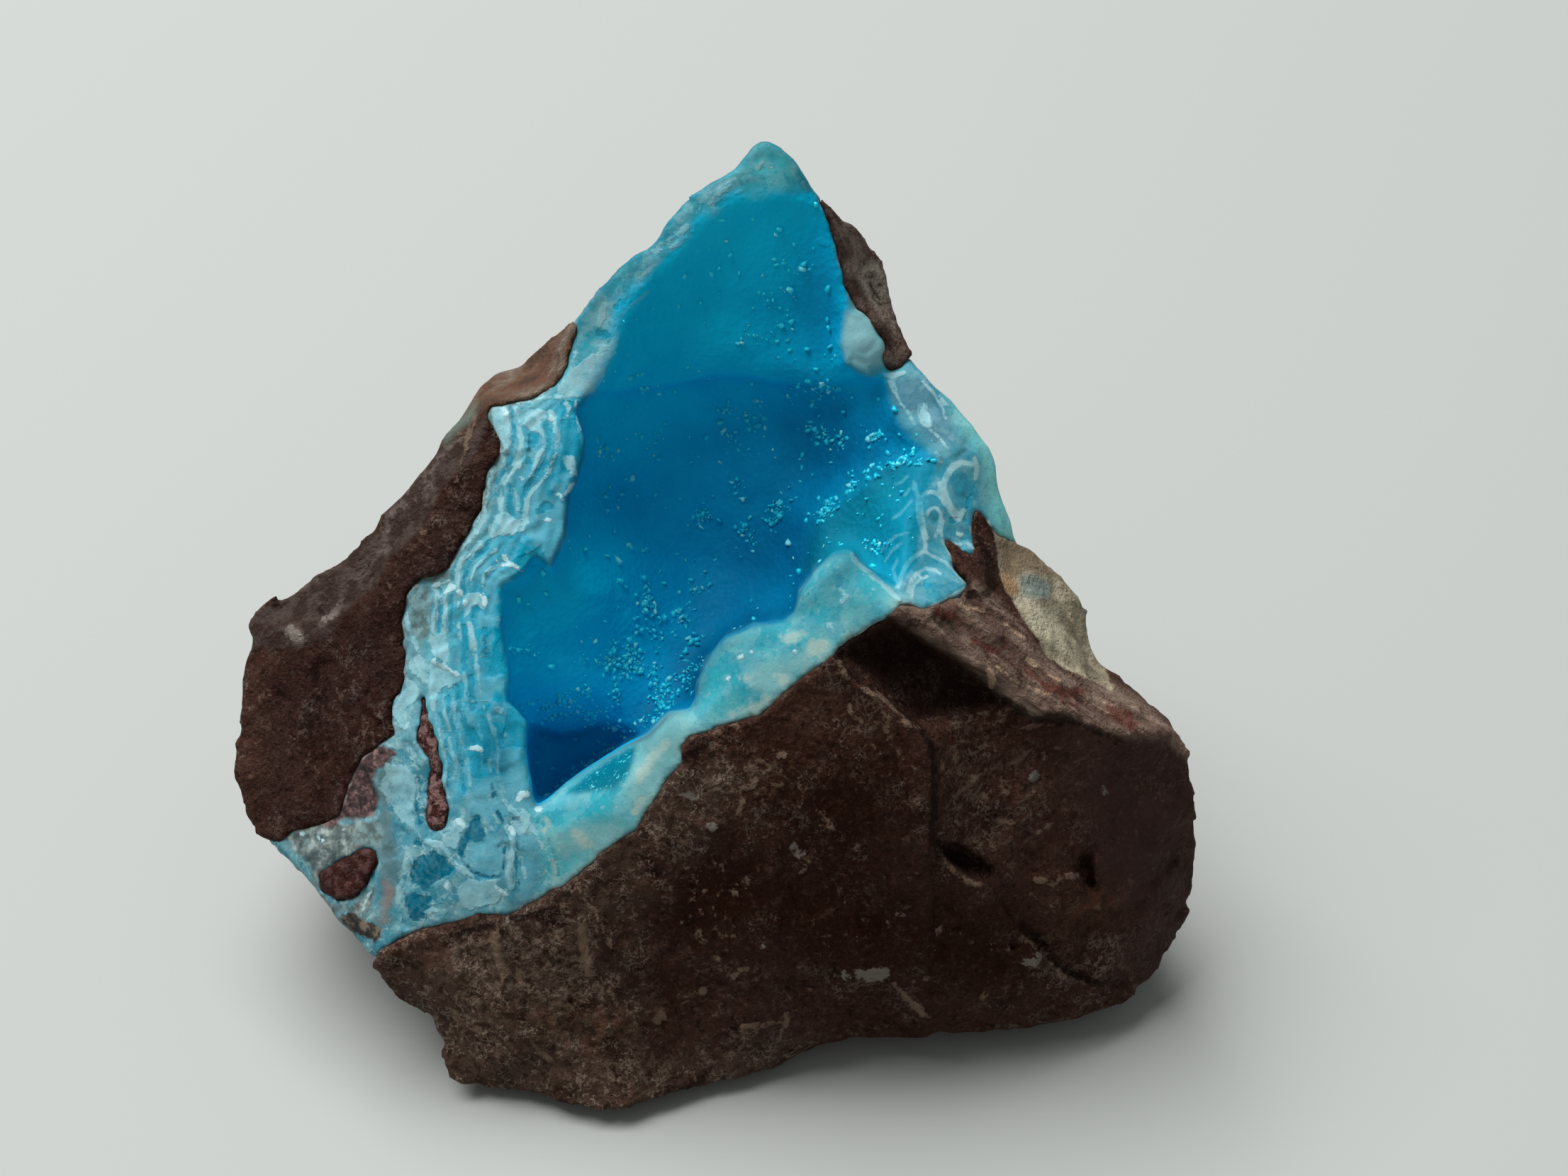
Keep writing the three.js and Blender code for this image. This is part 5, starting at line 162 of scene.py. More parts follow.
FORM_F = np.array([
    [88,87,89], [83,82,81], [141,78,77], [77,142,141], [271,305,299], [299,272,271], [272,91,90], [78,141,79], [141,142,79], [142,301,79], [80,79,301], [81,80,301], [83,81,301], [301,305,83],
    [84,83,305], [85,84,305], [305,271,85], [86,85,271], [87,86,271], [89,87,271], [271,272,89], [272,90,89], [143,317,144], [74,318,75], [144,317,316], [302,144,145], [72,118,73], [73,118,74],
    [118,319,74], [318,74,319], [316,318,319], [302,145,146], [304,274,273], [92,273,274], [274,93,92], [75,318,76], [318,316,76], [316,317,76], [77,76,317], [142,77,317], [317,143,142], [301,142,143],
    [143,144,301], [144,302,301], [305,301,302], [299,305,302], [302,146,299], [146,147,299], [147,149,299], [149,300,299], [272,299,300], [300,304,272], [304,273,272], [91,272,273], [273,92,91], [303,154,155],
    [120,320,119], [320,313,315], [277,99,98], [100,160,161], [161,101,100], [321,121,322], [121,207,314], [207,311,314], [308,309,178], [157,158,276], [277,276,158], [99,277,160], [160,100,99], [66,65,67],
    [65,64,67], [68,67,64], [64,321,68], [69,68,321], [321,322,69], [70,69,322], [71,70,322], [119,71,322], [120,119,322], [322,121,120], [121,314,120], [320,120,314], [313,320,314], [314,311,313],
    [312,313,311], [311,310,312], [148,312,310], [310,309,150], [151,150,309], [309,308,151], [152,151,308], [153,152,308], [154,153,308], [155,154,308], [303,155,156], [275,303,156], [156,157,275], [157,276,275],
    [95,275,276], [96,95,276], [97,96,276], [276,277,97], [277,98,97], [71,119,72], [118,72,119], [319,118,119], [119,320,319], [320,315,319], [316,319,315], [144,316,315], [315,313,144], [313,312,144],
    [145,144,312], [146,145,312], [147,146,312], [312,148,147], [149,147,148], [148,310,149], [310,150,149], [300,149,150], [150,151,300], [304,300,151], [151,152,304], [152,153,304], [274,304,153], [153,154,274],
    [154,303,274], [303,275,274], [93,274,275], [94,93,275], [275,95,94], [179,180,181], [183,184,185], [62,324,63], [174,175,176], [159,306,162], [169,167,168], [105,166,106], [172,173,171], [168,167,163],
    [164,163,167], [104,165,166], [166,105,104], [324,62,61], [61,60,324], [123,122,323], [323,124,123], [208,123,124], [124,209,208], [209,220,208], [184,208,220], [185,184,220], [220,186,185], [183,185,186],
    [182,183,186], [186,187,182], [181,182,187], [175,174,173], [307,175,173], [173,172,307], [306,307,172], [172,171,306], [171,170,306], [170,169,306], [169,168,306], [162,306,168], [168,163,162], [102,162,163],
    [103,102,163], [163,164,103], [164,165,103], [165,104,103], [59,58,328], [325,126,125], [210,125,126], [126,127,210], [127,211,210], [211,222,210], [221,210,222], [222,211,188], [211,190,188], [190,189,188],
    [268,269,267], [109,108,267], [267,266,109], [266,110,109], [131,130,129], [129,130,212], [130,131,212], [212,131,213], [263,115,114], [131,129,132], [132,213,131], [213,193,192], [191,192,193], [193,194,191],
    [112,265,264], [113,112,264], [264,263,113], [263,114,113], [328,58,57], [57,56,328], [56,334,328], [334,327,328], [325,328,327], [327,326,325], [126,325,326], [127,126,326], [326,128,127], [211,127,128],
    [128,129,211], [129,212,211], [190,211,212], [212,191,190], [189,190,191], [110,266,265], [111,110,265], [265,112,111], [59,328,60], [324,60,328], [323,324,328], [328,325,323], [124,323,325], [325,125,124],
    [209,124,125], [125,210,209], [210,221,209], [220,209,221], [186,220,221], [187,186,221], [221,222,187], [222,188,187], [181,187,188], [188,189,181], [179,181,189], [174,179,189], [189,191,174], [191,194,174],
    [194,195,174], [173,174,195], [164,167,270], [165,164,270], [270,269,165], [166,165,269], [106,166,269], [269,268,106], [107,106,268], [268,267,107], [267,108,107], [63,324,64], [321,64,324], [324,323,321],
    [323,122,321], [121,321,122], [207,121,122], [122,123,207], [123,208,207], [311,207,208], [208,184,311], [184,183,311], [183,182,311], [310,311,182], [182,181,310], [181,180,310], [309,310,180], [180,179,309],
    [178,309,179], [179,174,178], [174,176,178], [176,177,178], [308,178,177], [155,308,177], [156,155,177], [177,176,156], [176,175,156], [157,156,175], [175,307,157], [158,157,307], [307,306,158], [306,159,158],
    [277,158,159], [160,277,159], [161,160,159], [159,162,161], [101,161,162], [162,102,101], [329,134,133], [214,133,134], [216,199,198], [199,200,198], [216,198,215], [214,134,135], [135,215,214], [196,214,215],
    [197,196,215], [215,198,197], [198,200,197], [116,262,261], [261,2,116], [2,1,116], [117,116,1], [1,0,117], [259,249,250], [249,259,258], [201,217,218], [202,201,218], [201,202,248], [257,5,256],
    [260,256,5], [4,260,5], [52,335,53], [332,53,335], [331,330,329], [134,329,330], [135,134,330], [330,136,135], [215,135,136], [216,215,136], [136,137,216], [137,138,216], [138,217,216], [199,216,217],
    [200,199,217], [217,201,200], [258,257,261], [257,256,261], [256,260,261], [260,4,261], [4,3,261], [2,261,3], [6,365,7], [252,367,251], [286,292,285], [247,253,254], [255,254,253], [253,252,255],
    [252,251,255], [9,8,366], [365,366,8], [7,365,8], [12,11,368], [224,278,225], [49,337,50], [278,224,140], [223,140,224], [206,223,224], [240,206,224], [243,244,242], [362,13,246], [368,246,13],
    [12,368,13], [333,51,50], [50,337,333], [287,293,286], [292,286,293], [293,278,292], [278,140,292], [139,292,140], [219,139,140], [140,223,219], [223,206,219], [205,219,206], [206,240,205], [204,205,240],
    [240,241,204], [242,244,245], [244,362,245], [362,246,245], [254,245,246], [247,254,246], [246,368,247], [253,247,368], [252,253,368], [368,11,252], [367,252,11], [11,10,367], [251,367,10], [366,251,10],
    [9,366,10], [335,52,51], [51,333,335], [332,335,333], [331,332,333], [333,291,331], [287,286,330], [136,330,286], [286,285,136], [137,136,285], [138,137,285], [285,292,138], [292,139,138], [217,138,139],
    [139,219,217], [218,217,219], [219,205,218], [205,204,218], [202,218,204], [203,202,204], [204,241,203], [241,242,203], [202,203,242], [242,245,202], [248,202,245], [245,254,248], [254,255,248], [249,248,255],
    [255,251,249], [250,249,251], [251,366,250], [259,250,366], [366,365,259], [258,259,365], [257,258,365], [365,6,257], [5,257,6], [227,356,228], [229,227,228], [228,231,229], [290,369,372], [356,227,226],
    [358,226,227], [227,229,358], [230,358,229], [229,231,230], [234,233,237], [237,236,234], [235,234,236], [22,21,239], [22,239,349], [238,349,239], [239,21,238], [349,238,232], [233,232,238], [237,233,238],
    [238,21,237], [21,20,237], [236,237,20], [20,19,236], [235,236,19], [363,235,19], [19,18,363], [364,363,18], [18,17,364], [47,343,48], [370,336,371], [372,370,371], [290,372,347], [289,290,347],
    [288,289,347], [294,288,347], [279,294,280], [280,357,279], [356,279,357], [349,232,228], [231,228,232], [232,233,231], [230,231,233], [233,234,230], [359,230,234], [234,235,359], [235,363,359], [360,359,363],
    [363,364,360], [361,360,364], [364,17,361], [17,16,361], [15,361,16], [29,28,351], [355,351,28], [28,27,355], [354,355,27], [27,26,354], [26,25,354], [24,354,25], [342,46,45], [341,342,297],
    [296,341,297], [338,296,297], [295,338,339], [351,355,350], [348,350,355], [355,354,348], [353,348,354], [354,24,353], [23,353,24], [344,43,42], [43,344,44], [352,282,283], [283,32,352], [32,31,352],
    [30,352,31], [346,41,40], [346,40,39], [39,38,346], [345,346,38], [38,37,345], [37,36,345], [36,35,345], [33,284,34], [344,42,41], [41,346,344], [340,344,346], [346,345,340], [298,340,345],
    [35,34,283], [34,284,283], [284,33,283], [32,283,33], [342,45,44], [44,344,342], [297,342,344], [344,340,297], [340,298,297], [338,297,298], [339,338,298], [298,345,339], [345,35,339], [35,283,339],
    [283,282,339], [295,339,282], [281,295,282], [282,352,281], [351,281,352], [29,351,352], [352,30,29], [343,47,46], [46,342,343], [342,341,343], [336,343,341], [371,336,341], [341,296,371], [296,338,371],
    [372,371,338], [347,372,338], [338,295,347], [294,347,295], [280,294,295], [295,281,280], [281,351,280], [351,350,280], [357,280,350], [350,348,357], [356,357,348], [228,356,348], [349,228,348], [348,353,349],
    [22,349,353], [353,23,22], [337,49,48], [48,343,337], [343,336,337], [333,337,336], [291,333,336], [336,370,291], [370,372,291], [372,369,291], [369,290,291], [331,291,290], [330,331,290], [290,289,330],
    [287,330,289], [289,288,287], [288,294,287], [293,287,294], [294,279,293], [278,293,279], [279,356,278], [225,278,356], [356,226,225], [224,225,226], [226,358,224], [240,224,358], [241,240,358], [358,230,241],
    [230,359,241], [242,241,359], [359,360,242], [243,242,360], [360,361,243], [244,243,361], [362,244,361], [361,15,362], [15,14,362], [13,362,14], [334,56,55], [55,54,334], [54,53,334], [53,332,334],
    [327,334,332], [332,331,327], [331,329,327], [326,327,329], [128,326,329], [129,128,329], [132,129,329], [329,133,132], [213,132,133], [133,214,213], [194,193,214], [195,194,214], [214,196,195], [173,195,196],
    [171,173,196], [196,197,171], [170,171,197], [197,200,170], [200,201,170], [169,170,201], [201,248,169], [167,169,248], [270,167,248], [269,270,248], [267,269,248], [266,267,248], [265,266,248], [248,249,265],
    [264,265,249], [249,258,264], [263,264,258], [258,261,263], [261,262,263], [115,263,262], [262,116,115], [192,191,213], [191,212,213], [193,213,214], [82,397,81], [397,82,83], [397,83,84], [397,84,85],
    [78,395,77], [444,398,399], [400,399,89], [89,90,400], [79,396,78], [396,79,80], [396,80,81], [81,443,396], [443,81,397], [397,444,443], [397,398,444], [398,397,85], [398,85,86], [86,399,398],
    [399,86,87], [399,87,88], [88,89,399], [76,394,75], [500,442,515], [74,440,73], [440,74,393], [440,393,485], [402,446,92], [92,93,402], [75,393,74], [393,75,394], [394,485,393], [485,394,441],
    [485,441,500], [516,500,515], [516,515,530], [446,91,401], [401,92,446], [92,401,91], [77,394,76], [77,441,394], [441,77,395], [395,500,441], [395,442,500], [442,395,78], [442,78,396], [396,515,442],
    [515,396,443], [443,530,515], [530,443,444], [444,544,530], [444,445,544], [445,444,399], [445,399,400], [400,446,445], [400,91,446], [91,400,90], [71,72,392], [392,439,71], [70,391,69], [391,70,71],
    [391,71,439], [531,532,517], [531,545,532], [448,403,95], [438,464,460], [558,559,546], [559,558,570], [449,404,97], [449,97,98], [98,405,449], [405,98,99], [99,100,405], [68,438,460], [438,68,69],
    [438,69,391], [391,464,438], [464,391,439], [464,439,472], [487,472,486], [486,502,487], [502,486,501], [502,501,517], [517,518,502], [518,517,532], [532,533,518], [532,546,533], [546,532,545], [545,558,546],
    [558,545,557], [558,557,569], [569,570,558], [569,580,570], [580,569,447], [580,447,403], [580,403,448], [448,404,449], [404,448,95], [404,95,96], [96,97,404], [73,392,72], [392,73,440], [440,439,392],
    [440,472,439], [440,486,472], [486,440,485], [485,501,486], [501,485,500], [501,500,516], [516,517,501], [516,531,517], [531,516,530], [531,530,544], [544,545,531], [544,557,545], [557,544,445], [557,445,446],
    [446,569,557], [446,447,569], [447,446,402], [447,402,93], [447,93,94], [94,403,447], [94,95,403], [62,63,437], [474,465,473], [473,488,474], [503,504,488], [503,519,504], [582,571,581], [581,590,582],
    [105,407,104], [408,106,107], [534,535,520], [534,548,535], [105,106,408], [61,436,60], [436,61,62], [436,62,437], [436,437,461], [466,461,465], [466,465,474], [489,474,488], [489,488,504], [504,505,489],
    [504,520,505], [520,504,519], [519,534,520], [547,548,534], [547,560,548], [571,572,560], [572,571,582], [591,582,590], [591,590,598], [598,599,591], [598,605,599], [605,598,450], [450,451,605], [451,450,406],
    [451,406,102], [451,102,103], [103,407,451], [103,104,407], [110,111,453], [476,467,475], [475,490,476], [562,549,561], [561,573,562], [452,611,606], [453,452,409], [409,110,453], [110,409,109], [56,57,434],
    [584,585,574], [584,593,585], [454,410,112], [112,411,454], [411,112,113], [113,114,411], [57,58,435], [435,434,57], [435,463,434], [463,435,462], [463,462,467], [467,468,463], [468,467,476], [491,476,490],
    [490,506,491], [521,522,506], [521,536,522], [549,550,536], [550,549,562], [562,563,550], [562,574,563], [574,562,573], [573,584,574], [584,573,583], [584,583,592], [592,593,584], [593,592,600], [607,600,606],
    [607,606,611], [615,611,452], [615,452,453], [410,453,111], [111,112,410], [59,435,58], [435,59,60], [435,60,436], [436,462,435], [462,436,461], [462,461,466], [466,467,462], [466,475,467], [475,466,474],
    [475,474,489], [489,490,475], [490,489,505], [505,506,490], [505,521,506], [521,505,520], [521,520,535], [535,536,521], [535,549,536], [549,535,548], [548,561,549], [561,548,560], [561,560,572], [572,573,561],
    [572,583,573], [583,572,582], [583,582,591], [591,592,583], [592,591,599], [599,600,592], [599,606,600], [606,599,605], [606,605,451], [451,452,606], [452,451,407], [452,407,105], [452,105,408], [452,408,107],
    [107,409,452], [409,107,108], [108,109,409], [64,437,63], [437,64,65], [437,65,66], [437,66,67], [437,67,68], [437,68,460], [460,461,437], [460,465,461], [465,460,464], [464,473,465], [473,464,472],
    [473,472,487], [487,488,473], [487,503,488], [503,487,502], [503,502,518], [518,519,503], [519,518,533], [533,534,519], [533,547,534], [547,533,546], [547,546,559], [559,560,547], [559,571,560], [571,559,570],
    [570,581,571], [581,570,580], [580,590,581], [590,580,448], [590,448,449], [449,598,590], [449,450,598], [450,449,405], [450,405,100], [100,406,450], [406,100,101], [101,102,406], [55,433,54], [412,458,115],
    [115,116,412], [373,413,457], [457,455,373], [456,2,459], [2,456,1], [413,456,459], [456,413,373], [456,373,455], [455,1,456], [1,455,0], [53,54,433], [478,469,477], [478,477,492], [492,493,478],
    [492,508,493], [508,492,507], [508,507,523], [523,524,508], [523,538,524], [538,523,537], [538,537,551], [594,595,586], [594,602,595], [602,594,601], [602,601,608], [608,609,602], [608,613,609], [613,608,612],
    [613,612,616], [616,617,613], [616,619,617], [619,616,618], [618,413,619], [413,458,412], [412,457,413], [457,412,116], [457,116,117], [117,455,457], [117,0,455], [374,3,4], [576,577,565], [576,587,577],
    [414,375,415], [414,5,375], [5,414,374], [5,374,4], [377,10,11], [50,51,431], [525,526,510], [525,540,526], [416,377,11], [376,8,9], [8,376,7], [52,431,51], [431,52,432], [431,432,470],
    [431,470,479], [479,480,431], [480,479,494], [494,495,480], [494,510,495], [510,494,509], [509,525,510], [539,540,525], [539,553,540], [553,539,552], [553,552,565], [565,566,553], [566,565,577], [577,578,566],
    [577,588,578], [588,577,587], [588,587,596], [604,596,603], [604,603,610], [416,610,614], [416,614,415], [415,377,416], [415,10,377], [415,9,10], [415,376,9], [376,415,375], [375,7,376], [375,6,7],
    [6,375,5], [53,432,52], [432,53,433], [432,433,469], [469,470,432], [470,469,478], [478,479,470], [479,478,493], [493,494,479], [493,509,494], [509,493,508], [509,508,524], [524,525,509], [524,539,525],
    [539,524,538], [538,552,539], [552,538,551], [552,551,564], [564,565,552], [564,576,565], [576,564,575], [576,575,586], [586,587,576], [587,586,595], [595,596,587], [595,603,596], [603,595,602], [603,602,609],
    [609,610,603], [609,614,610], [614,609,613], [614,613,617], [617,415,614], [415,617,619], [619,414,415], [414,619,413], [413,374,414], [374,413,459], [459,3,374], [3,459,2], [13,417,378], [13,378,12],
    [15,379,14], [48,49,430], [430,481,471], [555,541,554], [555,554,567], [417,379,418], [417,14,379], [14,417,13], [17,380,16], [22,23,382], [420,382,23], [420,22,382], [46,47,429], [419,22,420],
    [419,21,22], [419,20,21], [20,419,381], [381,19,20], [19,381,380], [380,18,19], [18,380,17], [48,429,47], [429,48,430], [429,430,471], [471,482,429], [482,471,481], [482,481,496], [496,497,482],
    [496,512,497], [512,496,511], [512,511,527], [527,528,512], [527,542,528], [542,527,541], [542,541,555], [555,556,542], [555,568,556], [568,555,567], [568,567,579], [579,420,568], [579,419,420], [419,579,589],
    [419,589,597], [419,597,418], [418,381,419], [418,380,381], [418,16,380], [16,418,379], [16,379,15], [422,30,385], [30,422,29], [44,45,428], [428,427,44], [427,428,483], [483,484,427], [484,483,498],
    [514,498,513], [514,513,529], [422,421,384], [384,29,422], [384,28,29], [384,27,28], [27,384,421], [27,421,383], [383,26,27], [383,25,26], [25,383,24], [423,386,424], [423,32,386], [39,40,390],
    [39,390,389], [389,38,39], [389,37,38], [388,36,37], [388,35,36], [387,34,35], [34,387,33], [41,390,40], [390,41,426], [426,389,390], [389,426,499], [389,499,425], [425,37,389], [425,388,37],
    [388,425,424], [424,35,388], [424,387,35], [387,424,386], [386,33,387], [33,386,32], [43,44,427], [427,42,43], [427,41,42], [427,426,41], [426,427,484], [484,499,426], [499,484,498], [499,498,514],
    [514,425,499], [514,424,425], [424,514,529], [529,423,424], [423,529,543], [423,543,422], [423,422,385], [385,32,423], [385,31,32], [31,385,30], [46,428,45], [428,46,429], [428,429,482], [482,483,428],
    [483,482,497], [497,498,483], [497,513,498], [513,497,512], [513,512,528], [528,529,513], [528,543,529], [543,528,542], [543,542,556], [556,422,543], [556,421,422], [421,556,568], [421,568,420], [420,383,421],
    [420,24,383], [24,420,23], [50,430,49], [430,50,431], [430,431,480], [480,481,430], [481,480,495], [495,496,481], [495,511,496], [511,495,510], [511,510,526], [526,527,511], [526,541,527], [541,526,540],
    [540,554,541], [554,540,553], [554,553,566], [566,567,554], [567,566,578], [578,579,567], [578,589,579], [589,578,588], [588,597,589], [597,588,596], [597,596,604], [604,418,597], [604,417,418], [417,604,610],
    [417,610,416], [416,378,417], [416,12,378], [12,416,11], [55,56,434], [434,433,55], [433,434,463], [433,463,468], [468,469,433], [468,477,469], [477,468,476], [477,476,491], [491,492,477], [491,507,492],
    [507,491,506], [507,506,522], [522,523,507], [522,537,523], [537,522,536], [537,536,550], [550,551,537], [551,550,563], [563,564,551], [563,575,564], [575,563,574], [575,574,585], [585,586,575], [585,594,586],
    [594,585,593], [593,601,594], [601,593,600], [601,600,607], [607,608,601], [607,612,608], [612,607,611], [612,611,615], [615,616,612], [615,618,616], [618,615,453], [618,453,410], [618,410,454], [454,413,618],
    [454,458,413], [458,454,411], [458,411,114], [114,115,458]
], dtype=np.uint32)
N_FRONT = 626
HOLLOW_LINE = [
    [-0.97,34.35], [2.66,33.99], [3.57,32.05], [4.24,29.93], [4.9,27.51], [5.51,25.21], [5.45,22.97], [4.96,20.85], [5.21,19.22], [7.2,18.13],
    [8.72,18.61], [10.84,16.92], [10.53,14.5], [12.95,12.98], [13.86,10.87], [12.35,8.44], [11.74,5.42], [11.56,2.39], [10.23,0.58], [9.44,-0.27],
    [7.87,0.88], [6.48,2.03], [5.75,3], [4.36,2.88], [2.78,1.6], [1.45,-0.27], [0.91,-2.15], [0,-2.94], [-2.6,-3.18], [-4.9,-4.21],
    [-6.3,-5.84], [-7.32,-8.14], [-7.45,-9.53], [-7.93,-10.44], [-9.75,-10.68], [-11.62,-12.44], [-13.68,-13.47], [-16.04,-15.04], [-18.52,-16.68], [-20.04,-18.07],
    [-21.13,-18.67], [-21.61,-17.71], [-22.09,-14.01], [-22.09,-11.53], [-23.61,-9.72], [-23.61,-7.23], [-24.21,-3.54], [-24.09,0.21], [-22.28,1.42], [-21.25,2.88],
    [-19.92,1.91], [-18.7,4.51], [-18.4,7.6], [-17.74,9.17], [-17.19,10.87], [-17.07,12.68], [-17.8,15.1], [-16.4,17.04], [-15.8,18.73], [-15.01,21.28],
    [-14.29,23.58], [-13.2,25.27], [-11.56,27.21], [-9.56,29.03], [-7.93,30.96], [-5.93,32.48], [-4,33.57]
]
BED_LINE = [
    [-1.69,41.13], [2.66,37.2], [4.18,34.35], [3.15,32.96], [3.57,31.75], [4.36,29.33], [4.96,27.21], [5.63,24.91], [6.11,24], [7.63,22.61],
    [8.54,21.28], [8.72,20.13], [8.54,19.16], [9.08,18.67], [9.81,18.86], [10.53,19.64], [12.35,20.25], [17.8,16.01], [20.82,11.47], [21.55,6.63],
    [22.03,4.09], [20.22,3.48], [19.01,4.09], [18.04,4.45], [17.55,5.3], [17.01,6.08], [16.34,6.51], [16.04,4.81], [16.22,3.9], [16.46,2.51],
    [15.68,2.81], [13.68,4.21], [14.47,2.09], [15.8,0.27], [14.47,-1.12], [13.26,-1.36], [11.92,-2.33], [10.84,-1.42], [9.93,-1.36], [9.38,-2.33],
    [7.14,-3.48], [5.51,-4.45], [4.12,-6.08], [2.06,-7.48], [-0.24,-9.29], [-2.12,-11.17], [-4.18,-11.47], [-6.05,-12.2], [-7.93,-12.8], [-8.6,-13.71],
    [-8.6,-14.86], [-9.75,-16.5], [-11.62,-19.04], [-12.59,-20.67], [-15.38,-22.67], [-17.86,-24.91], [-21.13,-26.66], [-23.37,-28], [-25.91,-27.94], [-28.39,-28.66],
    [-31.66,-29.45], [-34.44,-31.2], [-35.47,-32.72], [-38.5,-30.9], [-42.43,-27.27], [-46.07,-23.34], [-46.67,-21.22], [-42.92,-21.46], [-41.71,-20.49], [-39.71,-20.19],
    [-38.01,-19.28], [-37.29,-16.98], [-36.38,-14.86], [-34.87,-13.47], [-33.35,-12.5], [-33.66,-10.44], [-32.45,-7.84], [-32.45,-4.75], [-32.75,-2.88], [-32.26,-0.45],
    [-31.05,0.82], [-28.69,1.73], [-27.18,4.51], [-25.91,6.69], [-25.48,9.78], [-24.09,11.77], [-25.48,14.68], [-24.88,15.65], [-21.85,16.19], [-19.73,17.22],
    [-18.52,19.04], [-18.22,20.55], [-17.8,22.06], [-18.22,23.58], [-19.13,24.49], [-17.31,27.81], [-13.08,32.05], [-10.65,35.68], [-5.81,38.11]
]
WALL = np.array([
    [-0.97,34.35,-1.6], [2.66,33.99,-0.2], [2.66,32.54,1.2], [-0.36,32.66,0.35], [-3.69,32.54,0.4], [-4,33.75,-0.8], [-5.93,32.48,-0.4], [-5.51,31.57,0.8],
    [-7.32,30.05,1.2], [-8.84,28.06,1.6], [-9.56,29.03,0.6], [-11.56,27.21,1], [-10.65,26.24,2], [-12.17,24.18,2.4], [-13.44,22.67,2.7], [-14.29,23.58,1.6],
    [-15.01,21.28,2], [-13.92,20.79,3.2], [-15.25,18.25,4], [-15.8,18.73,3.2], [3.57,31.57,2], [4.36,29.15,2.6], [4.96,26.91,3], [5.45,24.79,3.6],
    [5.08,22.97,4.4], [4.48,19.95,5.6], [5.39,18.73,5.4], [-0.36,30.24,1.8], [-3.39,29.63,2.4], [-0.97,26,4.2], [-6.42,24.18,5], [2.06,26,4],
    [-0.36,21.16,6.6], [-8.84,19.95,7], [3.27,22.37,5.4], [-12.47,17.83,6.8], [-6.42,18.61,8], [-1.57,18.31,8], [2.66,17.65,7.2], [5.69,17.22,6.2],
    [-14.89,17.22,5.4], [-6.42,16.56,10.8], [-1.57,16.31,11], [2.66,15.41,9.8], [5.69,15.1,8], [-12.17,15.83,9.4], [-15.5,15.1,7], [-8.41,8.44,14.6],
    [-3.39,8.44,14], [-13.68,8.44,13], [-8.84,1.79,16], [-2.78,2.39,14.5], [0.85,4.81,11.5], [-0.36,10.87,12.5], [1.45,9.05,12.2], [-15.86,-0.88,8.2],
    [-18.52,-5.48,8.6], [-20.34,-2.45,6.2], [-22.76,-1.24,4.2], [-15.5,4.81,10.8], [-17.31,6.63,8], [-17.8,4.21,6.4], [-16.4,11.47,8.4], [-22.76,-7.29,5.2],
    [-22.46,-4.27,5], [-19.13,1.79,5.4], [-14.29,-6.08,11.4], [-10.65,-2.45,14], [-8.84,-6.69,12.5], [-18.52,-9.72,10.2], [-14.89,-10.62,11.4], [-21.85,-10.32,8.8],
    [-12.47,-10.32,11], [-20.64,-13.04,14.5], [-18.52,-13.35,15.6], [-15.5,-13.04,14.5], [-12.77,-12.44,10.5], [-20.64,-16.37,13], [-18.52,-15.47,13.5], [3.39,3.36,6.2],
    [5.39,6.63,5.8], [2.66,5.72,8.2], [6.05,8.87,5.6], [7.69,10.56,4.8], [12.11,11.41,1.4], [9.62,10.87,3.2], [8.72,12.98,4.6], [5.69,12.68,8],
    [2.66,11.47,11.5], [8.11,17.52,5.2], [9.44,16.31,4], [10.84,16.92,2.6], [10.53,14.5,2.2], [12.95,12.98,0.8], [11.74,12.2,1.6], [13.86,10.87,-0.6],
    [12.35,8.44,-1.6], [11.74,5.42,-3.6], [11.56,2.39,-6], [10.23,7.84,0.2], [9.44,5.42,-1.6], [8.11,5.42,1.6], [8.11,2.39,-0.6], [9.44,1.79,-4],
    [6.6,3.6,3.4], [2.06,-0.64,8], [-2.78,-2.45,12.5], [-6.42,-5.48,13], [-7.93,-9.72,10.5], [9.44,-0.27,-5.5], [7.2,-0.33,1], [-1.69,41.13,-2.5],
    [13.56,16.31,3.5], [17.8,12.68,4.5], [20.82,7.84,6], [15.98,7.84,2], [19.01,4.21,4.5], [14.47,0.58,-2], [11.74,-1.85,-4], [4.48,-6.08,2],
    [-6.42,-12.14,6], [-10.65,-17.58,8], [-16.71,-22.43,5], [-22.15,-25.45,2], [-28.21,-27.27,1.5], [-34.26,-30.3,2], [-36.68,-32.11,3.5], [-42.74,-26.66,8],
    [-46.37,-21.82,10], [-39.71,-22.43,5], [-35.47,-16.37,4.2], [-33.05,-10.32,5], [-33.05,-4.27,5.6], [-30.63,1.18,5.6], [-25.18,7.84,5.4], [-24.58,13.89,6],
    [-20.94,16.31,6], [-17.92,21.16,4.5], [-18.52,24.79,3.4], [-13.08,31.45,2.4], [-6.42,38.11,0], [-28.21,-21.22,3.4], [-27.6,-13.35,4], [-28.21,-4.27,4.6],
    [-24.58,-18.19,4.5]
], float)
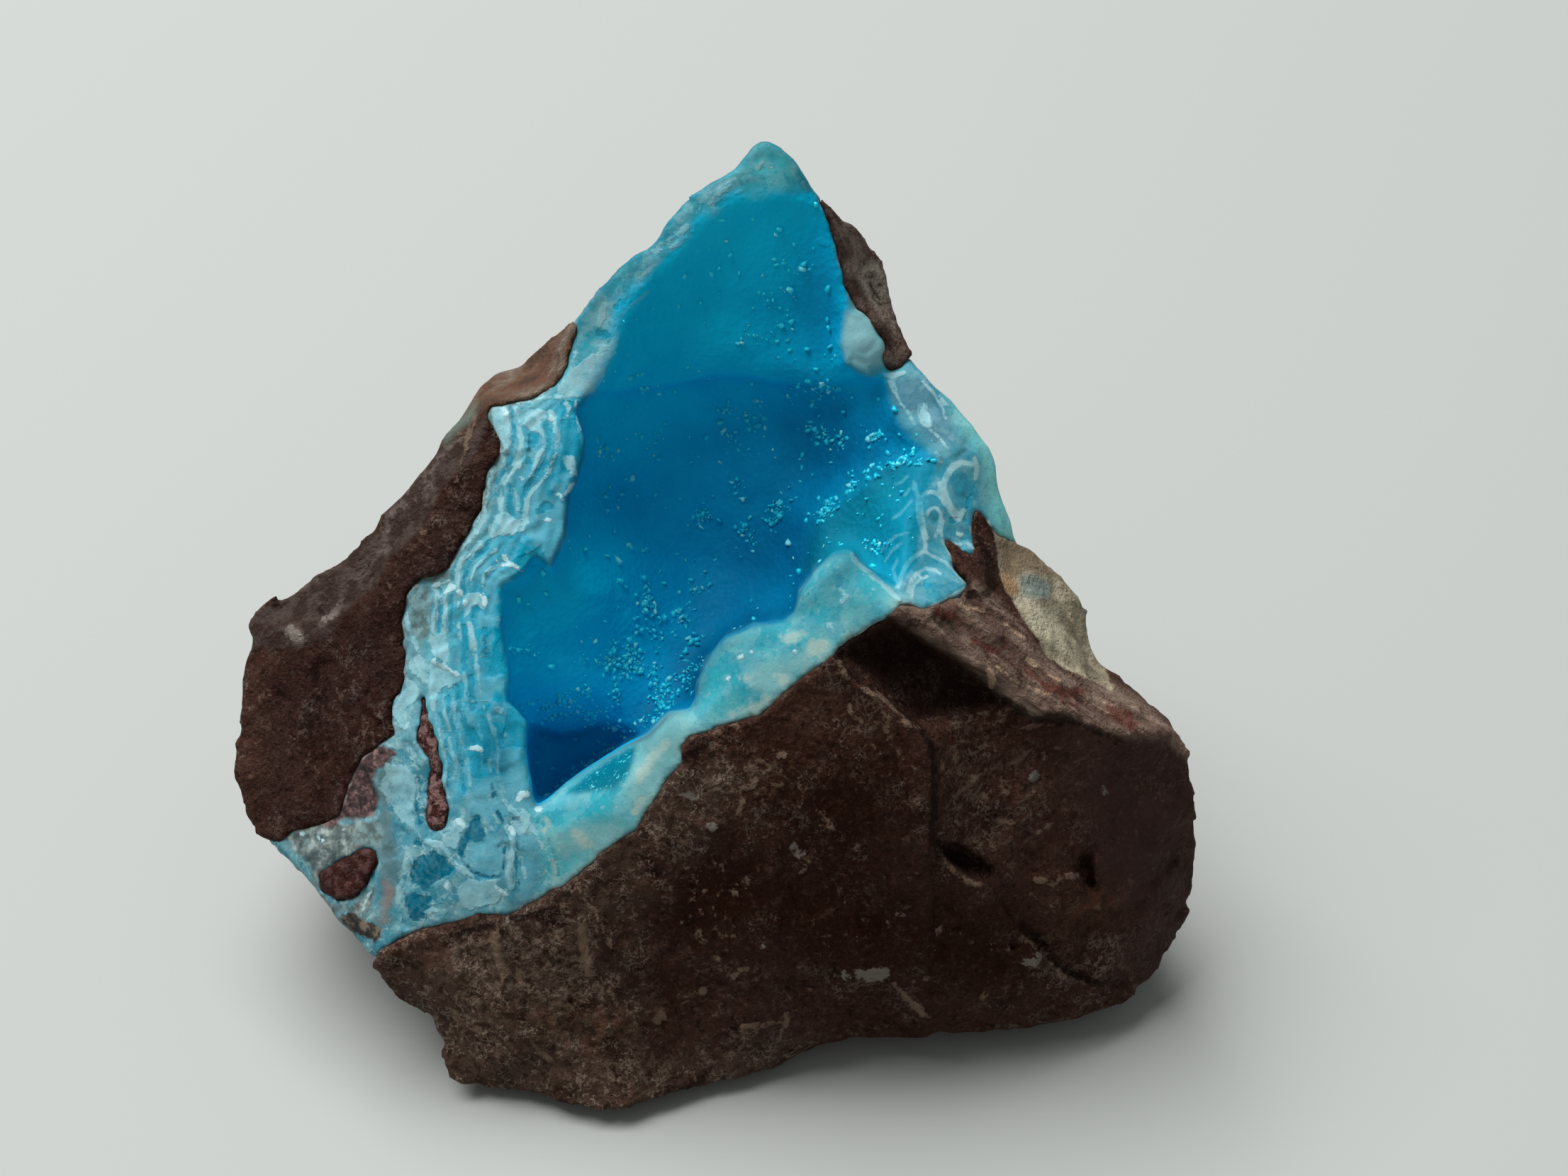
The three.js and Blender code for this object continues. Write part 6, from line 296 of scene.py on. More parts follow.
CLASTS = [
    [[-39.83,-24.42], [-38.98,-23.82], [-37.89,-23.27], [-36.68,-22.55], [-35.35,-22.25], [-34.81,-22.43], [-34.62,-23.21], [-34.93,-24.12], [-35.53,-25.39], [-36.32,-26.3],
    [-37.47,-26.79], [-38.62,-26.54], [-39.41,-26.06], [-39.71,-25.39]],
    [[-30.81,-8.63], [-30.39,-9.41], [-30.33,-10.32], [-30.15,-11.29], [-29.84,-12.44], [-29.48,-13.41], [-29.24,-14.38], [-29,-15.35], [-29.06,-16.5], [-28.81,-17.46],
    [-28.57,-18.43], [-28.45,-19.4], [-28.69,-20.19], [-29.3,-20.73], [-30.15,-20.67], [-30.63,-19.88], [-30.57,-18.73], [-30.63,-17.46], [-30.51,-16.31], [-30.21,-15.35],
    [-30.51,-14.68], [-31.17,-13.89], [-31.6,-13.11], [-31.42,-12.26], [-31.11,-11.29], [-31.17,-10.32], [-31.05,-9.41]]
]
CRUST_T = 5.0

# ------------------------------------------------------------------ noise in numpy
_rng = np.random.RandomState(11)
_G = _rng.normal(size=(256, 3)).astype(np.float32)
_G /= np.linalg.norm(_G, axis=1)[:, None]
_J = _rng.random_sample((256, 3)).astype(np.float32)
_O = _rng.uniform(-1, 1, size=256).astype(np.float32)


def _hash(i, j, k, seed):
    with np.errstate(over="ignore"):
        h = (i.astype(np.uint32) * np.uint32(374761393) + j.astype(np.uint32) * np.uint32(668265263)
             + k.astype(np.uint32) * np.uint32(2246822519) + np.uint32(seed * 974711 + 12345))
        h = (h ^ (h >> np.uint32(13))) * np.uint32(1274126177)
        h = h ^ (h >> np.uint32(16))
    return (h & np.uint32(255)).astype(np.int32)


def perlin(P, size, seed=0):
    Q = (P / np.float32(size)).astype(np.float32)
    I = np.floor(Q).astype(np.int32)
    f = Q - I
    w = f * f * f * (f * (f * 6 - 15) + 10)
    out = 0
    for dx in (0, 1):
        wx = w[:, 0] if dx else 1 - w[:, 0]
        for dy in (0, 1):
            wy = w[:, 1] if dy else 1 - w[:, 1]
            for dz in (0, 1):
                wz = w[:, 2] if dz else 1 - w[:, 2]
                g = _G[_hash(I[:, 0] + dx, I[:, 1] + dy, I[:, 2] + dz, seed)]
                out = out + wx * wy * wz * (g[:, 0] * (f[:, 0] - dx) + g[:, 1] * (f[:, 1] - dy) + g[:, 2] * (f[:, 2] - dz))
    return out * 1.6


def fbm(P, size, octaves, seed=0, gain=0.5):
    out, a, n = 0, 1.0, 0.0
    for o in range(octaves):
        out = out + a * perlin(P, size / 2 ** o, seed + o)
        n += a
        a *= gain
    return out / n


def cells(P, size, seed=0, stretch=None):
    """Nearest-cell noise: distance to the nearest and second centre, the cell's number and the offset from its centre, in cell units."""
    Q = (P / np.float32(size)).astype(np.float32)
    if stretch is not None:
        Q = Q @ stretch.astype(np.float32)
    I = np.floor(Q - 0.5).astype(np.int32)
    f1 = np.full(len(Q), 9, np.float32)
    f2 = np.full(len(Q), 9, np.float32)
    cid = np.zeros(len(Q), np.int32)
    off = np.zeros((len(Q), 3), np.float32)
    for dx in (0, 1):
        for dy in (0, 1):
            for dz in (0, 1):
                h = _hash(I[:, 0] + dx, I[:, 1] + dy, I[:, 2] + dz, seed)
                v = Q - (0.14 + 0.72 * _J[h]) - (I + np.array([dx, dy, dz], np.int32))
                d = np.sqrt((v * v).sum(1))
                m = d < f1
                f2 = np.where(m, f1, np.minimum(f2, d))
                f1 = np.where(m, d, f1)
                cid = np.where(m, h, cid)
                off[m] = v[m]
    return f1, f2, cid, off


def chips(P, size, seed=0, stretch=None):
    """Tilted flat chips, about -1 to 1."""
    f1, f2, cid, off = cells(P, size, seed, stretch)
    return (off * _G[(cid * 7 + seed) & 255]).sum(1) + 0.35 * _O[cid], f2 - f1


def smoothstep(x, lo, hi):
    t = np.clip((x - lo) / (hi - lo), 0, 1)
    return t * t * (3 - 2 * t)


def smax(a, b, k):
    return np.maximum(a, b) + 0.25 * k * np.maximum(0, 1 - np.abs(a - b) / k) ** 2


# ------------------------------------------------------------------ fields on the plate
GS = 0.25
GA0, GA1, GB0, GB1 = -56.0, 46.0, -52.0, 46.0
ga = np.arange(GA0, GA1, GS)
gb = np.arange(GB0, GB1, GS)
GA, GB = np.meshgrid(ga, gb, indexing="ij")


def outline_distance(line, X=None, Y=None):
    """Signed distance to a closed outline, negative inside."""
    X = GA if X is None else X
    Y = GB if Y is None else Y
    L = np.array(line, float)
    best = np.full(X.shape, 1e9)
    inside = np.zeros(X.shape, bool)
    for p, q in zip(L, np.roll(L, -1, axis=0)):
        e = q - p
        t = np.clip(((X - p[0]) * e[0] + (Y - p[1]) * e[1]) / max(e @ e, 1e-9), 0, 1)
        best = np.minimum(best, (X - p[0] - t * e[0]) ** 2 + (Y - p[1] - t * e[1]) ** 2)
        if p[1] != q[1]:
            inside ^= ((p[1] > Y) != (q[1] > Y)) & (X < (q[0] - p[0]) * (Y - p[1]) / (q[1] - p[1]) + p[0])
    d = np.sqrt(best)
    return np.where(inside, -d, d).astype(np.float32)


def line_distance(line):
    L = np.array(line, float)
    best = np.full(GA.shape, 1e9)
    for p, q in zip(L[:-1], L[1:]):
        e = q - p
        t = np.clip(((GA - p[0]) * e[0] + (GB - p[1]) * e[1]) / max(e @ e, 1e-9), 0, 1)
        best = np.minimum(best, (GA - p[0] - t * e[0]) ** 2 + (GB - p[1] - t * e[1]) ** 2)
    return np.sqrt(best).astype(np.float32)


def thin_plate(W, lam=0.3):
    X = W[:, :2]
    n = len(W)
    r = np.hypot(X[:, None, 0] - X[None, :, 0], X[:, None, 1] - X[None, :, 1])
    K = np.where(r > 0, r * r * np.log(r + 1e-12), 0) + lam * np.eye(n)
    Pm = np.c_[np.ones(n), X]
    s = np.linalg.solve(np.block([[K, Pm], [Pm.T, np.zeros((3, 3))]]), np.r_[W[:, 2], 0, 0, 0])
    out = s[-3] + s[-2] * GA + s[-1] * GB
    for (x, y), k in zip(X, s[:n]):
        r2 = (GA - x) ** 2 + (GB - y) ** 2
        out += k * 0.5 * r2 * np.log(r2 + 1e-12)
    return out.astype(np.float32)


def front_depth():
    """Depth of the unbroken front surface, from the form's front facets."""
    D = np.full(GA.shape, np.nan, np.float32)
    for t in FORM_F[:N_FRONT]:
        p, q, r = FORM_V[t]
        i0 = max(0, int((min(p[0], q[0], r[0]) - GA0) / GS)); i1 = int((max(p[0], q[0], r[0]) - GA0) / GS) + 2
        j0 = max(0, int((min(p[1], q[1], r[1]) - GB0) / GS)); j1 = int((max(p[1], q[1], r[1]) - GB0) / GS) + 2
        x, y = GA[i0:i1, j0:j1], GB[i0:i1, j0:j1]
        det = (q[0] - p[0]) * (r[1] - p[1]) - (q[1] - p[1]) * (r[0] - p[0])
        w1 = ((q[0] - x) * (r[1] - y) - (q[1] - y) * (r[0] - x)) / det
        w2 = ((r[0] - x) * (p[1] - y) - (r[1] - y) * (p[0] - x)) / det
        w3 = 1 - w1 - w2
        m = (w1 >= -1e-4) & (w2 >= -1e-4) & (w3 >= -1e-4)
        D[i0:i1, j0:j1] = np.where(m, w1 * p[2] + w2 * q[2] + w3 * r[2], D[i0:i1, j0:j1])
    # carry the edge outwards so that sampling near the outline is safe
    for _ in range(14):
        miss = np.isnan(D)
        if not miss.any():
            break
        S = np.zeros_like(D); C = np.zeros_like(D)
        for ax in (0, 1):
            for s in (-1, 1):
                R_ = np.roll(D, s, axis=ax)
                ok = ~np.isnan(R_)
                S[ok] += R_[ok]; C[ok] += 1
        fill = miss & (C > 0)
        D[fill] = S[fill] / C[fill]
    D[np.isnan(D)] = 30.0
    return D


def sample(field, a, b):
    x = np.clip((a - GA0) / GS, 0, field.shape[0] - 1.001)
    y = np.clip((b - GB0) / GS, 0, field.shape[1] - 1.001)
    i = x.astype(np.int32); j = y.astype(np.int32)
    fx = (x - i).astype(np.float32); fy = (y - j).astype(np.float32)
    f = field
    return (f[i, j] * (1 - fx) * (1 - fy) + f[i + 1, j] * fx * (1 - fy) + f[i, j + 1] * (1 - fx) * fy + f[i + 1, j + 1] * fx * fy)


def blur2(D, sig):
    k = int(3 * sig / GS)
    w = np.exp(-0.5 * (np.arange(-k, k + 1) * GS / sig) ** 2); w /= w.sum()
    for ax in (0, 1):
        pad = [(k, k) if a == ax else (0, 0) for a in (0, 1)]
        Dp = np.pad(D, pad, mode="edge")
        D = sum(w[m] * np.take(Dp, np.arange(m, m + D.shape[ax]), axis=ax) for m in range(2 * k + 1))
    return D.astype(np.float32)


SD_BED = outline_distance(BED_LINE)
SD_HOLLOW = outline_distance(HOLLOW_LINE)
D_WALL = thin_plate(WALL)
D_FRONT = front_depth()
gx, gy = np.gradient(blur2(D_WALL, 0.6), GS)
G_WALL = (1 / np.sqrt(1 + gx ** 2 + gy ** 2)).astype(np.float32)
SD_CLAST = np.minimum.reduce([outline_distance(c) for c in CLASTS])

# ------------------------------------------------------------------ signed-distance body
FORM_P = place(FORM_V)


def form_field(h, lo, hi):
    tr = vdb.createLinearTransform(voxelSize=h)
    g = vdb.FloatGrid.createLevelSetFromPolygons(FORM_P.astype(np.float32), triangles=FORM_F, transform=tr, halfWidth=9.0)
    A = np.zeros(hi - lo, np.float32)
    g.copyToArray(A, ijk=tuple(int(x) for x in lo))
    return A, tr


def blur3(A, sig):
    k = max(1, int(round(2.5 * sig)))
    w = np.exp(-0.5 * (np.arange(-k, k + 1) / sig) ** 2); w /= w.sum()
    for ax in (0, 1, 2):
        R_ = np.zeros_like(A)
        n = A.shape[ax]
        for m in range(-k, k + 1):
            idx = np.clip(np.arange(n) + m, 0, n - 1)
            R_ += np.float32(w[m + k]) * np.take(A, idx, axis=ax)
        A = R_
    return A


def polygonise(A, tr, lo, h, adapt):
    g = vdb.FloatGrid(float(9 * h))
    g.transform = tr
    g.copyFromArray(A, ijk=tuple(int(x) for x in lo))
    pts, tri, quads = g.convertToPolygons(0.0, adapt)
    return pts.astype(np.float64), tri.astype(np.int64), quads.astype(np.int64)


def largest_part(pts, tri, quads):
    """Keep the one biggest connected surface."""
    n = len(pts)
    lab = np.arange(n)
    E = []
    if len(quads):
        E += [quads[:, [0, 1]], quads[:, [1, 2]], quads[:, [2, 3]]]
    if len(tri):
        E += [tri[:, [0, 1]], tri[:, [1, 2]]]
    E = np.concatenate(E)
    while True:
        m = np.minimum(lab[E[:, 0]], lab[E[:, 1]])
        new = lab.copy()
        np.minimum.at(new, E[:, 0], m)
        np.minimum.at(new, E[:, 1], m)
        new = new[new]
        new = new[new]
        if (new == lab).all():
            break
        lab = new
    ids, cnt = np.unique(lab, return_counts=True)
    keep = lab == ids[np.argmax(cnt)]
    remap = np.cumsum(keep) - 1
    pts = pts[keep]
    if len(quads):
        quads = remap[quads[keep[quads[:, 0]]]]
    if len(tri):
        tri = remap[tri[keep[tri[:, 0]]]]
    return pts, tri, quads


def make_mesh(name, pts, tri, quads, smooth=True):
    me = bpy.data.meshes.new(name)
    faces = np.concatenate([quads.ravel(), tri.ravel()]) if len(tri) else quads.ravel()
    starts = np.concatenate([np.arange(len(quads)) * 4, len(quads) * 4 + np.arange(len(tri)) * 3])
    totals = np.concatenate([np.full(len(quads), 4), np.full(len(tri), 3)])
    me.vertices.add(len(pts))
    me.vertices.foreach_set("co", (pts * MM).astype(np.float32).ravel())
    me.loops.add(len(faces))
    me.loops.foreach_set("vertex_index", faces.astype(np.int32))
    me.polygons.add(len(starts))
    me.polygons.foreach_set("loop_start", starts.astype(np.int32))
    me.polygons.foreach_set("loop_total", totals.astype(np.int32))
    me.update(calc_edges=True)
    me.validate()
    if smooth:
        me.polygons.foreach_set("use_smooth", np.ones(len(starts), bool))
    ob = bpy.data.objects.new(name, me)
    sc.collection.objects.link(ob)
    return ob


def set_attr(me, name, arr):
    a = me.attributes.new(name, "FLOAT", "POINT")
    a.data.foreach_set("value", np.asarray(arr, np.float32))


def set_vec(me, name, arr):
    a = me.attributes.new(name, "FLOAT_VECTOR", "POINT")
    a.data.foreach_set("vector", np.asarray(arr, np.float32).ravel())


def px(u, v):
    return (u - 1106.0) / 16.52, (829.5 - v) / 16.52


def grid_points(lo, idx, h):
    return ((np.stack(idx, axis=1) + lo) * h).astype(np.float32)


LO = FORM_P.min(0)
HI = FORM_P.max(0)


# ------------------------------------------------------------------ marks drawn on the plate
def ring(points):
    return [px(u, v) for u, v in points]


def area_mask(points, soft=1.0):
    return smoothstep(-outline_distance(ring(points)), -soft, soft).astype(np.float32)


def spot(u, v, r, r2=None, turn=0.0):
    """Soft round or oval patch, radius in the same units as u and v."""
    a, b = px(u, v)
    c, s_ = math.cos(math.radians(turn)), math.sin(math.radians(turn))
    X = (GA - a) * c + (GB - b) * s_
    Y = -(GA - a) * s_ + (GB - b) * c
    r2 = r if r2 is None else r2
    return np.exp(-0.5 * ((X / (r / 16.52)) ** 2 + (Y / (r2 / 16.52)) ** 2)).astype(np.float32)


def stroke_distance(lines):
    return np.minimum.reduce([line_distance(ring(l)) for l in lines]).astype(np.float32)


def side_of(points):
    """Signed distance to an open line: positive to the right of its direction."""
    L = np.array(ring(points), float)
    best = np.full(GA.shape, 1e9); sgn = np.zeros(GA.shape)
    for p, q in zip(L[:-1], L[1:]):
        e = q - p
        t = np.clip(((GA - p[0]) * e[0] + (GB - p[1]) * e[1]) / (e @ e), 0, 1)
        dx, dy = GA - p[0] - t * e[0], GB - p[1] - t * e[1]
        d2 = dx * dx + dy * dy
        cr = e[1] * (GA - p[0]) - e[0] * (GB - p[1])
        m = d2 < best
        best = np.where(m, d2, best); sgn = np.where(m, np.sign(cr), sgn)
    return (np.sqrt(best) * sgn).astype(np.float32)


LEDGE_UP = [(780, 562), (823, 553), (870, 551), (923, 545), (976, 538), (1007, 530), (1061, 532), (1095, 540), (1130, 542), (1168, 547), (1190, 540)]
LEDGE_RIGHT = [(1345, 632), (1310, 638), (1280, 647), (1250, 650), (1232, 658), (1222, 672), (1205, 690), (1180, 705), (1160, 722), (1148, 740), (1135, 775)]
POCKET = [(741, 1018), (760, 1030), (790, 1041), (815, 1036), (838, 1024), (862, 1022), (890, 1034), (908, 1042), (880, 1058), (845, 1078), (812, 1098), (790, 1116), (757, 1132), (745, 1110)]
UNDERLIP = [(800, 1108), (825, 1085), (860, 1063), (900, 1046), (925, 1035), (905, 1075), (880, 1110), (835, 1125), (790, 1128)]

# the upper wall ends in a low overhanging edge, and the right slope starts at a sparkling step
up_side = side_of(LEDGE_UP)          # positive below the edge
D_WALL = D_WALL + 1.7 * smoothstep(up_side, -0.15, 0.45) * np.exp(-np.clip(up_side, 0, 99) / 9.0) * spot(1000, 560, 150, 300)
rt_side = side_of(LEDGE_RIGHT)       # positive on the deep side
D_WALL = D_WALL - 1.3 * smoothstep(-rt_side, -0.3, 0.5) * np.exp(-np.clip(-rt_side, 0, 99) / 6.0) * spot(1230, 690, 90)
D_WALL = D_WALL + 3.2 * area_mask(POCKET, 0.45)
D_WALL = D_WALL - 1.6 * spot(835, 860, 85, 110)
D_WALL = D_WALL.astype(np.float32)

ZL = area_mask([(680, 552), (800, 545), (835, 560), (838, 640), (790, 790), (725, 835), (722, 900), (730, 1010), (748, 1075), (700, 1112), (640, 1135), (600, 1110), (575, 1020), (560, 940), (560, 815), (640, 790), (680, 660)], 1.1)
ZP = area_mask([(330, 1150), (470, 1140), (510, 1060), (575, 960), (600, 1060), (640, 1130), (700, 1100), (745, 1120), (770, 1180), (790, 1290), (600, 1350), (500, 1420), (330, 1280)], 1.0)
ZLIP = area_mask([(742, 1132), (800, 1100), (880, 1045), (945, 1000), (985, 985), (1000, 925), (1060, 880), (1120, 865), (1150, 800), (1185, 770), (1215, 790), (1262, 835), (1310, 862), (1262, 880), (1170, 950), (1070, 1025), (970, 1065), (915, 1155), (800, 1255), (745, 1300), (760, 1200)], 0.7)
ZS = area_mask([(1244, 545), (1300, 500), (1420, 560), (1460, 700), (1410, 770), (1350, 790), (1380, 830), (1310, 880), (1262, 838), (1258, 790), (1285, 690), (1305, 645), (1262, 605)], 1.0)
ZTOP = area_mask([(800, 560), (780, 430), (880, 290), (1000, 200), (1075, 170), (1085, 245), (1000, 318), (940, 352), (893, 420), (872, 500), (850, 562)], 0.7)
ZTIP = area_mask([(1040, 150), (1100, 150), (1140, 262), (1080, 292), (1020, 285)], 1.3)
ZG = area_mask([(1335, 560), (1400, 540), (1470, 700), (1470, 790), (1405, 765), (1392, 700), (1380, 640), (1350, 600)], 0.8)
ZBLOB = area_mask([(1193, 442), (1212, 436), (1232, 455), (1250, 490), (1246, 514), (1215, 522), (1196, 508), (1187, 482)], 0.35)

def marks_at(a, b, strokes=(), areas=(), far=1.5, thin=True):
    """Distance in mm to the edge of the nearest mark, negative inside it. A stroke point is (u, v, half width)."""
    out = np.full(len(a), far, np.float32)
    for S_ in strokes:
        low_ = S_[0][0] > 1190 or (S_[0][1] > 940 and S_[0][0] < 730 and len(S_) > 3)
        S_ = [(u, v, w_ * ((0.72 if low_ else 0.9) if thin else 1.0)) for u, v, w_ in S_]
        Q = np.array([(*px(u, v), w_ / 16.52) for u, v, w_ in (S_ if len(S_) > 1 else [S_[0], (S_[0][0] + 0.5, S_[0][1], S_[0][2])])])
        i = np.nonzero((a > Q[:, 0].min() - far) & (a < Q[:, 0].max() + far) & (b > Q[:, 1].min() - far) & (b < Q[:, 1].max() + far))[0]
        x, y, best = a[i], b[i], out[i]
        for p, q in zip(Q[:-1], Q[1:]):
            e = q[:2] - p[:2]
            t = np.clip(((x - p[0]) * e[0] + (y - p[1]) * e[1]) / max(e @ e, 1e-9), 0, 1)
            best = np.minimum(best, np.hypot(x - p[0] - t * e[0], y - p[1] - t * e[1]) - (p[2] + t * (q[2] - p[2])))
        out[i] = best
    for A_ in areas:
        R_ = np.array(ring(A_))
        i = np.nonzero((a > R_[:, 0].min() - far) & (a < R_[:, 0].max() + far) & (b > R_[:, 1].min() - far) & (b < R_[:, 1].max() + far))[0]
        out[i] = np.minimum(out[i], outline_distance(R_, a[i], b[i]))
    return out


# ---- growth bands, chips and veins drawn on the broken rim
PALE_S = [
    [(700, 570, 2.5), (722, 567, 2.5), (745, 565, 2.5), (765, 562, 2.5), (790, 560, 3), (828, 558, 2)],
    [(712, 580, 3), (718, 596, 2.5), (718, 615, 2.5), (715, 632, 2)],
    [(722, 568, 2), (728, 580, 2), (731, 595, 3), (733, 608, 4), (736, 620, 4), (733, 640, 5), (730, 655, 5), (722, 668, 4.5), (712, 678, 4), (708, 690, 3.5), (706, 705, 3.5), (706, 720, 3)],
    [(740, 598, 2), (752, 606, 2), (762, 607, 2), (767, 615, 2.5), (768, 630, 3), (762, 640, 5), (757, 650, 5), (752, 662, 3.5), (748, 672, 3)],
    [(775, 582, 4), (781, 590, 4), (785, 605, 3.5), (786, 625, 3.5), (785, 640, 4), (778, 655, 4.5), (772, 670, 4), (762, 682, 4), (752, 692, 4), (745, 705, 4), (742, 720, 4), (741, 735, 4), (738, 748, 3)],
    [(795, 562, 3), (803, 575, 4), (800, 588, 2)],
    [(812, 565, 3), (815, 590, 2), (820, 605, 1.5)],
    [(726, 690, 2), (730, 705, 2.2), (731, 720, 2)],
    [(710, 640, 3), (705, 655, 4), (695, 668, 4), (690, 682, 4), (690, 700, 4), (684, 712, 4), (683, 730, 5), (675, 745, 5), (662, 760, 4), (652, 772, 4), (641, 785, 5), (634, 800, 4)],
    [(678, 768, 4), (664, 779, 3), (650, 790, 3), (646, 803, 2.5), (645, 818, 2.5), (646, 828, 2)],
    [(700, 775, 2.5), (684, 788, 2.5), (670, 802, 2), (665, 818, 2), (666, 830, 2)],
    [(705, 797, 2.5), (693, 803, 2.5), (683, 812, 2.5), (680, 828, 2)],
    [(613, 828, 3), (616, 840, 2.5), (616, 860, 2.5), (612, 880, 3), (612, 900, 3)],
    [(628, 838, 3), (629, 860, 3), (628, 880, 3.5), (626, 900, 4)],
    [(645, 835, 2.2), (646, 850, 1.8), (645, 870, 1.5), (648, 890, 1.5), (650, 905, 1.5)],
    [(663, 880, 4), (666, 900, 3.5), (668, 920, 3.5), (672, 935, 4), (674, 950, 3)],
    [(574, 868, 4), (576, 885, 4), (580, 898, 3), (586, 908, 3), (590, 918, 2.5)],
    [(612, 975, 6), (611, 995, 5), (615, 1015, 4), (619, 1030, 3), (622, 1045, 2.5), (627, 1065, 2), (629, 1085, 2), (627, 1105, 2.5), (632, 1125, 3.5)],
    [(624, 990, 2), (626, 1005, 2.5), (630, 1018, 2.5), (635, 1032, 2.5), (634, 1045, 3), (637, 1060, 3), (643, 1072, 3.5), (644, 1085, 4), (641, 1100, 3.5), (640, 1115, 3.5)],
    [(640, 985, 2), (640, 1005, 2.5), (643, 1018, 2.5), (647, 1030, 3), (652, 1048, 3.5), (656, 1060, 3), (659, 1075, 3), (660, 1090, 2.5), (664, 1110, 2.5)],
    [(656, 950, 2.2), (657, 970, 2), (655, 985, 2)],
    [(673, 945, 2.5), (676, 965, 3), (677, 985, 2.5)],
    [(645, 989, 1.8), (660, 987, 2.5), (675, 989, 1.8), (690, 988, 1.5)],
    [(683, 998, 2.5), (690, 1012, 3), (695, 1025, 3.5), (700, 1040, 3.5), (702, 1060, 3.2), (702, 1080, 3), (703, 1092, 2.5)],
    [(704, 1022, 1.5), (713, 1038, 2.2)], [(691, 1075, 3), (692, 1090, 2.5)], [(700, 1000, 3.5), (708, 1002, 4)],
    [(585, 1048, 2), (592, 1058, 2), (602, 1072, 2.5), (607, 1082, 2)], [(578, 1056, 3), (583, 1068, 4)],
    # lower-left patch
    [(600, 1187, 5), (620, 1193, 5), (632, 1205, 4), (645, 1222, 5), (658, 1232, 5), (672, 1240, 3)],
    [(716, 1168, 5), (722, 1185, 6), (722, 1205, 5), (720, 1220, 5), (716, 1235, 5), (722, 1252, 6)],
    [(610, 1275, 2), (625, 1272, 2), (638, 1280, 2.2), (645, 1290, 2)], [(598, 1290, 2), (612, 1284, 2), (626, 1288, 2)],
    [(745, 1160, 2), (758, 1180, 2), (768, 1200, 2.5), (776, 1215, 2.5)],
    [(703, 1098, 2.5), (706, 1115, 2.5), (710, 1130, 3), (718, 1142, 4), (730, 1150, 4)],
    [(690, 1120, 2), (691, 1135, 2), (697, 1150, 2.5), (703, 1160, 2.5)],
    [(573, 1195, 4), (575, 1215, 4), (570, 1235, 3), (562, 1255, 3), (562, 1280, 3), (568, 1300, 3)],
    [(760, 1232, 2), (763, 1248, 2)], [(738, 1225, 2), (742, 1240, 2)],
    # right side
    [(1340, 765, 3.5), (1352, 770, 4), (1364, 765, 3), (1377, 777, 3), (1388, 776, 3)], [(1246, 528, 3), (1262, 530, 6), (1275, 526, 4)],
    [(1256, 540, 4), (1264, 556, 4), (1272, 572, 3)], [(1328, 560, 2), (1336, 572, 2)], [(1320, 640, 2), (1328, 652, 2)],
    # upper-left crest
    [(862, 452, 3), (868, 462, 2.5), (873, 475, 4), (860, 490, 5), (848, 492, 4)], [(852, 432, 4), (850, 445, 5), (845, 458, 3)],
    [(930, 345, 3), (950, 335, 4), (965, 325, 4), (972, 318, 2)], [(945, 350, 3), (958, 342, 4), (968, 335, 3)], [(888, 447, 5), (894, 445, 4)],
    [(905, 402, 3), (914, 406, 3)], [(918, 395, 3)], [(1000, 290, 3), (1010, 275, 3), (1030, 262, 4)], [(985, 302, 2), (990, 285, 2)],
    [(1070, 238, 4), (1074, 230, 4)], [(1035, 275, 3), (1046, 270, 3)], [(1134, 258, 2), (1137, 268, 2)], [(920, 355, 3), (935, 352, 2)], [(1158, 340, 4), (1168, 345, 4)], [(812, 500, 3), (806, 520, 3), (803, 535, 4)],
    # lip
    [(1201, 781, 3), (1209, 794, 3), (1226, 808, 4), (1243, 823, 4.5), (1258, 836, 5), (1268, 846, 4)], [(1170, 880, 4), (1176, 892, 3)], [(1186, 832, 3), (1194, 842, 4), (1188, 850, 3)],
]
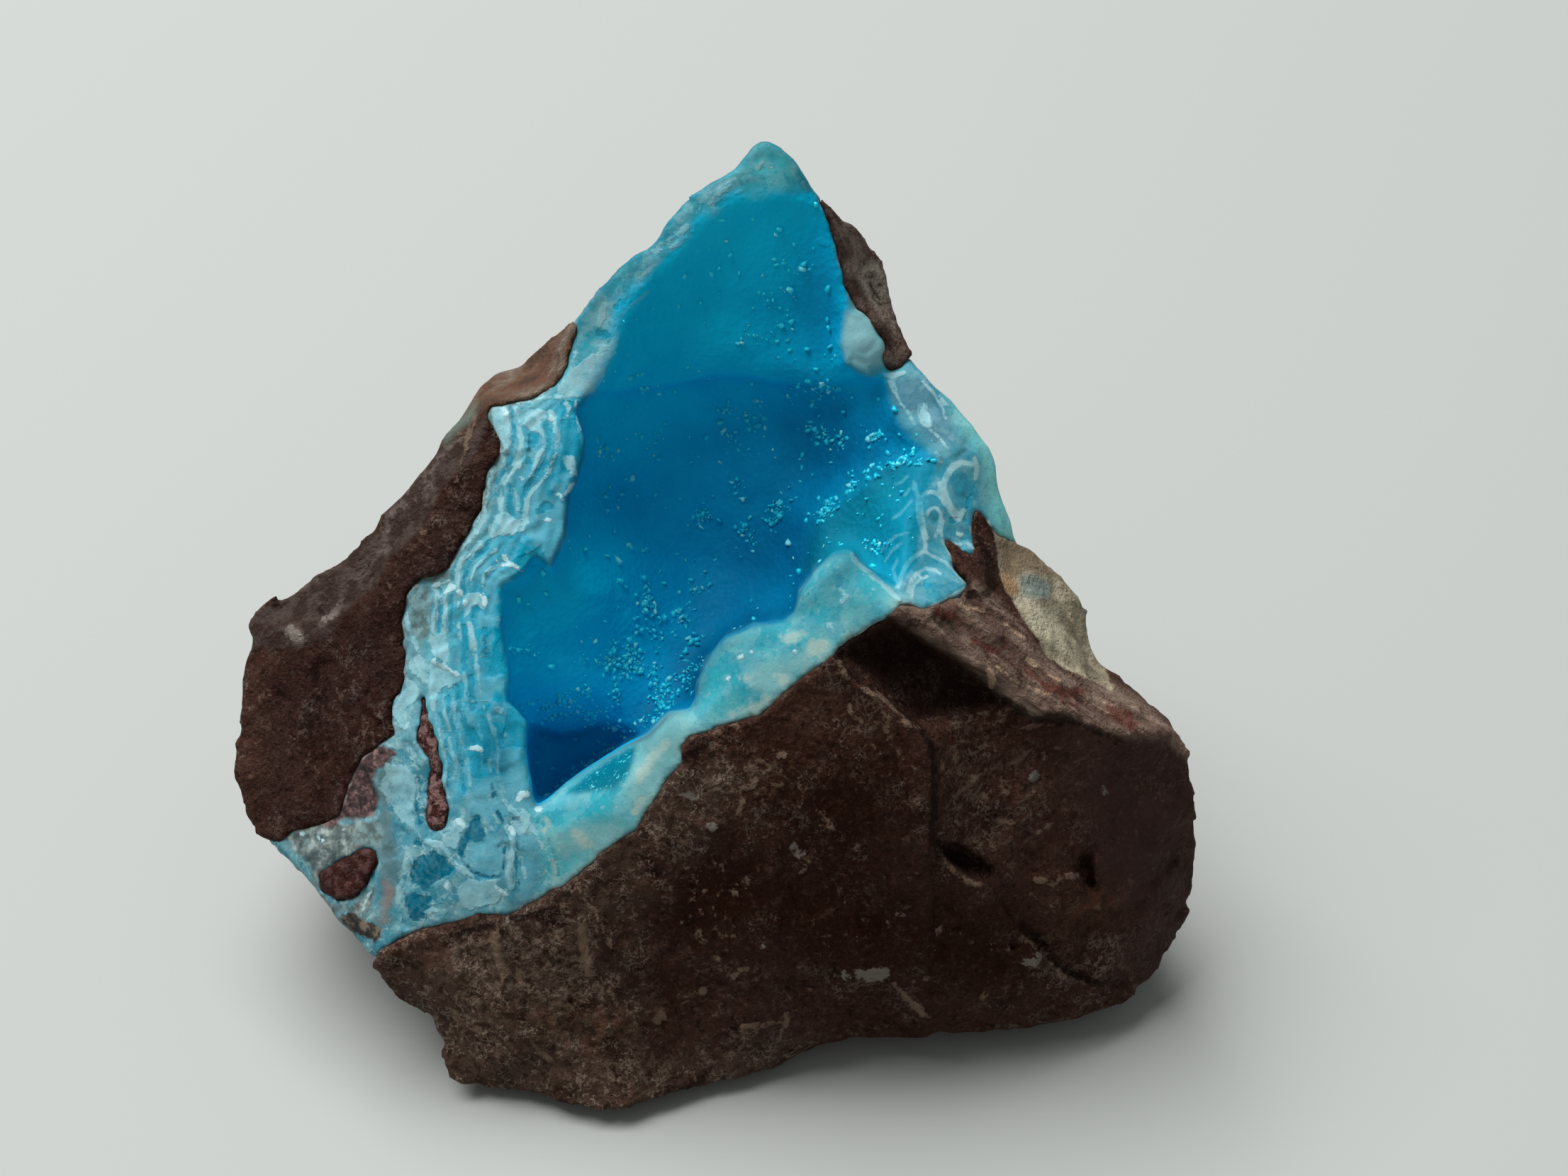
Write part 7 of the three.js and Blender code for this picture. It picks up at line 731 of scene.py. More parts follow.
THREAD_S = [
    [(1371, 655, 3), (1356, 652, 3.6), (1344, 658, 4.4), (1335, 672, 4.4), (1330, 686, 4.6), (1333, 702, 5.2), (1342, 718, 5.2), (1352, 731, 4.6), (1360, 720, 3.2)],
    [(1325, 682, 3), (1329, 697, 3.4), (1333, 711, 3.4)], [(1375, 646, 2.4), (1378, 660, 3.2), (1376, 676, 2.2)],
    [(1290, 679, 2.6), (1291, 689, 2.6), (1296, 702, 2.2), (1294, 718, 2.2), (1296, 735, 2.2), (1302, 752, 2.4), (1306, 769, 2.6), (1304, 777, 2.8), (1289, 786, 2.8), (1279, 796, 2.6), (1272, 811, 2.4), (1266, 828, 2.4)],
    [(1302, 697, 2.4), (1310, 694, 2.6), (1321, 695, 2.4), (1328, 702, 2)], [(1302, 698, 1.8), (1300, 718, 1.8), (1304, 744, 1.8), (1308, 760, 1.6)],
    [(1308, 727, 1.8), (1312, 718, 2), (1321, 716, 2.2), (1328, 725, 2.2), (1325, 744, 1.8), (1319, 757, 1.6)], [(1331, 735, 1.8), (1327, 748, 1.8), (1329, 757, 1.5)],
    [(1281, 834, 2), (1285, 819, 2), (1293, 809, 2.2), (1306, 802, 2.2), (1319, 804, 2), (1327, 810, 1.6)], [(1286, 842, 1.8), (1288, 828, 1.8), (1298, 817, 2), (1308, 813, 1.8)],
    [(1306, 779, 2), (1319, 786, 2), (1335, 794, 2), (1348, 807, 2), (1361, 821, 2)], [(1329, 762, 2), (1337, 774, 2.2), (1348, 794, 1.8), (1361, 811, 1.8), (1364, 822, 2.4)],
    [(1260, 731, 1.6), (1270, 725, 1.8), (1279, 714, 1.6), (1287, 704, 1.5)], [(1243, 777, 1.4), (1250, 768, 1.6), (1264, 756, 1.6), (1281, 752, 1.4)],
    [(1249, 791, 1.4), (1258, 777, 1.6), (1270, 767, 1.6)], [(1264, 820, 1.5), (1260, 803, 1.6), (1266, 790, 1.5)], [(1276, 700, 1.4), (1282, 690, 1.6)], [(1262, 684, 1.4), (1272, 680, 1.6), (1280, 672, 1.4)],
    [(1270, 850, 2), (1283, 851, 2.2), (1298, 859, 2), (1309, 864, 2), (1316, 853, 2), (1327, 849, 2), (1344, 840, 2.2), (1361, 830, 2)],
    [(1268, 565, 1.6), (1280, 580, 1.8), (1290, 598, 1.6)], [(1300, 535, 1.6), (1318, 556, 1.6), (1330, 576, 1.6), (1334, 590, 1.5)], [(1312, 606, 1.6), (1326, 618, 1.6), (1336, 632, 1.5)],
    [(872, 452, 1.8), (884, 436, 2), (900, 424, 2), (915, 412, 1.8)], [(902, 392, 1.8), (916, 380, 2), (930, 366, 1.8)], [(948, 352, 1.6), (962, 344, 2), (974, 332, 1.8)], [(1008, 268, 1.6), (1022, 258, 1.8), (1040, 250, 1.6)],
]
PALE_A = [
    [(690, 572), (712, 572), (719, 585), (719, 600), (718, 620), (714, 634), (708, 625), (700, 612), (693, 590)],
    [(740, 580), (758, 575), (772, 578), (772, 590), (765, 594), (758, 601), (748, 604), (742, 595)],
    [(700, 728), (712, 722), (725, 732), (736, 735), (733, 750), (722, 755), (705, 755), (690, 760), (690, 745)],
    [(795, 645), (808, 644), (812, 658), (815, 672), (805, 672), (797, 655)],
    [(660, 838), (675, 834), (686, 843), (689, 855), (682, 862), (674, 852), (665, 856), (662, 866), (655, 872), (655, 850)],
    [(606, 895), (630, 895), (633, 915), (632, 935), (625, 935), (612, 925), (605, 910)],
    [(608, 930), (625, 938), (645, 948), (652, 958), (642, 966), (625, 970), (612, 985), (604, 990), (603, 955)],
    [(576, 935), (590, 925), (603, 930), (603, 960), (598, 972), (590, 955), (580, 952)],
    [(575, 955), (585, 965), (592, 975), (588, 985), (575, 1000), (578, 1020), (572, 1030), (560, 1025), (556, 1012), (548, 1005), (556, 995), (570, 975)],
    [(545, 1078), (565, 1078), (585, 1095), (590, 1108), (582, 1140), (586, 1172), (575, 1165), (560, 1150), (540, 1120), (533, 1108), (545, 1095)],
    [(640, 1160), (652, 1152), (661, 1165), (650, 1175), (640, 1172)], [(625, 1178), (640, 1170), (650, 1180), (645, 1200), (635, 1195), (628, 1190)],
    [(735, 1140), (748, 1150), (745, 1175), (735, 1178), (725, 1172), (720, 1160), (735, 1160)],
    [(645, 1252), (660, 1240), (700, 1243), (712, 1258), (700, 1275), (660, 1285), (648, 1275)], [(625, 1255), (632, 1240), (637, 1243), (636, 1258)],
    [(838, 500), (856, 498), (866, 482), (876, 478), (868, 500), (855, 520), (846, 545), (838, 556), (800, 560), (786, 552), (793, 536), (808, 520), (820, 510)],
    [(1297, 572), (1306, 571), (1313, 590), (1314, 602), (1303, 602), (1296, 590)],
]
BRIGHT_S = [
    [(708, 577, 3), (714, 584, 3)], [(775, 588, 3), (780, 592, 3)], [(728, 676, 1.5), (733, 674, 2.5), (738, 676, 1.6)], [(700, 790, 2), (710, 796, 3.4), (720, 797, 3), (730, 801, 2), (738, 806, 1.8)],
    [(713, 783, 2.5), (716, 793, 3)], [(785, 697, 2.2), (793, 702, 2.8), (803, 692, 2.5), (810, 682, 1.6)], [(760, 732, 2), (775, 734, 2.4)],
    [(614, 826, 2.5), (622, 823, 2.6), (635, 820, 2)], [(628, 836, 2.4), (634, 829, 3.4), (641, 829, 3.4), (650, 837, 2.6)],
    [(612, 932, 3), (622, 938, 3), (634, 944, 2.5), (646, 953, 2)], [(661, 1056, 2.5), (672, 1055, 3), (680, 1059, 2)], [(548, 1003, 3), (553, 1008, 3)],
    [(736, 1121, 5), (743, 1121, 4)], [(733, 1128, 3)], [(648, 1160, 5), (654, 1165, 4)], [(720, 1170, 3), (724, 1178, 3)], [(700, 1252, 3), (713, 1262, 5)],
    [(631, 1246, 1.8), (630, 1254, 1.8)], [(523, 1258, 2), (517, 1270, 2.4), (511, 1283, 2)], [(1350, 754, 3), (1355, 755, 3)], [(1192, 838, 2)],
    [(1042, 928, 0.8), (1048, 925, 1.0)], [(1060, 920, 0.9)], [(1121, 919, 1.8)], [(1083, 232, 2.5), (1087, 236, 2)], [(1027, 957, 1.5)],
    [(820, 1124, 2.5)], [(760, 1141, 3)], [(679, 840, 3), (684, 852, 3)], [(656, 852, 3)],
    [(448, 1180, 2.5), (453, 1186, 2)], [(425, 1176, 2)], [(484, 1172, 2)],
]
MID_S = [[(760, 640, 3), (780, 646, 2)]]
MID_A = [
    [(745, 700), (760, 695), (790, 705), (800, 715), (798, 745), (790, 775), (776, 797), (768, 785), (762, 772), (752, 762), (742, 748), (741, 725)],
    [(775, 678), (800, 676), (812, 682), (800, 700), (793, 704), (785, 697), (775, 690)],
    [(686, 815), (700, 806), (725, 803), (722, 820), (704, 822), (702, 840), (700, 860), (704, 885), (672, 886), (672, 870), (690, 862), (690, 846), (680, 835)],
    [(678, 955), (712, 955), (714, 962), (715, 975), (712, 992), (705, 988), (700, 978), (690, 990), (678, 992)],
    [(712, 1060), (738, 1062), (741, 1090), (738, 1108), (712, 1105), (710, 1085)],
    [(660, 1125), (672, 1110), (685, 1098), (700, 1092), (735, 1095), (745, 1120), (752, 1140), (735, 1150), (715, 1150), (690, 1165), (672, 1150)],
    [(665, 1190), (685, 1180), (700, 1178), (710, 1190), (712, 1210), (705, 1235), (690, 1238), (670, 1230), (655, 1215), (660, 1200)],
    [(735, 1180), (760, 1185), (770, 1215), (768, 1250), (740, 1268), (728, 1262), (730, 1220), (740, 1200)],
    [(1258, 590), (1275, 582), (1295, 590), (1295, 603), (1260, 604)], [(1262, 690), (1285, 672), (1288, 720), (1290, 770), (1270, 790), (1262, 770)],
]
BLUE_S = [
    [(722, 575, 2), (724, 590, 2.5), (725, 610, 3), (723, 630, 2.5), (721, 648, 3), (714, 660, 3), (704, 672, 2.5), (699, 685, 2.5), (700, 700, 2.5)],
    [(768, 590, 2), (772, 605, 3), (774, 620, 3), (772, 640, 3.5), (768, 655, 4), (760, 664, 4), (752, 676, 3.5), (742, 688, 3.5), (737, 705, 2.5), (736, 724, 2.5)],
    [(718, 685, 3), (719, 700, 4), (720, 715, 4), (724, 728, 2.5)], [(706, 752, 1.5), (716, 757, 1.2)], [(722, 760, 2), (730, 752, 2), (734, 743, 1.5)],
    [(690, 765, 4), (678, 780, 4), (663, 792, 3.2), (657, 805, 2.8), (655, 820, 2.8), (650, 832, 2)], [(641, 792, 1.8), (640, 806, 2), (638, 818, 2)],
    [(621, 832, 3.2), (621, 850, 3.4), (620, 870, 3.4), (617, 892, 3.2)], [(636, 842, 3.8), (637, 860, 4), (636, 880, 4.4), (636, 892, 4)],
    [(655, 885, 3.5), (656, 905, 3.5), (655, 930, 3.5), (655, 945, 3)], [(683, 890, 5), (686, 910, 4), (688, 930, 3)],
    [(632, 985, 3.2), (634, 1005, 3), (641, 1030, 2.4), (644, 1048, 2), (650, 1066, 2.4), (652, 1085, 3.4), (652, 1105, 4), (655, 1120, 3)],
    [(645, 968, 5), (647, 985, 5), (650, 1005, 5), (655, 1020, 6), (665, 1035, 7), (672, 1050, 8), (672, 1075, 9), (672, 1095, 8)],
    [(665, 955, 4), (666, 975, 4), (668, 1000, 6)], [(680, 1010, 5), (685, 1030, 6), (688, 1055, 6), (685, 1075, 4)], [(695, 945, 5), (700, 935, 6), (703, 915, 5), (704, 900, 3)],
    [(618, 1000, 2), (624, 1020, 2.4), (629, 1040, 2.2), (632, 1060, 2.2), (634, 1078, 2.2), (633, 1095, 2.4), (632, 1110, 2.4)], [(590, 1100, 3), (588, 1120, 2.6), (587, 1138, 2.6), (592, 1160, 2.4)],
    [(712, 1195, 1.1), (712, 1215, 1.3), (706, 1236, 1.2), (690, 1239, 1.1), (668, 1232, 1.1), (656, 1218, 1)], [(772, 1185, 1.3), (780, 1200, 1.8), (786, 1220, 1.8), (788, 1235, 1.3)],
    [(726, 1185, 1.5), (730, 1200, 1.5), (728, 1225, 1.6), (730, 1258, 1.6)], [(588, 1188, 4), (594, 1190, 3)], [(640, 835, 1), (652, 828, 2.4), (655, 836, 2)], [(668, 856, 2.6), (667, 872, 3)],
    [(700, 1145, 4), (706, 1158, 4)], [(694, 1108, 3), (698, 1125, 3)], [(1340, 736, 3.5), (1350, 733, 3)], [(1352, 688, 4)], [(1308, 812, 4), (1304, 826, 6), (1312, 826, 6)],
    [(1368, 700, 3), (1362, 735, 4)], [(1012, 290, 6), (1022, 286, 5)], [(846, 470, 5), (858, 474, 4)], [(870, 432, 5), (880, 425, 5)], [(895, 338, 2), (905, 345, 2)],
    [(1242, 780, 2), (1252, 795, 2)], [(750, 560, 2), (741, 577, 2), (735, 576, 1.5)],
]
BLUE_A = [
    [(746, 612), (756, 608), (762, 615), (760, 628), (752, 632), (745, 628)], [(742, 640), (750, 645), (752, 655), (744, 664), (739, 655)],
    [(762, 710), (776, 708), (780, 716), (770, 721), (763, 727), (757, 721)],
    [(790, 590), (812, 592), (820, 625), (818, 655), (806, 645), (795, 640), (790, 620)], [(752, 778), (764, 770), (768, 785), (770, 800), (745, 800), (728, 798), (722, 790), (740, 785)],
    [(672, 1150), (680, 1160), (685, 1180), (675, 1188), (662, 1186), (655, 1205), (650, 1215), (643, 1200), (650, 1185), (660, 1170), (668, 1155)],
    [(582, 1215), (600, 1204), (614, 1200), (628, 1210), (645, 1222), (635, 1235), (615, 1245), (598, 1258), (590, 1250), (582, 1240)],
    [(573, 1262), (595, 1262), (610, 1268), (605, 1280), (600, 1297), (585, 1300), (572, 1290)], [(723, 1153), (731, 1154), (732, 1160), (726, 1163)],
    [(718, 1000), (740, 1010), (742, 1055), (712, 1055), (706, 1040), (712, 1020)], [(792, 562), (812, 566), (814, 590), (806, 588), (792, 584)],
]
CREAM_S = [[(1048, 958, 3), (1057, 966, 4), (1054, 972, 3)], [(1100, 952, 4), (1108, 960, 5)], [(780, 1215, 3), (784, 1235, 4), (780, 1250, 4)], [(772, 1155, 3), (770, 1175, 3)], [(812, 1178, 9), (825, 1190, 8)], [(1060, 1000, 9), (1080, 988, 7), (1035, 1010, 6)],
           [(1150, 915, 12), (1165, 908, 8)], [(920, 1070, 12), (935, 1050, 10), (905, 1095, 8)], [(905, 1130, 8), (895, 1145, 5)], [(1110, 900, 10), (1130, 893, 8)], [(1190, 955, 4)]]
MURK_S = [[(587, 890, 1.5), (591, 903, 2.5), (594, 918, 1.5), (596, 932, 1.5)], [(591, 958, 1.5), (597, 975, 2)], [(605, 843, 4), (600, 848, 4)], [(596, 888, 2), (600, 905, 2)], [(505, 1175, 5), (520, 1180, 8)],
          [(436, 1190, 6)], [(585, 826, 4), (588, 845, 4), (586, 862, 3)], [(618, 812, 3), (630, 812, 2)]]
MURK_A = [[(597, 826), (606, 830), (606, 870), (606, 895), (596, 905), (585, 895), (576, 880), (574, 862), (580, 840)], [(600, 812), (625, 805), (638, 808), (636, 817), (615, 820), (600, 826)],
          [(500, 1165), (535, 1160), (540, 1190), (520, 1195), (500, 1195)]]
ROSY_S = [[(545, 1245, 5), (548, 1262, 6), (543, 1280, 3), (541, 1298, 2)], [(455, 1238, 3), (450, 1232, 2)], [(470, 1295, 3), (478, 1288, 2)], [(500, 1196, 2), (508, 1192, 2)]]
GREY_A = [[(398, 1176), (407, 1174), (423, 1163), (447, 1158), (468, 1158), (487, 1161), (506, 1158), (525, 1158), (535, 1161), (536, 1188), (522, 1197), (503, 1200), (498, 1206), (480, 1212), (468, 1222), (448, 1233), (442, 1241), (434, 1220), (420, 1204), (404, 1188)],
          [(440, 1240), (450, 1258), (468, 1274), (490, 1278), (512, 1266), (528, 1250), (531, 1262), (522, 1285), (510, 1294), (490, 1286), (474, 1290), (466, 1300), (450, 1280)]]
PINKISH_A = [[(541, 1051), (557, 1064), (543, 1080), (530, 1088), (525, 1099), (533, 1112), (538, 1129), (533, 1145), (522, 1155), (503, 1155), (480, 1162), (455, 1164), (425, 1166), (400, 1178), (380, 1170), (420, 1150), (455, 1140), (470, 1120), (480, 1100), (500, 1075), (520, 1050)]]
WAN_A = [[(536, 1160), (533, 1112), (530, 1092), (548, 1080), (560, 1085), (556, 1110), (548, 1140), (556, 1170), (562, 1200), (560, 1250), (552, 1300), (535, 1312), (530, 1300), (536, 1250), (534, 1200)]]
MILKY_A = [[(905, 1012), (930, 1004), (958, 1000), (972, 1018), (962, 1055), (948, 1090), (915, 1135), (896, 1145), (884, 1112), (888, 1075), (896, 1040)], [(770, 1175), (800, 1165), (850, 1160), (870, 1170), (830, 1200), (790, 1215), (775, 1200)], [(1075, 935), (1110, 925), (1150, 915), (1140, 940), (1090, 975), (1060, 985), (1055, 960)]]
YELLOW_A = [(1400, 745), (1440, 765), (1490, 800), (1540, 850), (1545, 900), (1570, 975), (1529, 954), (1499, 941), (1474, 924), (1466, 903), (1449, 882), (1436, 861), (1428, 845), (1419, 832), (1411, 811), (1409, 790), (1407, 769)]
UMBER_A = [[(474, 1297), (482, 1289), (495, 1289), (509, 1295), (519, 1303), (533, 1311), (534, 1321), (529, 1327), (514, 1322), (498, 1318), (485, 1312)]]
SLIVER = [(1154, 277), (1181, 295), (1215, 325), (1242, 355), (1254, 384), (1262, 418), (1268, 449), (1274, 476), (1282, 490), (1278, 520), (1262, 526), (1244, 512), (1250, 499), (1250, 480), (1236, 459), (1220, 444), (1205, 424), (1198, 400), (1189, 370), (1178, 340), (1166, 308)]


BAND_N = 6.4
_cd = np.clip(-SD_BED, 0, 40)
_vd = np.clip(SD_HOLLOW, 0, 40)
T_RIM = (_cd / np.maximum(_cd + _vd, 0.3)).astype(np.float32)


def plate_fields(P):
    a, b, d = unplace(P)
    s = (REACH + d) / REACH
    wall = sample(D_WALL, a, b)
    g = sample(G_WALL, a, b)
    return a, b, d, s, wall, g


def relief_bands(t, P):
    """Height of the broken bands across the crust, mm."""
    q = t * BAND_N + 0.5 * perlin(P, 3.2, 61) + 0.22 * perlin(P, 1.1, 62)
    return 0.10 * np.cos(2 * np.pi * q) + 0.03 * np.cos(2 * np.pi * q * 2 + 1.0)


# ------------------------------------------------------------------ crust
def build_crust():
    h = 0.28
    lo = np.floor((LO - 2.5) / h).astype(int)
    hi = np.ceil((HI + 2.5) / h).astype(int)
    hi[0] = int(np.ceil(31.0 / h))
    lo[2] = int(np.floor(5.0 / h))
    A, tr = form_field(h, lo, hi)
    S = blur3(A, 0.5 / h) - 0.16
    idx = np.nonzero(A < 1.8)
    P = grid_points(lo, idx, h)
    a, b, d = unplace(P)
    sel = sample(SD_BED, a, b) < 1.5
    idx = tuple(i[sel] for i in idx)
    P, a, b, d = P[sel], a[sel], b[sel], d[sel]
    s = (REACH + d) / REACH
    wall = sample(D_WALL, a, b)
    sel = d < wall + CRUST_T + 3.0
    idx = tuple(i[sel] for i in idx)
    P, a, b, d, s, wall = P[sel], a[sel], b[sel], d[sel], s[sel], wall[sel]
    g = sample(G_WALL, a, b)
    bed2 = sample(SD_BED, a, b) * s + 0.24 * perlin(P, 1.7, 53) + 0.12 * perlin(P, 0.7, 54)
    hol2 = sample(SD_HOLLOW, a, b) * s
    body = S[idx]
    bed = smax(bed2, (d - wall - CRUST_T) * g, 1.0)
    zlip = sample(ZLIP, a, b)
    hole = smax(hol2, (d - wall) * g, 2.2)            # negative inside the hollow
    raw = np.maximum(np.maximum(body, -hole), bed)
    m = (np.abs(raw) < 1.1) & (bed < 1.0)
    Q = P[m]
    n1 = fbm(Q, 7.0, 3, 3)
    n2 = fbm(Q, 1.6, 2, 9)
    c1, _ = chips(Q, 2.4, 5)
    f1, _, _, _ = cells(Q, 6.5, 8)
    f1b, _, _, _ = cells(Q, 2.1, 21)
    lump = (0.5 - f1 * f1) * 0.9
    lump2 = (0.5 - f1b * f1b)
    out_ = smoothstep(hol2[m], -0.6, 0.8)
    soft = np.maximum(zlip[m], sample(ZG, a[m], b[m]))
    soft = np.maximum(soft, 0.6 * np.maximum(sample(ZTOP, a[m], b[m]), sample(ZTIP, a[m], b[m])))
    zl = np.maximum(sample(ZL, a[m], b[m]), 0.25 * sample(ZTOP, a[m], b[m]))
    zp = np.maximum(sample(ZP, a[m], b[m]), 0.6 * sample(ZS, a[m], b[m]))
    t = sample(T_RIM, a[m], b[m])
    rim = out_ * (0.18 * n1 + (1 - soft) * (0.17 * c1 + 0.10 * n2) + soft * (0.30 * lump + 0.16 * lump2)
                  + zp * 0.16 * lump2 - zl * relief_bands(t, Q))
    body[m] += rim
    hole[m] += 0.30 * n1 + 0.30 * lump + 0.10 * lump2 + 0.04 * n2
    k = 0.7 + 0.6 * zlip
    f = smax(body, -hole, k)
    f = smax(f, bed, 0.4)
    cl = sample(SD_CLAST, a, b) * s + 0.30 * perlin(P, 1.3, 51) + 0.14 * perlin(P, 0.6, 52)
    f = smax(f, -(cl + 0.15), 0.3)
    out = np.full(A.shape, 9 * h, np.float32)
    out[idx] = np.clip(f, -9 * h, 9 * h)
    pts, tri, quads = polygonise(out, tr, lo, h, 0.0)
    return largest_part(pts, tri, quads)


# ---- broken relief of the rock's front, mm, positive outwards
F4 = area_mask([(1262, 852), (1300, 850), (1345, 845), (1375, 822), (1405, 842), (1435, 872), (1455, 905), (1500, 945), (1548, 952), (1610, 985), (1690, 1060), (1690, 1085), (1640, 1040), (1580, 1040), (1540, 1028), (1500, 1008), (1455, 1012), (1420, 988), (1392, 960), (1345, 926), (1300, 900), (1260, 872)], 0.5)
F5 = area_mask([(1398, 750), (1440, 765), (1490, 800), (1540, 850), (1545, 900), (1560, 950), (1500, 944), (1462, 920), (1442, 868), (1415, 838), (1407, 795)], 0.5)
F8 = area_mask([(640, 560), (680, 500), (810, 420), (830, 470), (800, 545), (745, 563), (690, 572), (660, 590)], 0.6)
BEVEL = area_mask([(300, 860), (360, 868), (400, 838), (470, 790), (540, 745), (545, 715), (620, 640), (690, 585), (672, 640), (620, 690), (600, 740), (545, 790), (535, 820), (500, 850), (460, 900), (420, 915), (380, 915), (330, 905)], 0.12)
# the recess under the shelf: pushed in by the relief and darkened in colour as painted shade
DARK = area_mask([(1180, 925), (1205, 900), (1262, 874), (1300, 903), (1345, 930), (1392, 964), (1420, 992), (1360, 1000), (1305, 1018), (1268, 998), (1232, 962), (1205, 942)], 0.8)
PEBBLY = area_mask([(545, 1345), (640, 1318), (720, 1300), (870, 1180), (960, 1070), (1030, 1090), (1010, 1180), (930, 1290), (900, 1380), (920, 1500), (1100, 1450), (1150, 1470), (1000, 1560), (850, 1590), (620, 1540), (590, 1430)], 2.0)
HACKLE = area_mask([(1322, 1050), (1400, 1000), (1500, 1010), (1540, 1060), (1500, 1130), (1440, 1190), (1330, 1185)], 1.6)
RIGHT = area_mask([(1480, 1040), (1650, 1040), (1720, 1100), (1720, 1300), (1620, 1400), (1560, 1390), (1590, 1290), (1540, 1240), (1520, 1130)], 2.0)
PINK = area_mask([(478, 1120), (500, 1085), (535, 1052), (556, 1040), (560, 1062), (535, 1085), (535, 1130), (520, 1155), (480, 1150)], 0.5)

SMOOTHY = area_mask([(500, 750), (600, 600), (690, 470), (800, 400), (900, 320), (960, 270), (970, 360), (860, 440), (820, 560), (700, 600), (640, 660), (560, 760)], 1.0)
SMOOTHY = np.maximum(SMOOTHY, 0.8 * area_mask(SLIVER, 1.2))

CREASE = [(1176, 922), (1215, 963), (1270, 1003), (1298, 1030), (1314, 1052), (1318, 1110), (1316, 1188)]
SHELF = [(1262, 868), (1300, 895), (1345, 923), (1390, 952), (1420, 987), (1455, 1010), (1500, 1005), (1545, 1022), (1580, 1037), (1640, 1036)]
GOUGE = [(1319, 1186), (1326, 1205), (1340, 1225), (1362, 1243), (1390, 1250)]
STEP2 = [(1428, 1300), (1446, 1325), (1468, 1348), (1488, 1368), (1515, 1380), (1552, 1388)]
STEP3 = [(1462, 1243), (1500, 1240), (1528, 1236), (1540, 1250), (1565, 1262), (1585, 1285), (1593, 1320)]
RIB1 = [(810, 1245), (825, 1270), (840, 1292), (850, 1320)]
VEIN = [(668, 590), (660, 625), (652, 655), (640, 690), (628, 725), (625, 760), (622, 795)]
TAN1 = [(703, 1308), (700, 1330), (704, 1350), (712, 1378)]
LASTL = [(1045, 1453), (1075, 1448), (1105, 1440), (1112, 1432), (1114, 1448), (1102, 1465), (1090, 1490)]
LIT = [(1190, 940), (1212, 962), (1240, 985), (1268, 1008), (1292, 1028)]

REL = np.zeros(GA.shape)
sd = side_of(CREASE)
REL += 1.5 * smoothstep(sd, -0.25, 0.30) * np.exp(-np.clip(sd, 0, 99) / 9.0) * np.exp(-(np.clip(-sd, 0, 99) / 3.0))
REL -= 1.5 * DARK
REL += 0.55 * np.exp(-(line_distance(ring(SHELF)) / 0.9) ** 2)
sd = side_of(GOUGE)                   # positive on the lower left
gouge = area_mask([(1320, 1184), (1345, 1190), (1378, 1208), (1402, 1226), (1394, 1240), (1366, 1236), (1345, 1218), (1328, 1202)], 0.35)
REL -= 1.7 * gouge
REL += 0.5 * np.exp(-(line_distance(ring(GOUGE)) / 0.5) ** 2)
REL -= 1.5 * area_mask([(1527, 1206), (1542, 1200), (1541, 1232), (1548, 1256), (1528, 1246), (1514, 1222)], 0.35)
REL += 0.45 * np.exp(-(line_distance(ring(STEP3[:3])) / 0.6) ** 2)
sd = side_of(STEP2)                   # positive on the lower left
REL += 0.75 * smoothstep(sd, -0.2, 0.3) * np.exp(-(np.abs(sd) / 5.0) ** 2)
REL -= 0.5 * area_mask([(1150, 1195), (1300, 1190), (1330, 1230), (1300, 1330), (1180, 1340), (1120, 1280)], 3.0)
REL += 0.6 * np.exp(-(line_distance(ring([(560, 1345), (640, 1400), (700, 1470), (780, 1530)])) / 3.5) ** 2)
REL += 0.5 * np.exp(-(line_distance(ring(LASTL)) / 0.4) ** 2)
REL += 0.4 * np.exp(-(line_distance(ring(TAN1)) / 0.9) ** 2)
REL += 0.35 * np.exp(-(line_distance(ring(RIB1)) / 0.5) ** 2)
sd = side_of([(358, 872), (400, 905), (460, 890), (520, 840), (545, 790), (600, 735), (640, 680), (672, 640), (690, 590)])
REL -= 0.15 * smoothstep(-sd, -0.6, 0.8) * BEVEL
for u, v, ru, rv, hh in [(1225, 1375, 20, 9, .5), (1457, 1356, 9, 7, .6), (1190, 1375, 7, 8, .4), (1296, 1140, 5, 9, .5), (1002, 1166, 9, 9, .5), (962, 1300, 5, 5, .4), (1075, 1333, 7, 5, .4), (410, 895, 26, 14, .5), (730, 1440, 40, 50, .5), (860, 1470, 40, 22, .4)]:
    REL += hh * spot(u, v, ru, rv)
REL += 0.35 * np.exp(-(line_distance(ring([(740, 1572), (800, 1583), (900, 1588), (1000, 1562), (1080, 1515)])) / 2.0) ** 2)
REL += 1.3 * spot(868, 1572, 62, 36) - 0.35 * spot(690, 1560, 40, 26)
REL = REL.astype(np.float32)

DIR4 = (math.cos(math.radians(-33)) * ACROSS + math.sin(math.radians(-33)) * UP)
DIRH = (math.cos(math.radians(36)) * ACROSS + math.sin(math.radians(36)) * UP)


def along(P, dir_, keep):
    """Squeeze coordinates along a direction so that noise comes out drawn along it."""
    dir_ = dir_.astype(np.float32)
    return P - np.outer(P @ dir_, dir_) * np.float32(1 - keep)
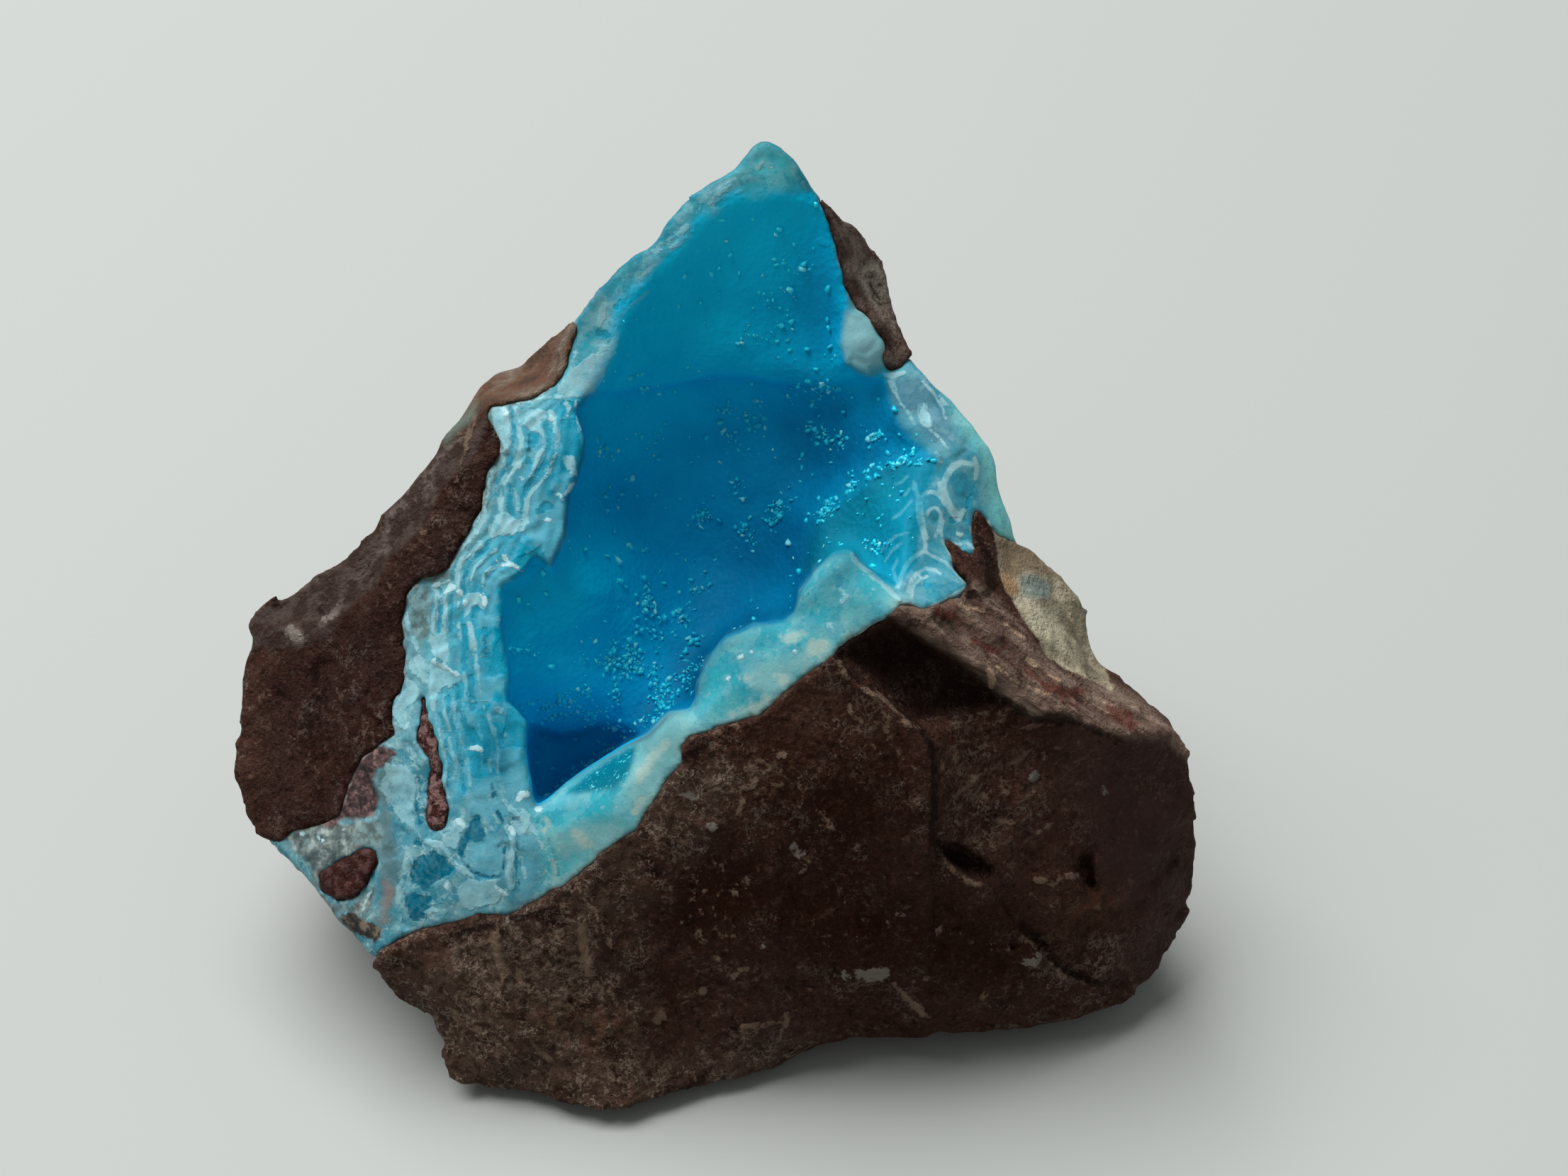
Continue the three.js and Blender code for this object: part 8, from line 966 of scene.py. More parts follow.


# tan veins and flecks; the strokes along the facet beside the crease and along the gouge's lower lip are painted light
# on lit edges
TAN_S = [
    [(813, 1243, 2), (822, 1262, 2), (831, 1278, 3), (843, 1290, 1.5), (853, 1312, 1.5), (862, 1335, 1.5)],
    [(703, 1312, 6), (698, 1330, 8), (704, 1350, 8), (712, 1372, 6), (709, 1385, 2)], [(818, 1310, 4), (822, 1330, 9), (826, 1350, 7), (830, 1372, 4)],
    [(676, 1362, 1.5), (664, 1375, 2), (659, 1384, 2)], [(648, 1398, 2), (641, 1412, 2.5)], [(642, 1420, 1.5), (641, 1430, 1.5)],
    [(770, 1430, 1.5), (780, 1420, 2), (793, 1415, 2.5), (803, 1418, 2), (812, 1428, 2.5), (822, 1437, 2), (832, 1440, 1.5)], [(849, 1385, 2), (850, 1400, 3)],
    [(861, 1395, 1.5), (866, 1410, 1.5)], [(728, 1375, 2), (735, 1390, 3)], [(755, 1475, 2), (770, 1490, 2), (780, 1498, 1.5)], [(815, 1508, 1.5), (835, 1512, 2), (850, 1518, 1.5)],
    [(925, 1440, 4), (935, 1432, 4), (945, 1437, 2)], [(975, 1290, 3), (970, 1300, 2)], [(1042, 1150, 3), (1046, 1135, 3), (1048, 1120, 1.5), (1050, 1112, 3), (1062, 1108, 3), (1070, 1098, 1.5)],
    [(1035, 1082, 1.5), (1055, 1085, 1.5), (1078, 1090, 1.5)], [(1100, 1066, 3), (1110, 1063, 3)], [(1128, 1098, 1.2), (1140, 1085, 1.5), (1145, 1080, 1)],
    [(1127, 1232, 1), (1138, 1222, 1.5), (1146, 1210, 1)], [(1040, 1245, 1.5), (1052, 1240, 1.5)], [(1035, 1262, 1), (1048, 1255, 2), (1054, 1248, 1.5)],
    [(980, 1322, 3), (988, 1316, 3), (996, 1328, 2)], [(1008, 1352, 3), (1015, 1353, 2)], [(1032, 1378, 1), (1042, 1368, 2), (1055, 1366, 1.5)],
    [(960, 1408, 1.5), (985, 1400, 2.5), (1000, 1392, 2)], [(1045, 1460, 3), (1050, 1450, 4), (1065, 1447, 2), (1085, 1443, 1.5), (1105, 1442, 1.5)],
    [(1110, 1430, 4), (1112, 1440, 3), (1100, 1460, 1.5), (1088, 1488, 1.5)], [(1184, 935, 3), (1190, 950, 4), (1196, 958, 2)],
    [(1218, 972, 4), (1228, 978, 5), (1242, 984, 3), (1252, 992, 2), (1265, 1005, 2), (1273, 1012, 1.5)], [(1275, 1018, 4), (1288, 1024, 4), (1298, 1030, 2)],
    [(1196, 1000, 2), (1206, 1012, 2.5), (1216, 1018, 2)], [(1255, 1012, 4)], [(1250, 1032, 4), (1255, 1025, 3)], [(1230, 1028, 3)],
    [(1262, 1390, 4), (1270, 1400, 4), (1285, 1412, 5), (1298, 1425, 4), (1310, 1438, 2)],
    [(1325, 1197, 1.5), (1331, 1210, 2.5), (1336, 1222, 4), (1350, 1232, 2.5), (1362, 1240, 2), (1378, 1248, 3), (1390, 1247, 1)],
    [(1460, 1241, 2), (1475, 1243, 2), (1485, 1247, 1.5)], [(1495, 1238, 3), (1510, 1235, 2.5), (1520, 1235, 1.5)], [(1455, 1262, 2), (1465, 1268, 2), (1478, 1276, 1.5), (1490, 1281, 1)],
    [(1440, 1318, 1), (1455, 1332, 1.2), (1468, 1342, 1)], [(1482, 1360, 1.5), (1492, 1372, 3), (1505, 1380, 2)], [(1375, 1185, 1.5), (1388, 1182, 1.5), (1396, 1188, 1)],
    [(1370, 1138, 1), (1382, 1125, 1.5), (1390, 1120, 1)], [(1370, 1102, 2), (1382, 1092, 3), (1390, 1088, 2)], [(1330, 1148, 3), (1345, 1155, 2), (1355, 1162, 1.5)],
    [(1408, 1158, 4), (1420, 1160, 3), (1430, 1160, 4)], [(1480, 1165, 2), (1488, 1158, 1.5)], [(1465, 1175, 3)], [(1290, 1145, 3), (1293, 1135, 3.5), (1298, 1128, 1.5)],
    [(668, 590, 2), (660, 615, 3), (655, 640, 2.5), (648, 665, 2), (645, 680, 1.5)],
]
BAND_S = [  # on the stepped shelf
    [(1350, 852, 1.5), (1365, 857, 2.2), (1380, 859, 1.8), (1390, 862, 1)], [(1418, 880, 1), (1430, 890, 2), (1445, 900, 1.5)], [(1405, 940, 1.2), (1420, 950, 1.2)],
    [(1425, 958, 1.2), (1450, 968, 1.2), (1480, 980, 1)], [(1475, 950, 1), (1495, 960, 1.5)], [(1450, 930, 3), (1460, 938, 3)], [(1395, 945, 4), (1400, 960, 5), (1398, 968, 3)],
]
GREYP_S = [
    [(1210, 1372, 6), (1222, 1375, 8), (1240, 1376, 8), (1250, 1374, 5)], [(1190, 1376, 5)], [(1450, 1358, 5), (1462, 1357, 5)], [(1462, 1346, 3), (1472, 1349, 3)], [(1456, 1097, 4), (1460, 1092, 3)],
    [(1557, 1112, 3), (1560, 1120, 3)], [(1003, 1165, 5)], [(1078, 1334, 4)], [(962, 1300, 3)], [(960, 1120, 4), (985, 1128, 4)], [(1130, 1205, 5), (1120, 1195, 4)], [(715, 1300, 4), (730, 1310, 3)],
    [(410, 892, 8), (425, 900, 7)], [(455, 875, 4), (470, 868, 3)],
]
RED_S = [
    [(1376, 905, 2), (1390, 912, 3), (1405, 918, 2), (1418, 913, 1)], [(1425, 925, 2), (1440, 940, 2), (1460, 955, 2), (1480, 972, 2)], [(1485, 975, 2), (1495, 985, 2.5), (1500, 988, 2)],
    [(1508, 990, 1.5), (1520, 995, 1.5)], [(1322, 862, 5), (1335, 868, 4), (1345, 870, 3)], [(1480, 972, 5), (1505, 978, 6), (1525, 975, 5)], [(1565, 1000, 6), (1590, 1015, 8), (1600, 1024, 5)],
]
CRACK_AND_STEP_SHADE_S = [  # dark cracks, with painted shadow along the creases, steps and under edges
    [(1176, 922, 2), (1215, 963, 2), (1270, 1003, 2), (1298, 1030, 3), (1314, 1052, 3), (1318, 1110, 3), (1316, 1188, 4)], [(1440, 1302, 3), (1470, 1330, 3), (1488, 1362, 3), (1550, 1387, 2)],
    [(1320, 1190, 5), (1332, 1204, 6), (1350, 1212, 7), (1378, 1222, 6)], [(1530, 1212, 5), (1538, 1228, 5), (1540, 1248, 3)], [(1380, 760, 3), (1395, 790, 4), (1400, 830, 4), (1385, 842, 3)],
    [(1345, 800, 3), (1365, 825, 4), (1372, 838, 4)], [(1318, 868, 3), (1300, 880, 3), (1285, 880, 3)], [(872, 1188, 3), (885, 1160, 3), (900, 1140, 3), (925, 1105, 3), (950, 1075, 3), (1000, 1050, 2)],
    [(640, 1320, 2), (700, 1303, 2), (760, 1290, 2), (800, 1262, 2)], [(1420, 988, 3), (1455, 1014, 3), (1500, 1012, 3), (1545, 1030, 3), (1580, 1043, 3)],
]

def build_host():
    h = 0.39
    lo = np.floor((LO - 2.5) / h).astype(int)
    hi = np.ceil((HI + 2.5) / h).astype(int)
    A, tr = form_field(h, lo, hi)
    S = blur3(A, 0.35 / h) - 0.33
    idx = np.nonzero(np.abs(A) < 2.9)
    P = grid_points(lo, idx, h)
    body = S[idx].copy()
    near = np.abs(body) < 2.4
    Q = P[near]
    a, b, d = unplace(Q)
    fr = smoothstep(d - sample(D_FRONT, a, b), 4.5, 1.5)       # 1 on the front
    c1, _ = chips(Q, 6.5, 31)
    c2, _ = chips(Q, 2.9, 32)
    c3, _ = chips(Q, 1.25, 33)
    n1 = fbm(Q, 9.0, 4, 34)
    f4 = sample(F4, a, b) * fr
    peb = sample(PEBBLY, a, b) * fr
    hk = sample(HACKLE, a, b) * fr
    bev = sample(BEVEL, a, b) * fr
    low = smoothstep(Q[:, 2], 5.0, 2.0)
    edge = smoothstep(np.abs(d - sample(D_FRONT, a, b)), 7.0, 2.5)        # keeps the outline close to its drawing
    r = (0.62 - 0.34 * edge) * c1 + 0.26 * c2 + (0.36 - 0.14 * edge) * n1 + 0.13 * c3
    r *= 1 - 0.45 * low
    r *= 1 - 0.75 * sample(SMOOTHY, a, b)
    r += peb * 0.20 * c3 - 0.30 * low
    m = f4 > 0.02
    st, _ = chips(along(Q[m], DIR4, 0.16), 1.5, 41)
    st2 = perlin(along(Q[m], DIR4, 0.12), 1.1, 42)
    r[m] += f4[m] * (0.42 * st + 0.28 * st2)
    m = hk > 0.02
    st, _ = chips(along(Q[m], DIRH, 0.22), 1.3, 43)
    r[m] += hk[m] * 0.30 * st
    r -= sample(REL, a, b) * fr
    body[near] += r
    S[idx] = body
    idx = np.nonzero(S < 1.4)
    P = grid_points(lo, idx, h)
    a, b, d, s, wall, g = plate_fields(P)
    bed2 = sample(SD_BED, a, b) * s + 0.24 * perlin(P, 1.7, 53) + 0.12 * perlin(P, 0.7, 54)
    bed = smax(bed2 + 0.12, (d - wall - CRUST_T) * g + 0.12, 0.8)
    cl = sample(SD_CLAST, a, b) * s
    n_cl = 0.30 * perlin(P, 1.3, 51) + 0.14 * perlin(P, 0.6, 52)
    bed = np.maximum(bed, -cl - 0.1 - n_cl)
    f = smax(S[idx], -bed, 0.3)
    out = np.full(A.shape, 9 * h, np.float32)
    out[idx] = np.clip(f, -9 * h, 9 * h)
    z = ((np.arange(A.shape[2]) + lo[2]) * h).astype(np.float32)
    k3 = int(np.searchsorted(z, 3.2))                                     # the foot is worn back from the table
    for k_ in np.nonzero(z < 1.7)[0]:
        out[:, :, k_] = np.maximum(out[:, :, k_], out[:, :, k3] - 0.6 + 3.8 * float(smoothstep(np.float64(z[k_]), 1.7, 0.2)))
    out = np.maximum(out, -z[None, None, :])
    pts, tri, quads = polygonise(out, tr, lo, h, 0.0)
    return largest_part(pts, tri, quads)


pts, tri, quads = build_crust()
crust = make_mesh("hemimorphite_skin", pts, tri, quads)
CP = pts
pts, tri, quads = build_host()
host = make_mesh("rock_skin", pts, tri, quads)
HP = pts


def thin_hidden(ob, weight, target):
    """Collapse faces, mostly where nobody looks, until the piece has about target triangles."""
    me = ob.data
    n = sum(len(p.vertices) - 2 for p in me.polygons)
    if n <= target:
        return
    vg = ob.vertex_groups.new(name="hide")
    w_ = np.round(np.clip(weight, 0.0, 1.0), 2)
    for val in np.unique(w_):
        vg.add(np.nonzero(w_ == val)[0].tolist(), float(val), "REPLACE")
    md = ob.modifiers.new("thin", "DECIMATE")
    md.ratio = target / n
    md.vertex_group = "hide"
    md.vertex_group_factor = 4.0
    bpy.context.view_layer.objects.active = ob
    ob.select_set(True)
    with bpy.context.temp_override(object=ob, active_object=ob, selected_objects=[ob]):
        bpy.ops.object.modifier_apply(modifier="thin")
    ob.vertex_groups.clear()
    me.polygons.foreach_set("use_smooth", np.ones(len(me.polygons), bool))


def coords(me):
    A = np.empty(len(me.vertices) * 3, np.float32)
    me.vertices.foreach_get("co", A)
    return A.reshape(-1, 3).astype(np.float64) / MM


def normals(me):
    A = np.empty(len(me.vertices) * 3, np.float32)
    me.vertex_normals.foreach_get("vector", A)
    return A.reshape(-1, 3)


a, b, d, s, wall, g = plate_fields(CP.astype(np.float32))
hidden = ((d - wall) > CRUST_T - 1.2) | (sample(SD_BED, a, b) > -0.25)
front = np.abs(d - sample(D_FRONT, a, b)) < 1.0
thin_hidden(crust, np.where(hidden & ~front, 1.0, 0.0), 190000)
a, b, d, s, wall, g = plate_fields(HP.astype(np.float32))
back = smoothstep(d - sample(D_FRONT, a, b), 2.0, 10.0)
thin_hidden(host, back, 192000)
print("faces", len(crust.data.polygons), len(host.data.polygons))

# ------------------------------------------------------------------ attributes on the crust
CP = coords(crust.data)
Pf = CP.astype(np.float32)
a, b, d, s, wall, g = plate_fields(Pf)
hd = sample(SD_HOLLOW, a, b)
zt_ = np.maximum(sample(ZTOP, a, b), sample(ZTIP, a, b))
inside = smoothstep(-hd + (0.25 + 0.5 * zt_) * perlin(Pf, 1.5, 71) + 0.5 * zt_ * perlin(Pf, 3.5, 72), -0.15 - 0.9 * zt_, 0.35 + 0.9 * zt_)
UPPER = [(780, 562), (823, 553), (870, 551), (923, 545), (976, 538), (1007, 530), (1061, 532), (1095, 540), (1130, 542), (1168, 547), (1230, 520), (1230, 150), (900, 150), (700, 500)]
SLOPE = [(1345, 632), (1310, 640), (1250, 652), (1222, 674), (1180, 708), (1150, 740), (1140, 800), (1262, 840), (1330, 800), (1360, 640)]
# tone of the hollow's wall for the VOID ramp: partly its own blue, partly painted light and shade, lighter on the upper
# wall, the bulge and the pocket and darker under the lip's edge, on the right side and at other spots
wall_tone_and_shading = 0.655 + 0.075 * sample(area_mask(UPPER, 0.15), a, b)
wall_tone_and_shading += 0.05 * sample(spot(900, 600, 80, 70), a, b)
wall_tone_and_shading += 0.08 * sample(spot(990, 300, 90, 60, -35), a, b)
wall_tone_and_shading += 0.10 * sample(spot(838, 865, 60, 95), a, b)
wall_tone_and_shading += 0.17 * sample(spot(790, 970, 55, 36), a, b)
wall_tone_and_shading -= 0.13 * sample(spot(1090, 790, 80, 100), a, b)
wall_tone_and_shading -= 0.14 * sample(spot(1010, 850, 60, 60), a, b)
wall_tone_and_shading -= 0.14 * sample(spot(1120, 790, 40, 50), a, b)
wall_tone_and_shading -= 0.06 * sample(spot(1060, 640, 120, 60), a, b)
wall_tone_and_shading -= 0.26 * sample(spot(1195, 632, 55, 38, -25), a, b)
wall_tone_and_shading -= 0.14 * sample(spot(1255, 600, 36, 40), a, b)
wall_tone_and_shading -= 0.16 * np.exp(-(sample(line_distance(ring([(757, 1132), (800, 1100), (880, 1045), (945, 1000), (985, 985), (1000, 925), (1060, 880), (1120, 865), (1150, 800)])), a, b) / 1.3) ** 2)
wall_tone_and_shading -= 0.17 * sample(area_mask(SLOPE, 0.8), a, b)
wall_tone_and_shading -= 0.04 * sample(spot(1275, 700, 40, 60), a, b)
wall_tone_and_shading += 0.14 * sample(area_mask(POCKET, 0.4), a, b)
wall_tone_and_shading -= 0.16 * sample(spot(966, 955, 18, 34, 20), a, b)
wall_tone_and_shading -= 0.08 * sample(spot(1130, 440, 60, 60), a, b)
wall_tone_and_shading -= 0.20 * sample(spot(905, 1003, 30, 24), a, b)
wall_tone_and_shading -= 0.15 * sample(spot(975, 930, 24, 30), a, b)
wall_tone_and_shading -= 0.08 * sample(spot(880, 950, 36, 28), a, b)
wall_tone_and_shading -= 0.09 * sample(spot(1145, 720, 36, 66), a, b)
wall_tone_and_shading -= 0.10 * sample(spot(1215, 665, 36, 34), a, b)
wall_tone_and_shading += 0.08 * sample(spot(880, 590, 62, 44), a, b)
wall_tone_and_shading += 0.06 * sample(spot(1010, 570, 80, 30), a, b)
wall_tone_and_shading += 0.07 * sample(spot(800, 1003, 26, 15), a, b)
wall_tone_and_shading += 0.08 * sample(spot(1205, 535, 28, 18), a, b)
wall_tone_and_shading -= 0.13 * sample(spot(1160, 420, 26, 80), a, b)
wall_tone_and_shading -= 0.05 * sample(spot(1120, 690, 60, 60), a, b)
wall_tone_and_shading -= 0.08 * sample(spot(1130, 760, 40, 50), a, b)
wall_tone_and_shading -= 0.08 * sample(spot(1060, 800, 26, 34), a, b)
set_attr(crust.data, "wall_tone_and_shading", wall_tone_and_shading)
behind = smoothstep(d - wall, 0.9, 1.8)          # the outer skin at the back
side = smoothstep(d - sample(D_FRONT, a, b), 0.05, 0.8) * smoothstep(hd, -0.25, 0.15)
side = np.maximum(side, behind * smoothstep(hd, 0.0, -0.3))
set_attr(crust.data, "flank", side)
# painted shade: darker along the crest's outline, the lip's upper edge and the lower-left outline, and at spots on the
# rim
shade = 0.72 * np.exp(-(line_distance(ring([(809, 481), (816, 460), (831, 436), (869, 382), (907, 355), (933, 330), (958, 285), (978, 270), (1020, 246), (1048, 220), (1076, 198), (1108, 209), (1126, 235), (1155, 278)])) / 0.62) ** 2) \
    + 0.40 * np.exp(-(line_distance(ring([(384, 1184), (440, 1262), (480, 1305), (532, 1328)])) / 0.7) ** 2) + 0.60 * np.exp(-(line_distance(ring([(980, 965), (998, 918), (1060, 876), (1120, 864), (1160, 838), (1200, 796)])) / 1.05) ** 2) + 0.30 * spot(950, 990, 26, 20) + 0.35 * spot(905, 1040, 17, 16) + 0.26 * spot(1195, 812, 24, 26) + 0.58 * spot(1208, 866, 34, 20) + 0.20 * spot(950, 1040, 20, 20) + 0.22 * spot(1150, 470, 24, 60) \
    + 0.50 * spot(1285, 612, 30, 15, -35) + 0.36 * spot(1262, 580, 15, 24) + 0.28 * spot(1270, 655, 24, 24) + 0.30 * spot(655, 1052, 30, 44) + 0.75 * spot(703, 1056, 15, 40) + 0.16 * spot(640, 930, 22, 44) + 0.22 * spot(795, 650, 18, 44) \
    + 0.15 * spot(575, 1130, 28, 22) + 0.25 * spot(560, 1190, 17, 44)
set_attr(crust.data, "shade", np.clip(sample(shade.astype(np.float32), a, b), 0, 0.85))
inside = np.maximum(inside, smoothstep(d - sample(D_FRONT, a, b), 1.6, 3.0) * np.maximum(sample(ZLIP, a, b), sample(ZS, a, b)) * smoothstep(hd, 2.2, 0.9))
inside = inside * (1 - 0.95 * sample(area_mask([(1248, 528), (1290, 524), (1310, 600), (1352, 628), (1345, 648), (1310, 640), (1288, 620), (1268, 596), (1254, 560)], 0.35), a, b))
inside = inside * (1 - behind)
set_attr(crust.data, "hollow", inside)
set_attr(crust.data, "from_hollow", hd)
set_attr(crust.data, "across_crust", sample(T_RIM, a, b))
set_attr(crust.data, "from_rock", -sample(SD_BED, a, b))
for nm, fld in dict(z_left=ZL, z_patch=ZP, z_lip=ZLIP, z_swirl=ZS, z_top=ZTOP, z_tip=ZTIP, z_teal=ZG, z_blob=ZBLOB, z_faint=area_mask([(630, 940), (750, 930), (760, 1120), (690, 1130), (625, 1120)], 1.2)).items():
    set_attr(crust.data, nm, sample(fld, a, b))
set_attr(crust.data, "underlip", sample(area_mask([(800, 1118), (822, 1098), (845, 1082), (862, 1070), (885, 1055), (898, 1052), (892, 1078), (884, 1096), (868, 1112), (840, 1116), (812, 1121)], 0.3), a, b))
set_attr(crust.data, "slope", sample(area_mask(SLOPE, 1.6), a, b))
set_attr(crust.data, "lilac", sample(area_mask([(1250, 545), (1278, 535), (1300, 530), (1330, 560), (1348, 590), (1352, 622), (1320, 628), (1300, 608), (1285, 585), (1262, 575)], 0.6), a, b))
for nm, st_, ar_ in (("pale", PALE_S, PALE_A), ("bright", BRIGHT_S, []), ("mid", MID_S, MID_A), ("blue", BLUE_S, BLUE_A), ("cream", CREAM_S, []),
                     ("murk", MURK_S, MURK_A), ("rosy", ROSY_S, []), ("grey", [], GREY_A), ("pinkish", [], PINKISH_A), ("wan", [], WAN_A), ("milky", [], MILKY_A), ("umber", [], UMBER_A)):
    set_attr(crust.data, nm, marks_at(a, b, st_, ar_))
set_attr(crust.data, "thread", marks_at(a, b, THREAD_S, thin=False))


# ------------------------------------------------------------------ attributes on the rock
HP = coords(host.data)
Pf = HP.astype(np.float32)
a, b, d = unplace(Pf)
fr = smoothstep(d - sample(D_FRONT, a, b), 4.5, 2.0)
for nm, fld in dict(r_shelf=F4, r_orange=F8, r_bevel=BEVEL, r_undershelf_shade=DARK, r_pebbly=PEBBLY, r_right=RIGHT, r_pink=PINK, r_hackle=HACKLE).items():
    set_attr(host.data, nm, sample(fld, a, b) * fr)
for nm, st_ in (("r_tan", TAN_S), ("r_band", BAND_S), ("r_greyp", GREYP_S), ("r_red", RED_S), ("r_crack_and_step_shade", CRACK_AND_STEP_SHADE_S)):
    set_attr(host.data, nm, marks_at(a, b, st_, far=2.5, thin=False) + 6.0 * (1 - fr))
set_attr(host.data, "r_yellow", marks_at(a, b, areas=[YELLOW_A], far=2.5) + 6.0 * (1 - fr))
rust = 1.0 * spot(840, 1462, 34, 22, 20) + 0.8 * spot(790, 1440, 50, 12) + 0.7 * spot(590, 1350, 40, 22, -20) + 0.9 * spot(1540, 1275, 45, 26) + 0.7 * spot(925, 1440, 14, 10) + 0.4 * spot(925, 1235, 22, 22)
set_attr(host.data, "r_rust", sample(rust.astype(np.float32), a, b) * fr)
mott = 1.0 * spot(950, 1215, 18, 40, 35) + 0.9 * spot(730, 1400, 60, 70) + 0.8 * spot(820, 1340, 40, 60) + 0.7 * spot(900, 1510, 60, 30) + 0.6 * spot(960, 1120, 60, 40) + 0.5 * spot(1400, 1110, 60, 60) + 0.5 * spot(850, 1400, 50, 50) + 0.8 * spot(1560, 1360, 60, 34) + 0.5 * spot(620, 1400, 60, 60) + 0.6 * spot(1240, 1000, 50, 25, 35) + 0.4 * spot(1060, 1110, 30, 30) + 0.4 * spot(700, 1330, 40, 50)
set_attr(host.data, "r_flecks", sample(mott.astype(np.float32), a, b) * fr + 0.35 * (1 - fr))
set_attr(host.data, "r_gouge", sample(np.maximum(gouge, area_mask([(1440, 1302), (1470, 1330), (1488, 1362), (1550, 1385), (1552, 1390), (1515, 1384), (1484, 1370), (1460, 1335)], 0.3)), a, b) * fr)
set_attr(host.data, "r_sliver", sample(area_mask(SLIVER, 0.6), a, b))
set_attr(host.data, "r_worn", sample(area_mask([(1212, 368), (1240, 372), (1256, 395), (1258, 425), (1244, 434), (1224, 428), (1214, 400)], 0.35), a, b))
set_attr(host.data, "r_teal", sample(area_mask([(622, 600), (650, 588), (672, 566), (668, 590), (640, 612), (628, 632)], 0.5), a, b))
for nm, A_ in dict(y_brown=[(1404, 758), (1440, 766), (1484, 798), (1494, 816), (1450, 806), (1436, 814), (1420, 812), (1412, 800)], y_orange=[(1415, 805), (1432, 808), (1438, 838), (1420, 842), (1413, 825)], y_teal=[(1440, 812), (1460, 808), (1485, 825), (1478, 845), (1440, 842)],
                   y_grey=[(1395, 770), (1430, 775), (1425, 805), (1410, 800)], y_cream=[(1450, 855), (1490, 855), (1500, 900), (1520, 935), (1480, 915), (1452, 890)]).items():
    set_attr(host.data, nm, sample(area_mask(A_, 0.3), a, b) * fr)
set_attr(host.data, "y_grey", np.maximum(sample(area_mask([(1395, 765), (1432, 775), (1428, 805), (1410, 800)], 0.3), a, b), sample(area_mask([(1490, 825), (1520, 850), (1528, 878), (1512, 895), (1490, 872)], 0.4), a, b)) * fr)
cl_ = sample(SD_CLAST, a, b)
set_attr(host.data, "clast", smoothstep(cl_, 0.8, 0.3) * fr)
set_attr(host.data, "strip", smoothstep(cl_, 0.8, 0.3) * fr * sample(area_mask([(570, 940), (645, 940), (650, 1180), (580, 1180)], 0.5), a, b))
deep = 0.9 * spot(1000, 1250, 60, 50, 20) + 0.9 * spot(1180, 1290, 110, 60) + 0.8 * spot(1390, 1345, 80, 45) + 0.6 * spot(870, 1350, 40, 70) + 0.7 * spot(1200, 1130, 70, 60) + 0.5 * spot(1590, 1210, 60, 60)
set_attr(host.data, "r_deep", sample(np.minimum(deep, 1.0).astype(np.float32), a, b) * fr)
set_attr(host.data, "r_front", fr)
# painted shade: the left face darker and a little bluer
set_attr(host.data, "r_dim", sample(area_mask([(360, 1180), (380, 960), (470, 890), (600, 750), (700, 590), (720, 700), (650, 800), (600, 830), (580, 960), (570, 1050), (480, 1160)], 1.2), a, b) * fr * 0.9)


